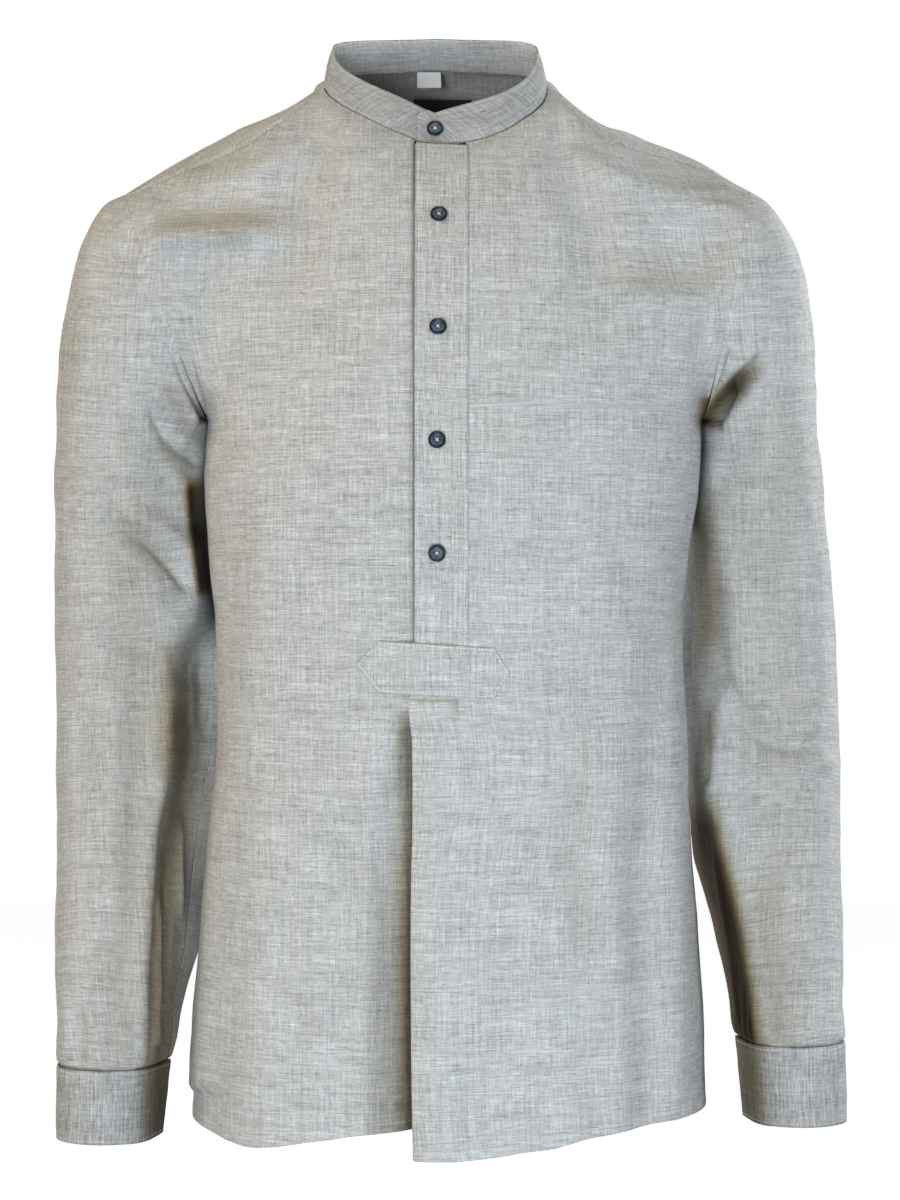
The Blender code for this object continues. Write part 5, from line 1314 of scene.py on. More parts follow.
PAINTED_SHADE_SLEEVE = {
    "right": [
        ([(180, 338), (187, 360), (196, 385), (208, 424)], 5, 9, 0.96, 0.3, 0.05),
        ([(158, 356), (168, 384), (184, 424), (196, 450)], 8, 10, 0.16, 0.4, 0.3),
        ([(189, 470), (190, 500), (193, 530), (198, 565), (203, 604)], 5, 16, 1.0, 0.16, 0.12),
        ([(150, 430), (172, 462), (190, 480)], 7, 6, 0.20, 0.4, 0.1),
        ([(110, 520), (150, 548), (176, 582)], 8, 7, 0.18, 0.4, 0.2),
        ([(192, 640), (184, 680), (180, 730), (178, 790), (168, 850), (160, 930), (156, 1100)], 12, 26, 0.52, 0.2, 0.0),
        ([(168, 620), (168, 700), (166, 800)], 13, 13, 0.28, 0.3, 0.3),
        ([(128, 360), (134, 430), (132, 600), (136, 800), (112, 1100)], 28, 28, 0.13, 0.3, 0.0),
        ([(110, 640), (130, 655), (160, 662)], 8, 8, 0.16, 0.3, 0.3),
        ([(70, 300), (66, 360), (64, 430)], 14, 14, 0.08, 0.4, 0.4),
    ],
    "left": [
        ([(696, 428), (710, 410), (724, 394), (744, 374), (768, 352)], 12, 7, 0.80, 0.1, 0.5),
        ([(700, 470), (702, 520), (704, 570), (706, 620), (702, 690)], 10, 18, 0.46, 0.3, 0.3),
        ([(768, 330), (772, 540), (774, 700), (792, 1100)], 34, 36, 0.12, 0.2, 0.0),
        ([(716, 690), (706, 750), (700, 800)], 8, 8, 0.30, 0.4, 0.2),
        ([(698, 780), (711, 840), (721, 878), (732, 928), (742, 990), (748, 1040), (752, 1104)], 32, 12, 1.0, 0.15, 0.0),
        ([(770, 690), (800, 704), (838, 700)], 7, 7, 0.10, 0.4, 0.4),
        ([(752, 840), (762, 930), (768, 1060)], 22, 26, 0.12, 0.3, 0.0),
    ],
}
PAINTED_SHADE_CUFF = {
    "right": [([(160, 1020), (159, 1100), (159, 1180)], 15, 24, 0.70, 0.0, 0.0)],
    "left": [([(744, 1010), (750, 1100), (753, 1180)], 22, 17, 0.66, 0.0, 0.0)],
}
# the layer under the pleat falls back beside the sharp edge
CREASES_UNDER = [
    ([(410, 700), (413, 730), (415, 800), (416, 900), (418, 1020), (418, 1160)], 10, 12, -12.0, 0.10, 0.0),
    ([(414, 700), (417, 800), (419, 900), (421, 1020), (422, 1160)], 28, 12, -34.0, 0.85, 0.0),
    ([(384, 706), (372, 780), (368, 900), (366, 1020), (366, 1160)], 18, 14, 8.0, 0.2, 0.0),
    ]
CREASES_SLEEVE = {
    "right": [
        ([(104, 226), (114, 210), (128, 196)], 4, 4, -2.5, 0.2, 0.3),
        ([(116, 246), (126, 222), (134, 206)], 3.5, 3.5, 2.2, 0.2, 0.3),
        ([(121, 262), (130, 236), (137, 216)], 4, 4, -2.2, 0.2, 0.3),
        ([(92, 262), (118, 262), (142, 286), (160, 322), (176, 356), (196, 398)], 9, 7, -5.3, 0.12, 0.15),
        ([(128, 246), (150, 280), (172, 330)], 8, 8, 3.4, 0.2, 0.4),
        ([(158, 320), (174, 356), (190, 398), (200, 430)], 8, 7, 5.5, 0.2, 0.2),
        ([(97, 330), (104, 400), (112, 440), (118, 500)], 9, 9, -2.5, 0.3, 0.4),
        ([(146, 396), (158, 424), (176, 448), (202, 464)], 7, 9, -6.0, 0.25, 0.1),
        ([(150, 380), (170, 408), (200, 430)], 9, 9, 4.0, 0.3, 0.2),
        ([(166, 462), (186, 490), (196, 530)], 12, 9, 4.0, 0.3, 0.3),
        ([(92, 506), (118, 508), (150, 500), (182, 508)], 7, 8, -2.3, 0.3, 0.3),
        ([(92, 524), (117, 529), (140, 540), (166, 562), (192, 592)], 6, 10, -6.8, 0.22, 0.12),
        ([(104, 508), (140, 518), (176, 540), (200, 566)], 9, 11, 5.0, 0.3, 0.2),
        ([(112, 546), (140, 566), (166, 594)], 12, 7, 3.4, 0.3, 0.3),
        ([(140, 592), (164, 612), (186, 634)], 9, 9, 2.2, 0.3, 0.3),
        # where the forearm's inner side turns away, and the thin folds on it
        ([(152, 628), (160, 650), (166, 682), (166, 740), (160, 790), (152, 830), (149, 880), (146, 930), (142, 990), (142, 1050)], 12, 5, 4.0, 0.2, 0.1),
        ([(180, 800), (178, 860), (180, 930)], 4, 4, 4.0, 0.3, 0.3),
        ([(168, 810), (167, 870), (166, 950), (160, 1030)], 4, 4, -3.7, 0.3, 0.1),
        ([(158, 880), (158, 960), (154, 1046)], 3, 3, 3.7, 0.3, 0.02),
        ([(112, 640), (118, 740), (116, 840), (112, 960)], 14, 14, 2.2, 0.3, 0.3),
        ([(84, 640), (82, 740), (80, 840), (84, 960)], 12, 12, -2.5, 0.3, 0.3),
        ([(132, 660), (134, 760), (130, 860)], 10, 10, -1.9, 0.3, 0.3),
        ([(72, 870), (90, 878), (110, 872)], 9, 8, -1.6, 0.3, 0.4),
        ([(74, 990), (80, 1020), (82, 1062)], 6, 6, -2.5, 0.4, 0.02),
        ([(110, 1010), (108, 1064)], 8, 8, -1.6, 0.4, 0.02),
        ([(66, 990), (68, 1030), (67, 1058)], 5, 5, 2.2, 0.3, 0.02),
        ([(134, 1010), (136, 1066)], 6, 6, -2.2, 0.3, 0.02),
    ],
    "left": [
        ([(746, 250), (770, 262), (800, 300)], 9, 9, -1.9, 0.3, 0.4),
        ([(768, 232), (790, 262), (806, 300)], 8, 8, 1.7, 0.3, 0.4),
        ([(740, 470), (756, 520), (768, 600)], 14, 14, 2.5, 0.3, 0.4),
        # inner side, by the body
        ([(716, 640), (722, 672), (742, 706), (768, 728)], 6, 8, -5.3, 0.15, 0.3),
        ([(704, 700), (706, 740), (706, 790)], 4, 5, -5.0, 0.15, 0.2),
        ([(726, 720), (722, 780), (732, 850), (744, 930)], 12, 12, 3.1, 0.2, 0.3),
        ([(712, 830), (722, 890), (732, 960), (742, 1030)], 3, 3, 2.5, 0.2, 0.1),
        # elbow
        ([(722, 700), (752, 734), (790, 748), (832, 738)], 6, 8, -5.3, 0.25, 0.15),
        ([(730, 690), (764, 716), (800, 728), (834, 720)], 8, 9, 3.7, 0.3, 0.3),
        ([(744, 760), (780, 770), (820, 764), (838, 748)], 9, 8, 3.7, 0.3, 0.2),
        ([(762, 790), (796, 806), (828, 800)], 7, 7, -2.5, 0.3, 0.3),
        ([(752, 838), (784, 848), (812, 838)], 9, 9, -2.2, 0.3, 0.3),
        ([(760, 818), (790, 826), (816, 820)], 8, 8, 1.9, 0.3, 0.3),
        ([(786, 470), (790, 560), (786, 640)], 14, 14, -2.5, 0.3, 0.4),
        ([(800, 560), (806, 640), (818, 720)], 8, 8, -2.5, 0.3, 0.4),
        ([(748, 880), (760, 940), (770, 1000), (776, 1044)], 9, 9, -2.2, 0.3, 0.02),
        ([(800, 960), (806, 1010), (808, 1040)], 9, 9, -1.9, 0.4, 0.02),
        ([(828, 970), (832, 1036)], 6, 6, 1.9, 0.4, 0.02),
        ([(758, 1000), (762, 1042)], 5, 5, -2.2, 0.4, 0.02),
    ],
}
# the deep folds where the sleeves meet the body
CREASES_ARMPIT = {
    "right": [
        ([(176, 334), (183, 356), (193, 385), (205, 420)], 7, 10, -15.0, 0.35, 0.02),
        ([(162, 330), (170, 352), (180, 384), (194, 424)], 11, 8, 2.5, 0.3, 0.1),
    ],
    "left": [
        ([(708, 424), (722, 401), (742, 378), (770, 352)], 9, 6, -25.0, 0.02, 0.6),
        ([(708, 404), (722, 382), (744, 358), (776, 334)], 6, 16, 5.5, 0.3, 0.5),
        ([(722, 430), (742, 408), (768, 380), (800, 350)], 14, 10, 3.0, 0.05, 0.4),
    ],
}
# where the sleeves' and cuffs' inner sides are pressed in, in the picture: height, the edge where they turn away from
# the front, how much, and how far the cloth beside the edge drops into a trough first
PRESSED = {
    "right": np.array(
        [
            (404.0, 204.0, 0.0, 0.0, 0.0), (430.0, 198.0, 0.7, 0.0, 0.0), (456.0, 192.0, 1.0, 0.0, 0.0),
            (492.0, 187.0, 1.0, 0.0, 0.0), (540.0, 191.0, 1.0, 0.0, 0.0), (580.0, 198.0, 1.0, 0.0, 0.2),
            (612.0, 190.0, 0.7, 0.3, 0.5), (644.0, 170.0, 0.8, 0.7, 0.5), (672.0, 168.0, 1.0, 0.8, 0.2),
            (690.0, 173.0, 1.0, 0.8, 0.1), (712.0, 168.0, 1.0, 0.7, 0.1), (740.0, 172.0, 1.0, 0.6, 0.1),
            (770.0, 168.0, 1.0, 0.5, 0.1), (796.0, 158.0, 1.0, 0.4, 0.1), (822.0, 155.0, 1.0, 0.3, 0.1),
            (850.0, 148.0, 1.0, 0.2, 0.1), (880.0, 147.0, 1.0, 0.1, 0.1), (905.0, 149.0, 1.0, 0.0, 0.1),
            (930.0, 144.0, 1.0, 0.0, 0.1), (990.0, 143.0, 1.0, 0.0, 0.2), (1040.0, 140.0, 0.95, 0.0, 0.4),
            (1075.0, 139.0, 0.8, 0.0, 0.9), (1150.0, 139.0, 0.8, 0.0, 1.0),
        ]
    ),
    "left": np.array(
        [
            (440.0, 712.0, 0.0, 0.0, 1.0), (486.0, 712.0, 0.5, 0.0, 1.0), (530.0, 718.0, 0.9, 0.0, 0.9),
            (572.0, 726.0, 0.95, 0.0, 0.8), (620.0, 733.0, 0.95, 0.0, 0.8), (660.0, 733.0, 0.95, 0.1, 0.7),
            (696.0, 725.0, 0.9, 0.1, 0.6), (730.0, 716.0, 0.85, 0.0, 0.5), (766.0, 710.0, 0.9, 0.0, 0.2),
            (806.0, 712.0, 1.0, 0.0, 0.0), (840.0, 722.0, 1.0, 0.0, 0.0), (862.0, 725.0, 1.0, 0.0, 0.0),
            (884.0, 734.0, 1.0, 0.0, 0.0), (906.0, 735.0, 1.0, 0.0, 0.0), (928.0, 742.0, 1.0, 0.0, 0.0),
            (960.0, 745.0, 1.0, 0.0, 0.1), (990.0, 751.0, 1.0, 0.0, 0.2), (1030.0, 758.0, 0.95, 0.0, 0.5),
            (1060.0, 762.0, 0.8, 0.0, 0.9), (1150.0, 765.0, 0.8, 0.0, 1.0),
        ]
    ),
}
# hidden sides, in mm: X and Z on the back; degrees round and mm down the sleeve
CREASES_BACK = [
    ([(-160, -150), (-110, -210), (-60, -300)], 14, 18, -4.7, 0.1, 0.5),
    ([(168, -160), (120, -225), (60, -310)], 16, 14, -4.3, 0.1, 0.5),
    ([(-150, -250), (-120, -330), (-104, -430)], 10, 14, 4.0, 0.15, 0.5),
    ([(166, -262), (140, -350), (128, -440)], 14, 10, 3.6, 0.15, 0.5),
    ([(-46, -120), (-50, -230), (-58, -360)], 13, 16, 2.9, 0.2, 0.5),
    ([(52, -118), (50, -240), (54, -350)], 16, 13, 2.7, 0.2, 0.5),
    ([(-70, -430), (-48, -520), (-40, -640), (-44, -775)], 13, 18, -6.5, 0.25, 0.0),
    ([(-20, -470), (-6, -560), (-2, -680), (-4, -775)], 16, 15, 4.7, 0.3, 0.0),
    ([(48, -450), (44, -560), (50, -680), (52, -770)], 15, 12, -5.4, 0.25, 0.0),
    ([(104, -500), (110, -600), (108, -760)], 13, 14, 4.0, 0.3, 0.0),
    ([(-120, -520), (-128, -640), (-130, -760)], 13, 12, 3.6, 0.3, 0.0),
    ([(-94, -400), (-20, -418), (60, -408), (104, -392)], 14, 12, -2.9, 0.3, 0.3),
    ([(-80, -376), (0, -388), (84, -372)], 12, 14, 2.3, 0.3, 0.3),
]
CREASES_SLEEVE_BACK = {
    "right": [
        ([(196, 60), (232, 110), (268, 150)], 12, 16, -3.0, 0.05, 0.5),
        ([(212, 150), (240, 190), (262, 262)], 12, 12, 1.8, 0.2, 0.5),
        ([(198, 310), (238, 322), (286, 300)], 16, 12, -3.2, 0.15, 0.35),
        ([(204, 342), (242, 352), (290, 336)], 12, 14, 2.0, 0.2, 0.35),
        ([(206, 376), (246, 382), (280, 372)], 12, 10, -2.0, 0.2, 0.4),
        ([(248, 430), (240, 500), (232, 610)], 10, 9, -2.6, 0.2, 0.05),
        ([(290, 420), (282, 520), (276, 600)], 12, 12, 1.6, 0.3, 0.1),
        ([(330, 380), (336, 470), (330, 580)], 10, 10, -1.2, 0.3, 0.2),
        ([(318, 120), (322, 210), (316, 300)], 12, 12, -1.2, 0.3, 0.4),
    ],
    "left": [
        ([(196, 66), (236, 120), (272, 170)], 12, 15, -2.8, 0.05, 0.5),
        ([(206, 140), (238, 200), (256, 270)], 12, 12, 1.7, 0.2, 0.5),
        ([(200, 300), (236, 318), (284, 308)], 15, 12, -3.0, 0.15, 0.35),
        ([(206, 334), (244, 346), (292, 328)], 12, 14, 1.9, 0.2, 0.35),
        ([(202, 366), (240, 376), (282, 360)], 12, 10, -1.9, 0.2, 0.4),
        ([(252, 430), (244, 510), (234, 600)], 10, 9, -2.4, 0.2, 0.05),
        ([(292, 410), (286, 510), (278, 596)], 12, 12, 1.5, 0.3, 0.1),
        ([(326, 390), (332, 480), (328, 570)], 10, 10, -1.1, 0.3, 0.2),
        ([(316, 130), (320, 220), (312, 310)], 12, 12, -1.1, 0.3, 0.4),
    ],
}

# ================================================================ pieces
LINEN_DARK, LINEN_LIGHT = (0.215, 0.210, 0.196), (0.815, 0.830, 0.835)
cloth = linen("linen_shirt", LINEN_DARK, LINEN_LIGHT)
cloth_band = linen("linen_band", [0.84 * c for c in LINEN_DARK], [0.84 * c for c in LINEN_LIGHT], weft=0.75, warp=1.5, slub=1.5, fleck=1.2, seed=7.3, contrast=1.15, crumple=0.8)
cloth_placket = linen("linen_placket", LINEN_DARK, LINEN_LIGHT, weft=0.9, warp=1.35, slub=1.1, seed=5.1, crumple=0.9)
# painted shade: the collar's linen is a darker copy of the cloth, which offsets the light the top_front lamp throws on
# it
cloth_collar_painted_shade = linen("linen_collar_painted_shade", [0.72 * c for c in LINEN_DARK], [0.80 * c for c in LINEN_LIGHT], weft=0.75, warp=1.35, slub=1.3, fleck=1.0, seed=9.7, contrast=1.0, crumple=0.9)
# painted light: the collar's inner faces get a lighter copy of the cloth, standing in for light that doesn't reach into
# the neck
cloth_inside_painted_light = linen("linen_inside_painted_light", [1.1 * c for c in LINEN_DARK], [1.15 * c for c in LINEN_LIGHT], weft=0.9, warp=0.9, slub=1.0, seed=8.3, crumple=0.9)
cloth_tab = linen("linen_tab", LINEN_DARK, LINEN_LIGHT, weft=0.85, warp=1.15, seed=3.9, slub=1.2, crumple=0.7)
grey_thread = thread_cotton("thread_grey", (0.74, 0.75, 0.74))
pale_thread = thread_cotton("thread_pale", (0.86, 0.87, 0.87))
navy = horn_navy()


def area_of(grid, holes=None):
    """Square metres of a grid of cloth."""
    a, b, d, e = grid[:-1, :-1], grid[1:, :-1], grid[1:, 1:], grid[:-1, 1:]
    each = 0.5 * (np.linalg.norm(np.cross(b - a, d - a), axis=2) + np.linalg.norm(np.cross(d - a, e - a), axis=2))
    if holes is not None:
        each = each * ~holes
    return float(each.sum()) / 1e6


def declare(obj, node):
    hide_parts(node)
    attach(obj, "root")


# ---------------------------------------------------------------- front
across_front = shares(74, 290.0, first=True, extra=(NECK_COLUMN,))
rows_up = shares(56, 190.0, last=True)
z_lower = np.unique(np.concatenate([np.linspace(-241.0, -412.0, 46), np.linspace(-412.0, -440.0, 8), np.linspace(-440.0, -452.0, 13), np.linspace(-452.0, -742.0, 74)]))[::-1]
z_lower = np.concatenate([z_lower, [-743.0, -743.7, -744.3, -745.0, -747.0, -749.0, -749.6, -750.0]])
front, front_holes = front_grid(across_front, across_front[::-1], rows_up, z_lower.tolist())
# three more columns between the pleat and the left half, for the short fold under the tab
last_run = front.shape[0] - len(across_front) - 1
more = np.array([0.25, 0.5, 0.75])[:, None, None]
more = front[last_run : last_run + 1] * (1 - more) + front[last_run + 1 : last_run + 2] * more
front = np.concatenate([front[: last_run + 1], more, front[last_run + 1 :]])
front_holes = np.concatenate([front_holes[:last_run], np.repeat(front_holes[last_run : last_run + 1], 4, axis=0), front_holes[last_run + 1 :]])
pleat_count = front.shape[0] - 2 * len(across_front)
spread = np.exp(-0.5 * (np.arange(-6, 7) / 2.6) ** 2)
spread /= spread.sum()
neck_column = int(np.argmin(np.abs(across_front - NECK_COLUMN)))
for middle_column in (neck_column, front.shape[0] - 1 - neck_column):
    near = np.arange(middle_column - 11, middle_column + 12)
    evened = sum(weight * front[near + offset] for offset, weight in zip(range(-6, 7), spread))
    share = (np.exp(-(((near - middle_column) / 5.5) ** 2))[:, None] * ease((lengths(front, 1)[near] - 1.0) / 12.0))[..., None]
    front[near] = front[near] * (1 - share) + evened * share
flat_front = lay_panel(front, len(across_front) - 1, len(rows_up) - 1)
# the number of rows above the slit's end
upper_rows_count = len(rows_up) - 1 + int(np.argmin(np.abs(z_lower - SLIT_END_Z)))


def keep_flat(grid):
    """0 under the band and the tab, easing to 1 beside them."""
    x, z = grid[..., 0], grid[..., 2]
    band = np.hypot(np.maximum(np.abs(x + 0.15) - 18.3, 0.0), np.maximum(SLIT_END_Z - z, 0.0))
    tab = np.hypot(np.maximum(np.abs(x + 4.7) - 50.0, 0.0), np.maximum(np.abs(z + 422.0) - 17.5, 0.0))
    return ease(band / 9.0) * ease(tab / 6.0)


body_out = np.stack([(front[..., 0] - 8.0) / 1.6, front[..., 1], np.zeros(front.shape[:2])], axis=-1)
body_out /= np.linalg.norm(body_out, axis=-1, keepdims=True)
own_out = front_normal(front)
near_pleat = (1 - ease((np.abs(front[..., 0] + 5.0) - 34.0) / 30.0)) * (front[..., 2] < SLIT_END_Z + 1.0)
front_out = own_out * (1 - near_pleat[..., None]) + body_out * near_pleat[..., None]
front_out /= np.maximum(np.linalg.norm(front_out, axis=-1, keepdims=True), 1e-9)
u_front, v_front = seen(front)
free_front = kept(front, ["c0", "c1"], 17.0) * ease((lengths(front, 1)) / 10.0) * keep_flat(front)
moved = crease_height(u_front, v_front, CREASES_FRONT)
# the right half and the pleat's first run, up to its turn, lie under the rest
lowest = (np.arange(front.shape[0]) < len(across_front) + 6)[:, None]
moved += crease_height(u_front, v_front, CREASES_UNDER) * lowest
worn = drift(front[..., 0], front[..., 2], 38.0, 4, 1.2) * 0.55 + drift(front[..., 0], front[..., 2], 15.0, 5, 1.0, 30.0) * 0.24
worn += drift(front[..., 0], front[..., 2], 7.0, 6, 1.3, -20.0) * 0.08
front = front + front_out * ((moved + worn) * free_front)[..., None]
front = rolled(front, -1.0, ["c0", "c1"], depth=0.4)
# at the neck it comes up to the foot of the collar, elsewhere it goes under the yoke
at_neck = ease((92.0 - np.abs(front[:, :1, 0])) / 10.0)[..., None]
front = tucked(front, -1.0, "r0", 3.2, 0.38) * (1 - at_neck) + tucked(front, -1.0, "r0", 1.9, -0.45) * at_neck
hem_down = lengths(front, 1)
hem_down = hem_down[:, -1:] - hem_down
front = front - normals(front, False) * (0.22 * ease((6.8 - hem_down) / 0.8) - 0.25 * np.exp(-(((hem_down - 6.2) / 0.7) ** 2)))[..., None]
# painted shade in the front's folds, the pleat's hollow and the line under the tab
painted_shade_front = crease_height(*seen(front), PAINTED_SHADE_FRONT) + crease_height(*seen(front), PAINTED_SHADE_UNDER) * lowest
front_obj = shell("front_cloth", front, THIN, -1.0, flat_front, cloth, front_holes, painted_shade_front)

# ---------------------------------------------------------------- back
across_back = shares(94, 600.0, first=True, last=True) * 2 - 1
back_up = shares(50, 150.0, last=True) * 0.992
back_top = back_upper(across_back, back_up)[:, ::-1]
z_back = np.concatenate([np.linspace(-241.0, -742.0, 108), [-743.0, -743.7, -744.3, -745.0, -747.0, -749.0, -749.6, -750.0]])
back_low = np.zeros((len(across_back), len(z_back), 3))
for r, z in enumerate(z_back):
    curve = body_half(z, back=True)
    centre = side_share(curve, YOKE_BACK_CENTRE[0])
    share = np.where(across_back < 0, centre * (1 + across_back), centre + (1 - centre) * across_back)
    row = along(curve, share)
    row[:, 2] = hem_follow(np.full(len(row), float(z)), hem_height(HEM_BACK, row[:, 0]))
    back_low[:, r] = with_folds(row, FOLDS_BACK)
back = np.concatenate([back_top[:, :-1], back_low], axis=1)
back[..., 1] += (SEAM + 0.1) * np.exp(-(((1 - np.abs(across_back)) / 0.05) ** 2))[:, None]
flat_back = lay_panel(back, len(across_back) // 2, len(back_up) - 1)
back_out = normals(back, False)
moved = crease_height(back[..., 0], back[..., 2], CREASES_BACK)
worn = drift(back[..., 0], back[..., 2], 40.0, 14, 1.2) * 0.9 + drift(back[..., 0], back[..., 2], 16.0, 15, 1.0, 30.0) * 0.28
worn += drift(back[..., 0], back[..., 2], 7.0, 16, 1.3, -20.0) * 0.08
back = back + back_out * ((moved + worn) * kept(back, ["c0", "c1", "r0"], 16.0))[..., None]
back = rolled(back, 1.0, ["c0", "c1"], depth=0.4)
back = tucked(back, 1.0, "r0", 1.9, 0.9)
hem_down = lengths(back, 1)
hem_down = hem_down[:, -1:] - hem_down
back = back + normals(back, False) * (0.22 * ease((6.8 - hem_down) / 0.8) - 0.25 * np.exp(-(((hem_down - 6.2) / 0.7) ** 2)))[..., None]
back_obj = shell("back_cloth", back, THIN, 1.0, flat_back, cloth)

# ---------------------------------------------------------------- yoke
shoulder_fine = YOKE_NECK + (1 - YOKE_NECK) * shares(34, 150.0, last=True)
yoke_across = np.concatenate([-shoulder_fine[::-1], np.linspace(-YOKE_NECK, YOKE_NECK, 60)[1:-1], shoulder_fine])
yoke_down = 0.010 + (0.994 - 0.010) * shares(46, 120.0, first=True, last=True)
yoke = yoke_surface(yoke_across, yoke_down)
flat_yoke = lay_yoke(yoke, len(yoke_across) // 2, len(yoke_down) - 1)
worn = drift(yoke[..., 0], yoke[..., 1], 34.0, 24, 1.1) * 0.6 + drift(yoke[..., 0], yoke[..., 1], 13.0, 25) * 0.2
yoke = yoke + normals(yoke, False) * (worn * kept(yoke, ["c0", "c1", "r0", "r1"], 14.0))[..., None]
yoke = rolled(yoke, 1.0, ["c0", "c1", "r0", "r1"], reach=1.2, depth=0.25)
# its neck edge goes on to the foot of the collar
neck_only = ease((YOKE_NECK + 0.01 - np.abs(yoke_across)) / 0.02)[:, None, None]
yoke = yoke * (1 - neck_only) + tucked(yoke, 1.0, "r0", 2.3, -1.3) * neck_only
yoke_obj = shell("yoke_cloth", yoke, THIN, 1.0, flat_yoke, cloth)

# ---------------------------------------------------------------- placket and the strip under it
placket_rows = shares(60, 190.0)
right_edge, left_edge = placket_edges(placket_rows, z_lower.tolist())
right_edge, left_edge = right_edge.copy(), left_edge.copy()
base_left = left_edge.copy()
base_left[:, 1] += 1.1
under = strip(right_edge, base_left, SLIT_LEFT + 0.35, 14.5, 8, -0.1)
placket = strip(right_edge, base_left, PLACKET_LEFT, PLACKET_RIGHT + 1.9, 28, 1.5)
for piece in (under, placket):
    step = piece[:, 1] - piece[:, 0]
    piece[:, 0] += step * 6.0 / np.linalg.norm(step, axis=1, keepdims=True)
    piece[..., 1] += 0.4 * (1 - ease(lengths(piece, 1) / 13.0))
under[:, -1, 2] += 0.6
placket[:, -1, 2] += 0.6
placket_flat_grid = placket.copy()
x, z = placket[..., 0], placket[..., 2]
puckers = drift(x, z, 24.0, 34, 1.0) * 0.35 + drift(x, z, 9.0, 35, 1.5) * 0.14
placket = placket + front_normal(placket) * (puckers * kept(placket, ["r0", "r1"], 8.0) * (0.35 + 0.65 * kept(placket, ["c0", "c1"], 6.0)))[..., None]
flat_placket = lay_flat(placket, 13, 0)
from_left, from_right = lengths(placket, 0), lengths(placket[::-1], 0)[::-1]
placket = placket + front_normal(placket) * ((0.25 + 0.45 * ease((-placket[..., 2] - 150.0) / 90.0)) * (1 - ease(from_left / 7.0)) - 0.12 * (1 - ease(from_right / 1.6)))[..., None]
placket_obj = shell("placket_cloth", placket, BAND_THIN, -1.0, flat_placket, cloth_placket)
under_obj = shell("placket_under_cloth", under, THIN, -1.0, lay_flat(under, 4, 0), cloth_band)

# ---------------------------------------------------------------- collar
whole_collar = COLLAR_UNDER_END + 360.0 - COLLAR_TOP_END
travel = np.unique(np.concatenate([np.linspace(0, 1, 300), 1 - np.linspace(0, 0.03, 22)]))
collar = collar_surface(travel, np.linspace(0, 1, 26))
flat_collar = lay_flat(collar, len(travel) // 2, 0)
s_collar, t_collar = flat_collar[..., 0], flat_collar[..., 1]
worn = drift(s_collar, t_collar, 30.0, 44, 1.2) * 0.35 + drift(s_collar, t_collar, 10.0, 45, 0.6) * 0.14
# small puckers across the band, between its two seams
worn += drift(s_collar + t_collar * 0.3, t_collar * 0.22, 5.2, 46, 1.0) * 0.26
collar = collar - normals(collar, False) * (worn * kept(collar, ["c0", "c1", "r0", "r1"], 5.0))[..., None]
rim_edge = edge_distance(collar, ["r0", "r1", "c1"])
collar = collar - normals(collar, False) * (-0.16 * np.exp(-(((rim_edge - 2.2) / 0.55) ** 2)))[..., None]
collar_wall = 0.35 + (BAND_THIN - 0.35) * ease(lengths(collar, 1)[..., None] / 2.2)
collar_obj = shell("collar_cloth", collar, collar_wall, -1.0, flat_collar, cloth_collar_painted_shade, inside=cloth_inside_painted_light)

# ---------------------------------------------------------------- tab
breaks = (TAB[1:-1, 0] - TAB[0, 0]) / (TAB[-1, 0] - TAB[0, 0])
tab_across = np.unique(np.round(np.concatenate([np.linspace(0, 1, 90), breaks]), 6))
tab = tab_surface(tab_across, np.linspace(0, 1, 34))
flat_tab = np.stack([tab[..., 0], tab[..., 2]], axis=2)
tab_x, tab_z = tab[..., 0], tab[..., 2]
outline = [(TAB[k, 0], TAB[k, 1]) for k in range(len(TAB))] + [(TAB[k, 0], TAB[k, 2]) for k in range(len(TAB) - 1, -1, -1)]
tab_edge = to_line(tab_x, tab_z, np.array(outline + outline[:1]))[0]
# it lies on what is under it
below = np.concatenate([front.reshape(-1, 3), (placket + [0, -0.25, 0]).reshape(-1, 3)])
below = below[(np.abs(below[:, 0] + 4.7) < 62.0) & (np.abs(below[:, 2] + 422.0) < 32.0)]
resting = np.zeros(tab_x.shape)
for k in range(tab.shape[0]):
    for r in range(tab.shape[1]):
        away = np.hypot(below[:, 0] - tab_x[k, r], below[:, 2] - tab_z[k, r])
        near = away < 5.0
        depth = below[near, 1]
        weight = np.exp(-((away[near] / 2.4) ** 2)) * np.exp(-np.maximum(depth - depth.min() - 0.5, 0.0) / 0.5)
        resting[k, r] = (weight * depth).sum() / weight.sum()
soft = np.exp(-0.5 * (np.arange(-3, 4) / 1.4) ** 2)
soft /= soft.sum()
padded = np.pad(resting, 3, mode="edge")
padded = sum(w * padded[i : i + resting.shape[0]] for i, w in enumerate(soft))
resting = sum(w * padded[:, i : i + resting.shape[1]] for i, w in enumerate(soft))
tab[..., 1] = resting - 0.85
worn = drift(tab_x, tab_z, 20.0, 54, 1.3) * 0.3 + drift(tab_x, tab_z, 8.0, 55, 1.2) * 0.12
raised = worn * ease(tab_edge / 5.0) + 0.5 * ease((tab_edge - 0.1) / 0.9) - 0.45 * np.exp(-(((tab_edge - 2.0) / 0.8) ** 2))
tab = tab + front_normal(tab) * raised[..., None]
tab_obj = shell("tab_cloth", tab, THIN, -1.0, flat_tab, cloth_tab)

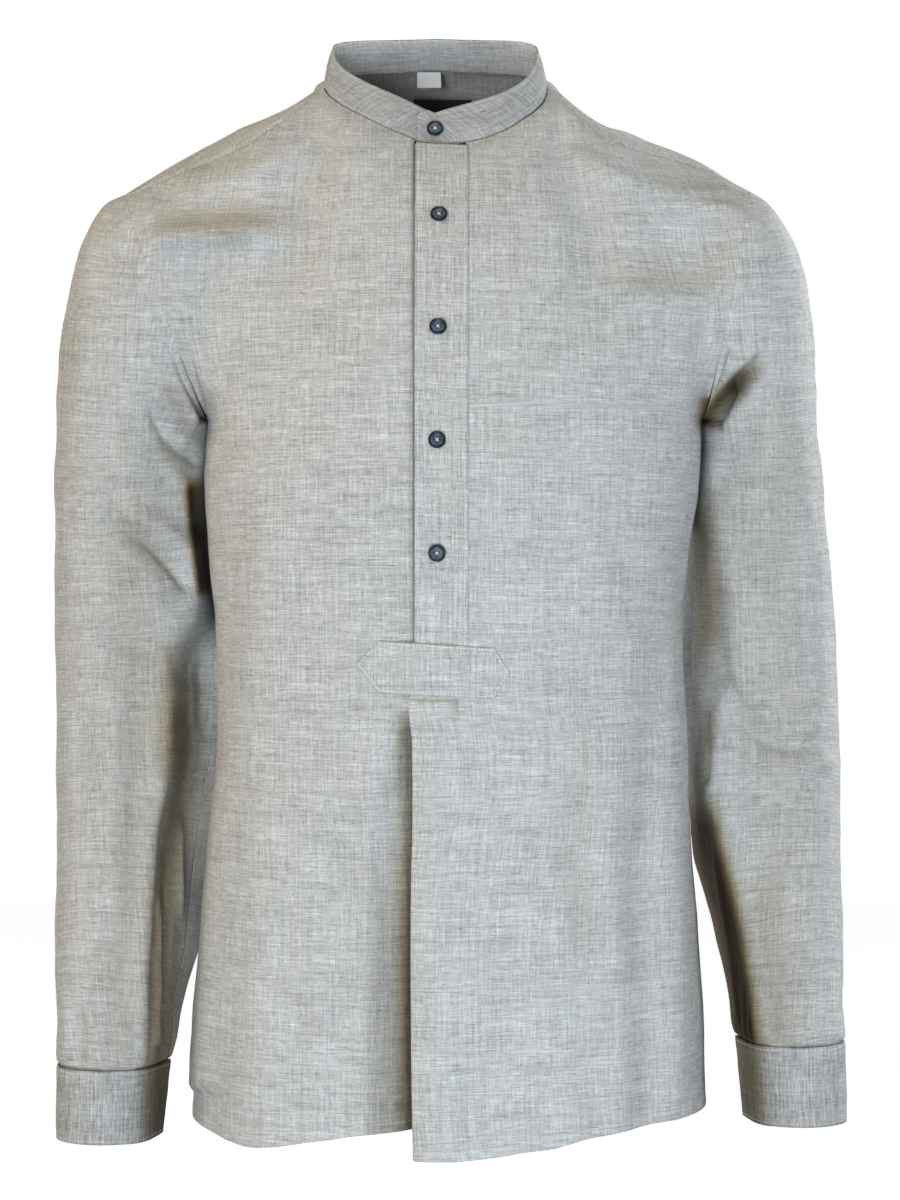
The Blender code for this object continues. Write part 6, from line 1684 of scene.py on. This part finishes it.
# ---------------------------------------------------------------- sleeves and cuffs
def pressed(side, base, around):
    """How far each point of a sleeve or cuff moves as its inner side is pressed in, facing the body, with a trough
    beside the edge where a row asks for it. base: points at every second degree round, from 0; around: the degrees
    wanted. Gives [around, row]."""
    angle = np.arange(0.0, 360.0, 2.0)
    out = np.zeros((len(around), base.shape[1], 3))
    for r in range(base.shape[1]):
        ring = base[:, r]
        middle = ring.mean(axis=0)
        u = seen(ring)[0]
        edge_u, share, step, softness = smooth_table(PRESSED[side][:, 0], PRESSED[side][:, 1:], seen(middle[None])[1])[0]
        if share <= 0:
            continue
        inner = (angle >= 92.0) & (angle <= 176.0)
        order = np.argsort(u[inner])
        corner = float(np.interp(edge_u, u[inner][order], angle[inner][order]))

        def at(degrees):
            return np.array([np.interp(degrees, np.append(angle, 360.0), np.append(ring[:, k], ring[0, k])) for k in range(3)])

        half = (ring[:, 1].max() - ring[:, 1].min()) / 2
        front = at(corner)
        front = front + (front - middle) / np.linalg.norm(front - middle) * 1.6
        at_seam = ease((seen(middle[None])[1][0] - 1000.0) / 50.0)
        last = (196.0 + 14.0 * (1 - step)) * (1 - at_seam) + 190.0 * at_seam
        fade = 34.0 * (1 - at_seam) + 22.0 * at_seam
        rear = at(196.0)
        rear[0] = at(180.0)[0] + sign(side) * 0.4
        rear[1] = middle[1] + (0.72 - 0.5 * step) * half
        new = ring.copy()
        before = (angle > corner - 44.0) & (angle <= corner)
        t = ((angle[before] - corner + 44.0) / 44.0)[:, None]
        straight = at(corner - 44.0) * (1 - t) + front * t
        pull = 0.25 + 0.75 * t**2
        new[before] = new[before] * (1 - pull) + straight * pull
        face = (angle > corner) & (angle <= last)
        t = ((angle[face] - corner) / (last - corner))[:, None]
        drop = t * (1 - step) + step * (ease(t / 0.42) * 1.16 - 0.16 * ease((t - 0.42) / 0.5))
        new[face] = front * (1 - t) + rear * t
        new[face, 1] = (front[1] * (1 - drop) + rear[1] * drop)[:, 0]
        behind = (angle > last) & (angle < last + fade)
        t = ease((angle[behind] - last) / fade)[:, None]
        new[behind] = (rear + ring[behind] - at(last)) * (1 - t) + ring[behind] * t
        moved = (new - ring) * share
        soft = np.exp(-0.5 * (np.arange(-12, 13) / (1.5 + 3.6 * softness)) ** 2)
        soft /= soft.sum()
        ringed = np.concatenate([moved[-12:], moved, moved[:12]])
        moved = np.stack([np.convolve(ringed[:, k], soft, mode="valid") for k in range(3)], axis=1)
        for k in range(3):
            out[:, r, k] = np.interp(np.mod(around, 360.0), np.append(angle, 360.0), np.append(moved[:, k], moved[0, k]))
    for _ in range(3):
        out[:, 1:-1] = 0.25 * out[:, :-2] + 0.5 * out[:, 1:-1] + 0.25 * out[:, 2:]
    return out


body_points = np.concatenate([front.reshape(-1, 3), back.reshape(-1, 3)])


def to_the_body(side, sleeve, degrees):
    """The sleeve's inner side brought up to the body under the armpit, where it hangs against it."""
    out = np.zeros_like(sleeve)
    own = sign(side)
    for r in range(sleeve.shape[1]):
        ring = sleeve[:, r]
        inner = ring[(degrees > 120.0) & (degrees < 240.0)]
        nearest = inner[np.argmin(inner[:, 0] * own)]
        v = float(seen(nearest[None])[1][0])
        window = ease((v - 396.0) / 10.0) * ease((560.0 - v) / 60.0)
        if window <= 0:
            continue
        level = np.abs(body_points[:, 2] - nearest[2]) < 5.0
        gap = nearest[0] * own - (body_points[level, 0] * own).max()
        shift = np.clip(gap - 0.6, 0.0, 9.0) * window
        out[:, r, 0] = -own * shift * np.exp(-(((degrees - 184.0) / 30.0) ** 2))
    return out


SLEEVES, CUFFS = {}, {}
for side in ("right", "left"):
    around = np.unique(np.round(np.concatenate([np.linspace(180.0, 540.0, 186), [CUFF_OPENING - 0.6, CUFF_OPENING + 0.6]]), 4))
    around = around[(np.abs(around - CUFF_OPENING) > 0.4)]
    down = shares(196, 620.0, first=True, last=True, extra=(0.02,))
    turned = np.mod(around, 360.0)
    turned[-1] = 180.0
    sleeve = sleeve_surface(side, turned, down)
    sleeve = sleeve + pressed(side, sleeve_surface(side, np.arange(0.0, 360.0, 2.0), down), turned)
    flat_sleeve = lay_sleeve(side, sleeve, int(np.argmin(np.abs(down - 0.34))))
    out_way = normals(sleeve, False) * sign(side)
    # the grid's ends meet under the arm
    joined = out_way[0] + out_way[-1]
    joined /= np.linalg.norm(joined, axis=1, keepdims=True)
    out_way[0] = out_way[-1] = joined
    u, v = seen(sleeve)
    facing = ease((-out_way[..., 1] + 0.22) / 0.42)
    seen_part = crease_height(u, v, CREASES_SLEEVE[side]) * facing
    degrees = np.repeat(turned[:, None], len(down), axis=1)
    mm_down = lengths(sleeve, 1)
    hidden_part = crease_height(degrees, mm_down, CREASES_SLEEVE_BACK[side]) * ease((out_way[..., 1] + 0.25) / 0.4)
    x = np.mod(degrees - 180.0, 360.0)
    near_seam = ease(np.minimum(x, 360.0 - x) / 10.0)
    worn = drift(x, mm_down, 36.0, 64, 0.9) * 0.8 + drift(x, mm_down, 14.0, 65, 1.0, 30.0) * 0.30
    worn += drift(x, mm_down, 6.5, 66, 1.3, -20.0) * 0.09
    # gathers into the cuff
    gathers = drift(x * 1.0, mm_down * 0.12, 7.5, 67, 1.0) * 0.7 * ease((mm_down - mm_down[:, -1:] + 46.0) / 40.0)
    moved = seen_part + hidden_part + worn * near_seam
    keep = ease(mm_down / 16.0) * ease((mm_down[:, -1:] - mm_down) / 5.0)
    deep = crease_height(u, v, CREASES_ARMPIT[side]) * facing * ease(mm_down / 12.0)
    sleeve = sleeve + out_way * (deep + moved * keep + gathers * near_seam * ease((mm_down[:, -1:] - mm_down) / 2.0))[..., None]
    to_end = mm_down[:, -1:] - mm_down
    puffed = 1.3 * ease((30.0 - to_end) / 24.0) * ease((to_end - 0.2) / 1.9)
    sleeve = sleeve + out_way * (puffed * near_seam)[..., None]
    sleeve = sleeve + to_the_body(side, sleeve, turned)
    sleeve = tucked(sleeve, sign(side), "r0", 1.5, 1.0)
    sleeve = tucked(sleeve, sign(side), "r1", 2.4, 0.45, over=1.5)
    slit_from = down > 0.787
    sleeve_holes = np.zeros((len(around) - 1, len(down) - 1), bool)
    sleeve_holes[int(np.argmin(np.abs(around - (CUFF_OPENING - 0.6)))), slit_from[:-1]] = True
    # painted shade on the sleeve's folds and its inner side by the body
    painted_shade_sleeve = crease_height(*seen(sleeve), PAINTED_SHADE_SLEEVE[side]) * ease((-out_way[..., 1] + 0.75) / 0.6)
    obj = shell(f"sleeve_{side}_cloth", sleeve, THIN, sign(side), flat_sleeve, cloth, sleeve_holes, painted_shade_sleeve)
    SLEEVES[side] = (sleeve, around, down, obj)
    band_round = np.linspace(CUFF_OPENING - CUFF_OVERLAP, CUFF_OPENING + 360.0, 170)
    cuff_rows = np.linspace(0.0, 1.0, 36)
    whole_round = np.arange(0.0, 360.0, 2.0)
    whole_round = np.where(whole_round < CUFF_OPENING - CUFF_OVERLAP, whole_round + 360.0, whole_round)
    cuff = cuff_surface(side, band_round, cuff_rows)
    cuff = cuff + pressed(side, cuff_surface(side, whole_round, cuff_rows), band_round)
    flat_cuff = lay_flat(cuff, 85, 0)
    cuff_out = normals(cuff, False) * sign(side)
    a, b = flat_cuff[..., 0], flat_cuff[..., 1]
    worn = drift(a, b, 26.0, 74, 1.0) * 0.45 + drift(a, b, 10.0, 75, 0.7) * 0.18
    lap_end = ease((band_round - (CUFF_OPENING - CUFF_OVERLAP)) / 40.0) * ease((CUFF_OPENING + 360.0 - band_round) / 40.0)
    edge = edge_distance(cuff, ["r0", "r1", "c0", "c1"])
    rim = 0.3 * (1 - ease(lengths(cuff, 1) / 3.0))
    cuff = cuff + cuff_out * (-rim + worn * kept(cuff, ["c0", "c1", "r0"], 7.0) * lap_end[:, None] - 0.16 * np.exp(-(((edge - 2.4) / 0.55) ** 2)))[..., None]
    # painted shade on the cuff's inner side
    painted_shade_cuff = crease_height(*seen(cuff), PAINTED_SHADE_CUFF[side]) * ease((-cuff_out[..., 1] + 0.75) / 0.6)
    obj = shell(f"cuff_{side}_cloth", cuff, BAND_THIN, sign(side), flat_cuff, cloth_band, None, painted_shade_cuff)
    CUFFS[side] = (cuff, band_round, obj)

# ================================================================ sewing
def row_line(grid, outward, distance, last, thick, first_column=0, last_column=None, lift=0.0):
    """A line of points this far in from a piece's first or last row."""
    rows = inset_rows(grid, last, distance)
    columns = np.arange(grid.shape[0])
    stop = grid.shape[0] if last_column is None else last_column
    points, out = on_grid(grid, outward, columns[first_column:stop], rows[first_column:stop], thick)
    return points + out * lift, out


def column_line(grid, outward, distance, last, thick, first_row=0, last_row=None, lift=0.0):
    columns = inset_columns(grid, last, distance)
    rows = np.arange(grid.shape[1])
    stop = grid.shape[1] if last_row is None else last_row
    points, out = on_grid(grid, outward, columns[first_row:stop], rows[first_row:stop], thick)
    return points + out * lift, out


def sew(name, lines, parent, made_of=grey_thread, length=2.3, gap=0.8, radius=0.2, seed=1):
    bits = []
    for k, (points, out) in enumerate(lines):
        bits += stitch_row(points, out, length, gap, seed * 31 + k)
    return thread(name, bits, made_of, radius, parent)


# hems
hem_lines = [row_line(front, -1.0, 6.2, True, THIN, 2, len(across_front) + 3), row_line(front, -1.0, 6.2, True, THIN, len(across_front) + pleat_count - 9, front.shape[0] - 2)]
sew("front_hem_stitches", hem_lines, front_obj, seed=1)
sew("back_hem_stitches", [row_line(back, 1.0, 6.2, True, THIN, 2, -2)], back_obj, seed=2)
# yoke: topstitched beside its front and back seams
sew(
    "yoke_stitches",
    [row_line(yoke, 1.0, 2.2, True, THIN, 3, -3), row_line(yoke, 1.0, 2.2, False, THIN, 3, len(shoulder_fine) - 2), row_line(yoke, 1.0, 2.2, False, THIN, len(yoke_across) - len(shoulder_fine) + 2, -3)],
    yoke_obj,
    seed=3,
)
# placket edges
sew(
    "placket_stitches",
    [column_line(placket, -1.0, 2.1, False, BAND_THIN, 1, -1), column_line(placket, -1.0, 2.6, True, BAND_THIN, 1, -1)],
    placket_obj,
    seed=4,
    length=2.0,
    gap=0.7,
)
# collar: along the rim, the seam and round the end
sew(
    "collar_stitches",
    [row_line(collar, -1.0, 2.2, False, BAND_THIN, 4, -3), row_line(collar, -1.0, 2.2, True, BAND_THIN, 4, -3), column_line(collar, -1.0, 2.4, True, BAND_THIN, 2, -3)],
    collar_obj,
    seed=5,
    length=2.0,
    gap=0.75,
)
# tab: round its six sides
corners = [(-55.4, -418.3), (-43.3, -403.7), (36.5, -408.3), (46.2, -423.9), (36.1, -440.4), (-41.7, -436.4), (-55.4, -418.3)]
points = np.concatenate([np.linspace(a, b, 40)[:-1] for a, b in zip(corners, corners[1:])] + [np.array(corners[-1:])])
tab_columns = np.interp(points[:, 0], tab[:, 0, 0], np.arange(tab.shape[0]))
tab_rows = []
for (x, z), c in zip(points, tab_columns):
    line = tab[int(round(c)), :, 2]
    tab_rows.append(np.interp(-z, -line, np.arange(len(line))))
sew("tab_stitches", [on_grid(tab, -1.0, tab_columns, tab_rows, THIN)], tab_obj, made_of=pale_thread, seed=6, length=1.7, gap=0.8, radius=0.30)
for side in ("right", "left"):
    sleeve, around, down, obj = SLEEVES[side]
    # the sleeve is felled to the body: a row beside the armhole
    sew(f"sleeve_{side}_stitches", [row_line(sleeve, sign(side), 2.6, False, THIN, 2, -2)], obj, seed=7)
    cuff, band_round, cuff_obj = CUFFS[side]
    sew(
        f"cuff_{side}_stitches",
        [
            row_line(cuff, sign(side), 2.4, False, BAND_THIN, 3, -3),
            row_line(cuff, sign(side), 2.4, True, BAND_THIN, 3, -3),
            column_line(cuff, sign(side), 2.4, True, BAND_THIN, 2, -2),
        ],
        cuff_obj,
        seed=8,
    )


# ---------------------------------------------------------------- buttons
def turned_profile():
    """Radius and height of a button's turned section, mm, from the middle of its back to the middle of its face."""
    r, h = BUTTON_DIAMETER / 2, BUTTON_THICK
    rows = [(0.0, 0.0), (r * 0.4, 0.0), (r * 0.62, 0.02), (r * 0.85, 0.32), (r * 0.96, 0.75), (r, 1.25), (r * 0.99, 1.75), (r * 0.955, 2.12)]
    rows += [(r * 0.90, 2.33), (r * 0.85, h), (r * 0.79, 2.38), (r * 0.745, 2.22), (r * 0.70, 1.98), (r * 0.655, 1.82), (r * 0.60, 1.74), (r * 0.5, 1.70)]
    return rows + [(r * 0.38, 1.68), (r * 0.26, 1.67), (r * 0.14, 1.67), (0.0, 1.67)]


def full_button(name, at, direction, vertical):
    """A four-hole sew-through button as turned, with its holes and its thread; its axis is Z, its holes about it."""
    profile = turned_profile()
    turns = 56
    points, faces = [], []
    for r, h in profile[1:-1]:
        for k in range(turns):
            a = 2 * math.pi * k / turns
            points.append((r * math.cos(a), r * math.sin(a), h))
    rings = len(profile) - 2
    for i in range(rings - 1):
        for k in range(turns):
            m = (k + 1) % turns
            faces.append([i * turns + k, i * turns + m, (i + 1) * turns + m, (i + 1) * turns + k])
    faces.append([k for k in range(turns)][::-1])
    faces.append([(rings - 1) * turns + k for k in range(turns)])
    body = plain_mesh(name, points, faces, navy)
    cutters = []
    hole_at = 1.32
    for k in range(4):
        a = math.pi / 4 + math.pi / 2 * k
        cx, cy = hole_at * math.cos(a) * 1.0, hole_at * math.sin(a)
        ring = [(cx + 0.62 * math.cos(t), cy + 0.62 * math.sin(t)) for t in np.linspace(0, 2 * math.pi, 15)[:-1]]
        p = [(x, y, -1.0) for x, y in ring] + [(x, y, 4.0) for x, y in ring]
        n = len(ring)
        f = [[i, (i + 1) % n, n + (i + 1) % n, n + i] for i in range(n)] + [list(range(n))[::-1], list(range(n, 2 * n))]
        cutters.append(plain_mesh(f"cut_{name}_{k}", p, f, navy, smooth=False))
    for cutter in cutters:
        cut = body.modifiers.new("hole", "BOOLEAN")
        cut.operation, cut.solver, cut.object = "DIFFERENCE", "EXACT", cutter
    graph = bpy.context.evaluated_depsgraph_get()
    mesh = bpy.data.meshes.new_from_object(body.evaluated_get(graph))
    body.modifiers.clear()
    old, body.data = body.data, mesh
    bpy.data.meshes.remove(old)
    for cutter in cutters:
        bpy.data.objects.remove(cutter, do_unlink=True)
    body.data.shade_smooth()
    flat_enough = body.data
    flat_enough.set_sharp_from_angle(angle=math.radians(50.0))
    z_axis = np.asarray(direction, float) / np.linalg.norm(direction)
    x_axis = np.cross([0.0, 0.0, 1.0], z_axis)
    x_axis /= np.linalg.norm(x_axis)
    y_axis = np.cross(z_axis, x_axis)
    matrix = np.eye(4)
    matrix[:3, :3] = np.stack([x_axis, y_axis, z_axis], axis=1)
    matrix[:3, 3] = np.asarray(at) / 1000.0
    body.matrix_world = Matrix(matrix.tolist())
    # two bits of thread, crossed from hole to hole
    bits = []
    d = hole_at * math.sqrt(0.5)
    for k, (x, y) in enumerate(((1.0, 1.0), (1.0, -1.0))):
        for off in (-0.17, 0.0, 0.17):
            middle = np.array([off * y, -off * x, 1.70 + 0.16 * k + 0.05])
            way = np.array([x, y, 0.0]) / math.sqrt(2)
            bits.append((middle, way, np.array([0.0, 0.0, 1.0]), 2 * d * math.sqrt(2) + 0.5))
    crossed = thread(name + "_thread", bits, pale_thread, 0.13, body)
    crossed.matrix_parent_inverse = Matrix.Identity(4)
    return body


def buttonhole(name, grid, outward, column, row, upright, parent, thick):
    """A worked buttonhole 14 mm long: two rows of dense stitches and a bar at each end, round a shut slit."""
    at, out = on_grid(grid, outward, [column], [row], thick)
    at, out = at[0], out[0]
    up = np.array([0.0, 0.0, 1.0]) - out * out[2]
    up /= np.linalg.norm(up)
    side = np.cross(up, out)
    long, short = (up, side) if upright else (side, up)
    bits = []
    for s in np.arange(-7.0, 7.01, 0.42):
        for k in (-1.0, 1.0):
            bits.append((at + long * s + short * k * 0.72 + out * 0.05, short, out, 1.25))
    for e in (-1.0, 1.0):
        for s in (0.0, 0.36, 0.72):
            bits.append((at + long * e * (7.2 + s) + out * 0.08, short, out, 2.7))
    thread(name, bits, pale_thread, 0.17, parent)


buttons = []
placket_across = np.arange(placket.shape[0])
for k, (x, z) in enumerate(zip(BUTTON_X, BUTTON_Z)):
    at, direction = on_strip(placket_flat_grid, x, z)
    body = full_button(f"button_{k + 2}_turned", at + direction * (BAND_WALL / 2 + SEAM), direction, True)
    buttons.append((body, f"button_{k + 2}"))
    row_at = int(np.argmin(np.abs(placket[13, :, 2] - z)))
    column_at = float(np.interp(x, placket[:, row_at, 0], placket_across))
    row_exact = float(np.interp(-z, -placket[13, :, 2], np.arange(placket.shape[1])))
    buttonhole(f"buttonhole_{k + 2}", placket, -1.0, column_at, row_exact, True, placket_obj, BAND_THIN)
patch = collar_surface(1 - np.array([10.5, 9.5, 8.5]) / whole_collar, [0.4, 0.5, 0.6])
direction = front_normal(patch)[1, 1]
body = full_button("button_1_turned", patch[1, 1] + direction * (BAND_WALL / 2 + SEAM + 0.1), direction, False)
buttons.append((body, "button_1"))
collar_column = float(np.interp(1 - 9.5 / whole_collar, travel, np.arange(len(travel))))
buttonhole("buttonhole_1", collar, -1.0, collar_column, 12.5, False, collar_obj, BAND_THIN)
for side in ("right", "left"):
    cuff, band_round, cuff_obj = CUFFS[side]
    at = cuff_surface(side, np.array([CUFF_OPENING + 360.0 - 13.0]), np.array([0.0, 0.5, 1.0]))[0, 1]
    a = math.radians(CUFF_OPENING - 13.0)
    direction = np.array([sign(side) * math.cos(a), -math.sin(a), 0.0])
    body = full_button(f"cuff_button_{side}_turned", at + direction * (BAND_WALL / 2 + SEAM), direction, False)
    buttons.append((body, f"cuff_button_{side}"))
    column = float(np.interp(CUFF_OPENING + 360.0 - 13.0, band_round, np.arange(len(band_round))))
    buttonhole(f"buttonhole_cuff_{side}", cuff, sign(side), column, 17.5, False, cuff_obj, BAND_THIN)
for body, node in buttons:
    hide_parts(node)
    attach(body, "root")

# ---------------------------------------------------------------- size tab and neck label, both bare
white_tape = tape("tape_white", (0.97, 0.98, 1.0), (0.97, 0.98, 1.0), 9.0, 9.1)
x0, x1, high, low, y = SIZE_TAB
s, t = np.linspace(0, 1, 22), np.linspace(0, 1, 18)
tab_grid = np.zeros((22, 18, 3))
tab_grid[..., 0] = x0 + (x1 - x0) * s[:, None]
tab_grid[..., 2] = high + (low - high) * t[None]
tab_grid[..., 1] = y + 0.35 * np.sin(s * 5.0)[:, None] * t[None] - 0.5 * t[None] ** 2
size_obj = shell("size_tab_tape", tab_grid, 0.5, 1.0, np.stack([tab_grid[..., 0], tab_grid[..., 2]], axis=2), white_tape)
x0, x1, near, far = NECK_LABEL
coarse_shoulder = YOKE_NECK + (1 - YOKE_NECK) * (1 - RIGHT_COLUMNS[RIGHT_COLUMNS <= NECK_COLUMN] / NECK_COLUMN)
coarse_across = np.concatenate([-coarse_shoulder, np.linspace(-YOKE_NECK, YOKE_NECK, 15)[1:-1], coarse_shoulder[::-1]])
coarse_down = np.linspace(0.010, 0.994, 7)
coarse = yoke_surface(coarse_across, coarse_down)
depth = np.linspace(near, far, 20)
middle = coarse[np.abs(coarse_across) < YOKE_NECK]
sheet = np.array([[[np.interp(d, coarse_down, line[:, k]) for k in range(3)] for d in depth] for line in middle])
label = np.array([[[x, *[np.interp(x, sheet[:, r, 0], sheet[:, r, k]) for k in (1, 2)]] for r in range(len(depth))] for x in np.linspace(x0, x1, 26)])
inward = normals(label, False)
inward *= np.where(inward[..., 2:3] > 0, -1.0, 1.0)
label = label + inward * (WALL / 2 + SEAM + 0.7)
flat_label = lay_flat(label, 13, 0)
long_label = float(flat_label[13, -1, 1])
woven = tape("tape_woven", (0.028, 0.024, 0.020), (0.42, 0.38, 0.30), long_label * 0.30 / 100.0, long_label * 0.62 / 100.0, sheen=0.4)
label_obj = shell("neck_label_tape", label, 0.5, -1.0, flat_label, woven)

# ================================================================ each piece takes its CAD part's place, which is hidden, and hangs from the root
def flat_of(grid, holes=None):
    """Width and length of a piece's flat cloth in metres, and its area."""
    w = float(lengths(grid, 0)[-1].max()) / 1000.0
    l = float(lengths(grid, 1)[:, -1].max()) / 1000.0
    return w, l, area_of(grid, holes)


def sheet_of(obj, node, grid, holes=None, size=None):
    w, l, area = flat_of(grid, holes)
    if size is not None:
        w, l = size
    area = min(max(area, 0.31 * w * l), w * l)
    declare(obj, node)


sheet_of(front_obj, "front", front, front_holes)
sheet_of(back_obj, "back", back)
sheet_of(yoke_obj, "yoke", yoke)
sheet_of(placket_obj, "placket", placket)
sheet_of(under_obj, "placket_under", under)
sheet_of(collar_obj, "collar", collar)
sheet_of(tab_obj, "tab", tab)
sheet_of(size_obj, "size_tab", tab_grid)
sheet_of(label_obj, "neck_label", label)
for side in ("right", "left"):
    sheet_of(SLEEVES[side][3], f"sleeve_{side}", SLEEVES[side][0])
    sheet_of(CUFFS[side][2], f"cuff_{side}", CUFFS[side][0])

# ================================================================ camera, floor and light
def stage_material(name, colour, glow):
    g = Graph(name)
    grain = g.noise(g.node("TexCoord").outputs["Object"], 6.0, 3.0)
    shade = g.node("Mix", {0: grain, 6: (*[c * 0.985 for c in colour], 1.0), 7: (*colour, 1.0)}, data_type="RGBA")
    g.link(shade.outputs[2], g.shader.inputs["Base Color"])
    g.shader.inputs["Roughness"].default_value = 0.95
    g.shader.inputs["Specular IOR Level"].default_value = 0.0
    g.link(shade.outputs[2], g.shader.inputs["Emission Color"])
    g.shader.inputs["Emission Strength"].default_value = glow
    return g.material


pale = stage_material("pale_backdrop", (0.96, 0.96, 0.96), 1.0)
for name, corners in (
    ("floor", [(-14, -9, -1.5), (14, -9, -1.5), (14, 9, -1.5), (-14, 9, -1.5)]),
    ("wall_back", [(-14, 9, -1.5), (14, 9, -1.5), (14, 9, 12), (-14, 9, 12)]),
    ("wall_front", [(-14, -9, -1.5), (14, -9, -1.5), (14, -9, 12), (-14, -9, 12)]),
    ("wall_left", [(-14, -9, -1.5), (-14, 9, -1.5), (-14, 9, 12), (-14, -9, 12)]),
    ("wall_right", [(14, -9, -1.5), (14, 9, -1.5), (14, 9, 12), (14, -9, 12)]),
):
    mesh = bpy.data.meshes.new(name)
    mesh.from_pydata(corners, [], [[0, 1, 2, 3]])
    plane = bpy.data.objects.new(name, mesh)
    bpy.context.scene.collection.objects.link(plane)
    mesh.materials.append(pale)
    # they show, but don't light the shirt
    plane.visible_diffuse = plane.visible_glossy = plane.visible_transmission = plane.visible_shadow = False

scene = bpy.context.scene
lens = bpy.data.cameras.new("camera")
lens.sensor_fit, lens.sensor_width, lens.sensor_height = "AUTO", 36.0, 36.0
lens.lens = 90.4
lens.clip_start, lens.clip_end = 0.05, 60.0
camera = bpy.data.objects.new("camera", lens)
camera.location = (0.0069, -2.2, -0.374)
camera.rotation_euler = (math.radians(90.0), 0.0, 0.0)
scene.collection.objects.link(camera)
scene.camera = camera

world = bpy.data.worlds.new("studio")
world.use_nodes = True
scene.world = world
sky = world.node_tree.nodes["Background"]
sky.inputs["Color"].default_value = (1.0, 0.98, 0.94, 1.0)
sky.inputs["Strength"].default_value = 0.03


def lamp(name, at, aim, size, power, colour):
    light = bpy.data.lights.new(name, "AREA")
    light.shape, light.size, light.energy, light.color = "DISK", size, power, colour
    obj = bpy.data.objects.new(name, light)
    way = np.array(aim, float) - np.array(at, float)
    way /= np.linalg.norm(way)
    side = np.cross(way, [0.0, 0.0, 1.0])
    side /= np.linalg.norm(side)
    up = np.cross(side, way)
    matrix = np.eye(4)
    matrix[:3, :3] = np.stack([side, up, -way], axis=1)
    matrix[:3, 3] = at
    obj.matrix_world = Matrix(matrix.tolist())
    scene.collection.objects.link(obj)
    return obj


# strengths in red, green and blue apart, W
for name, at, size, (r, g, b) in (
    ("key_left", (-0.8, -2.75, -0.5), 0.9, (30.8, 32.3, 33.8)),
    ("low_front", (0.0, -2.0, -1.45), 1.1, (23.5, 25.0, 26.4)),
    ("right", (2.3, -1.0, -0.5), 1.1, (17.5, 18.9, 20.8)),
    ("left", (-2.4, -0.3, -0.3), 1.2, (10.5, 9.0, 7.0)),
    ("left_high", (-1.5, -0.5, 1.3), 1.2, (18.5, 15.2, 11.0)),
    ("right_high", (1.5, -0.5, 1.3), 1.2, (10.5, 10.4, 9.4)),
    ("top_front", (0.0, -1.7, 1.5), 0.9, (8.5, 8.4, 8.2)),
    ("back_left", (2.3, 1.8, 0.5), 1.1, (84.0, 85.0, 86.0)),
    ("back_right", (-1.5, 2.5, -0.7), 1.2, (40.0, 40.0, 40.0)),
):
    most = max(r, g, b)
    lamp(name, at, (0.0, 0.0, -0.4), size, most, (r / most, g / most, b / most))
# a weak one in the hollow body, so that the inside reads through the neck
hollow = lamp("hollow", (0.0, 0.0, -0.45), (0.0, 0.03, 0.0), 0.2, 0.1, (1.0, 0.95, 0.86))
hollow.visible_camera = False
scene.view_settings.view_transform = "Standard"
scene.view_settings.look = "None"
scene.view_settings.exposure = 0.0
scene.view_settings.gamma = 0.82
scene.cycles.use_denoising = True

low, high = CAD_BOX
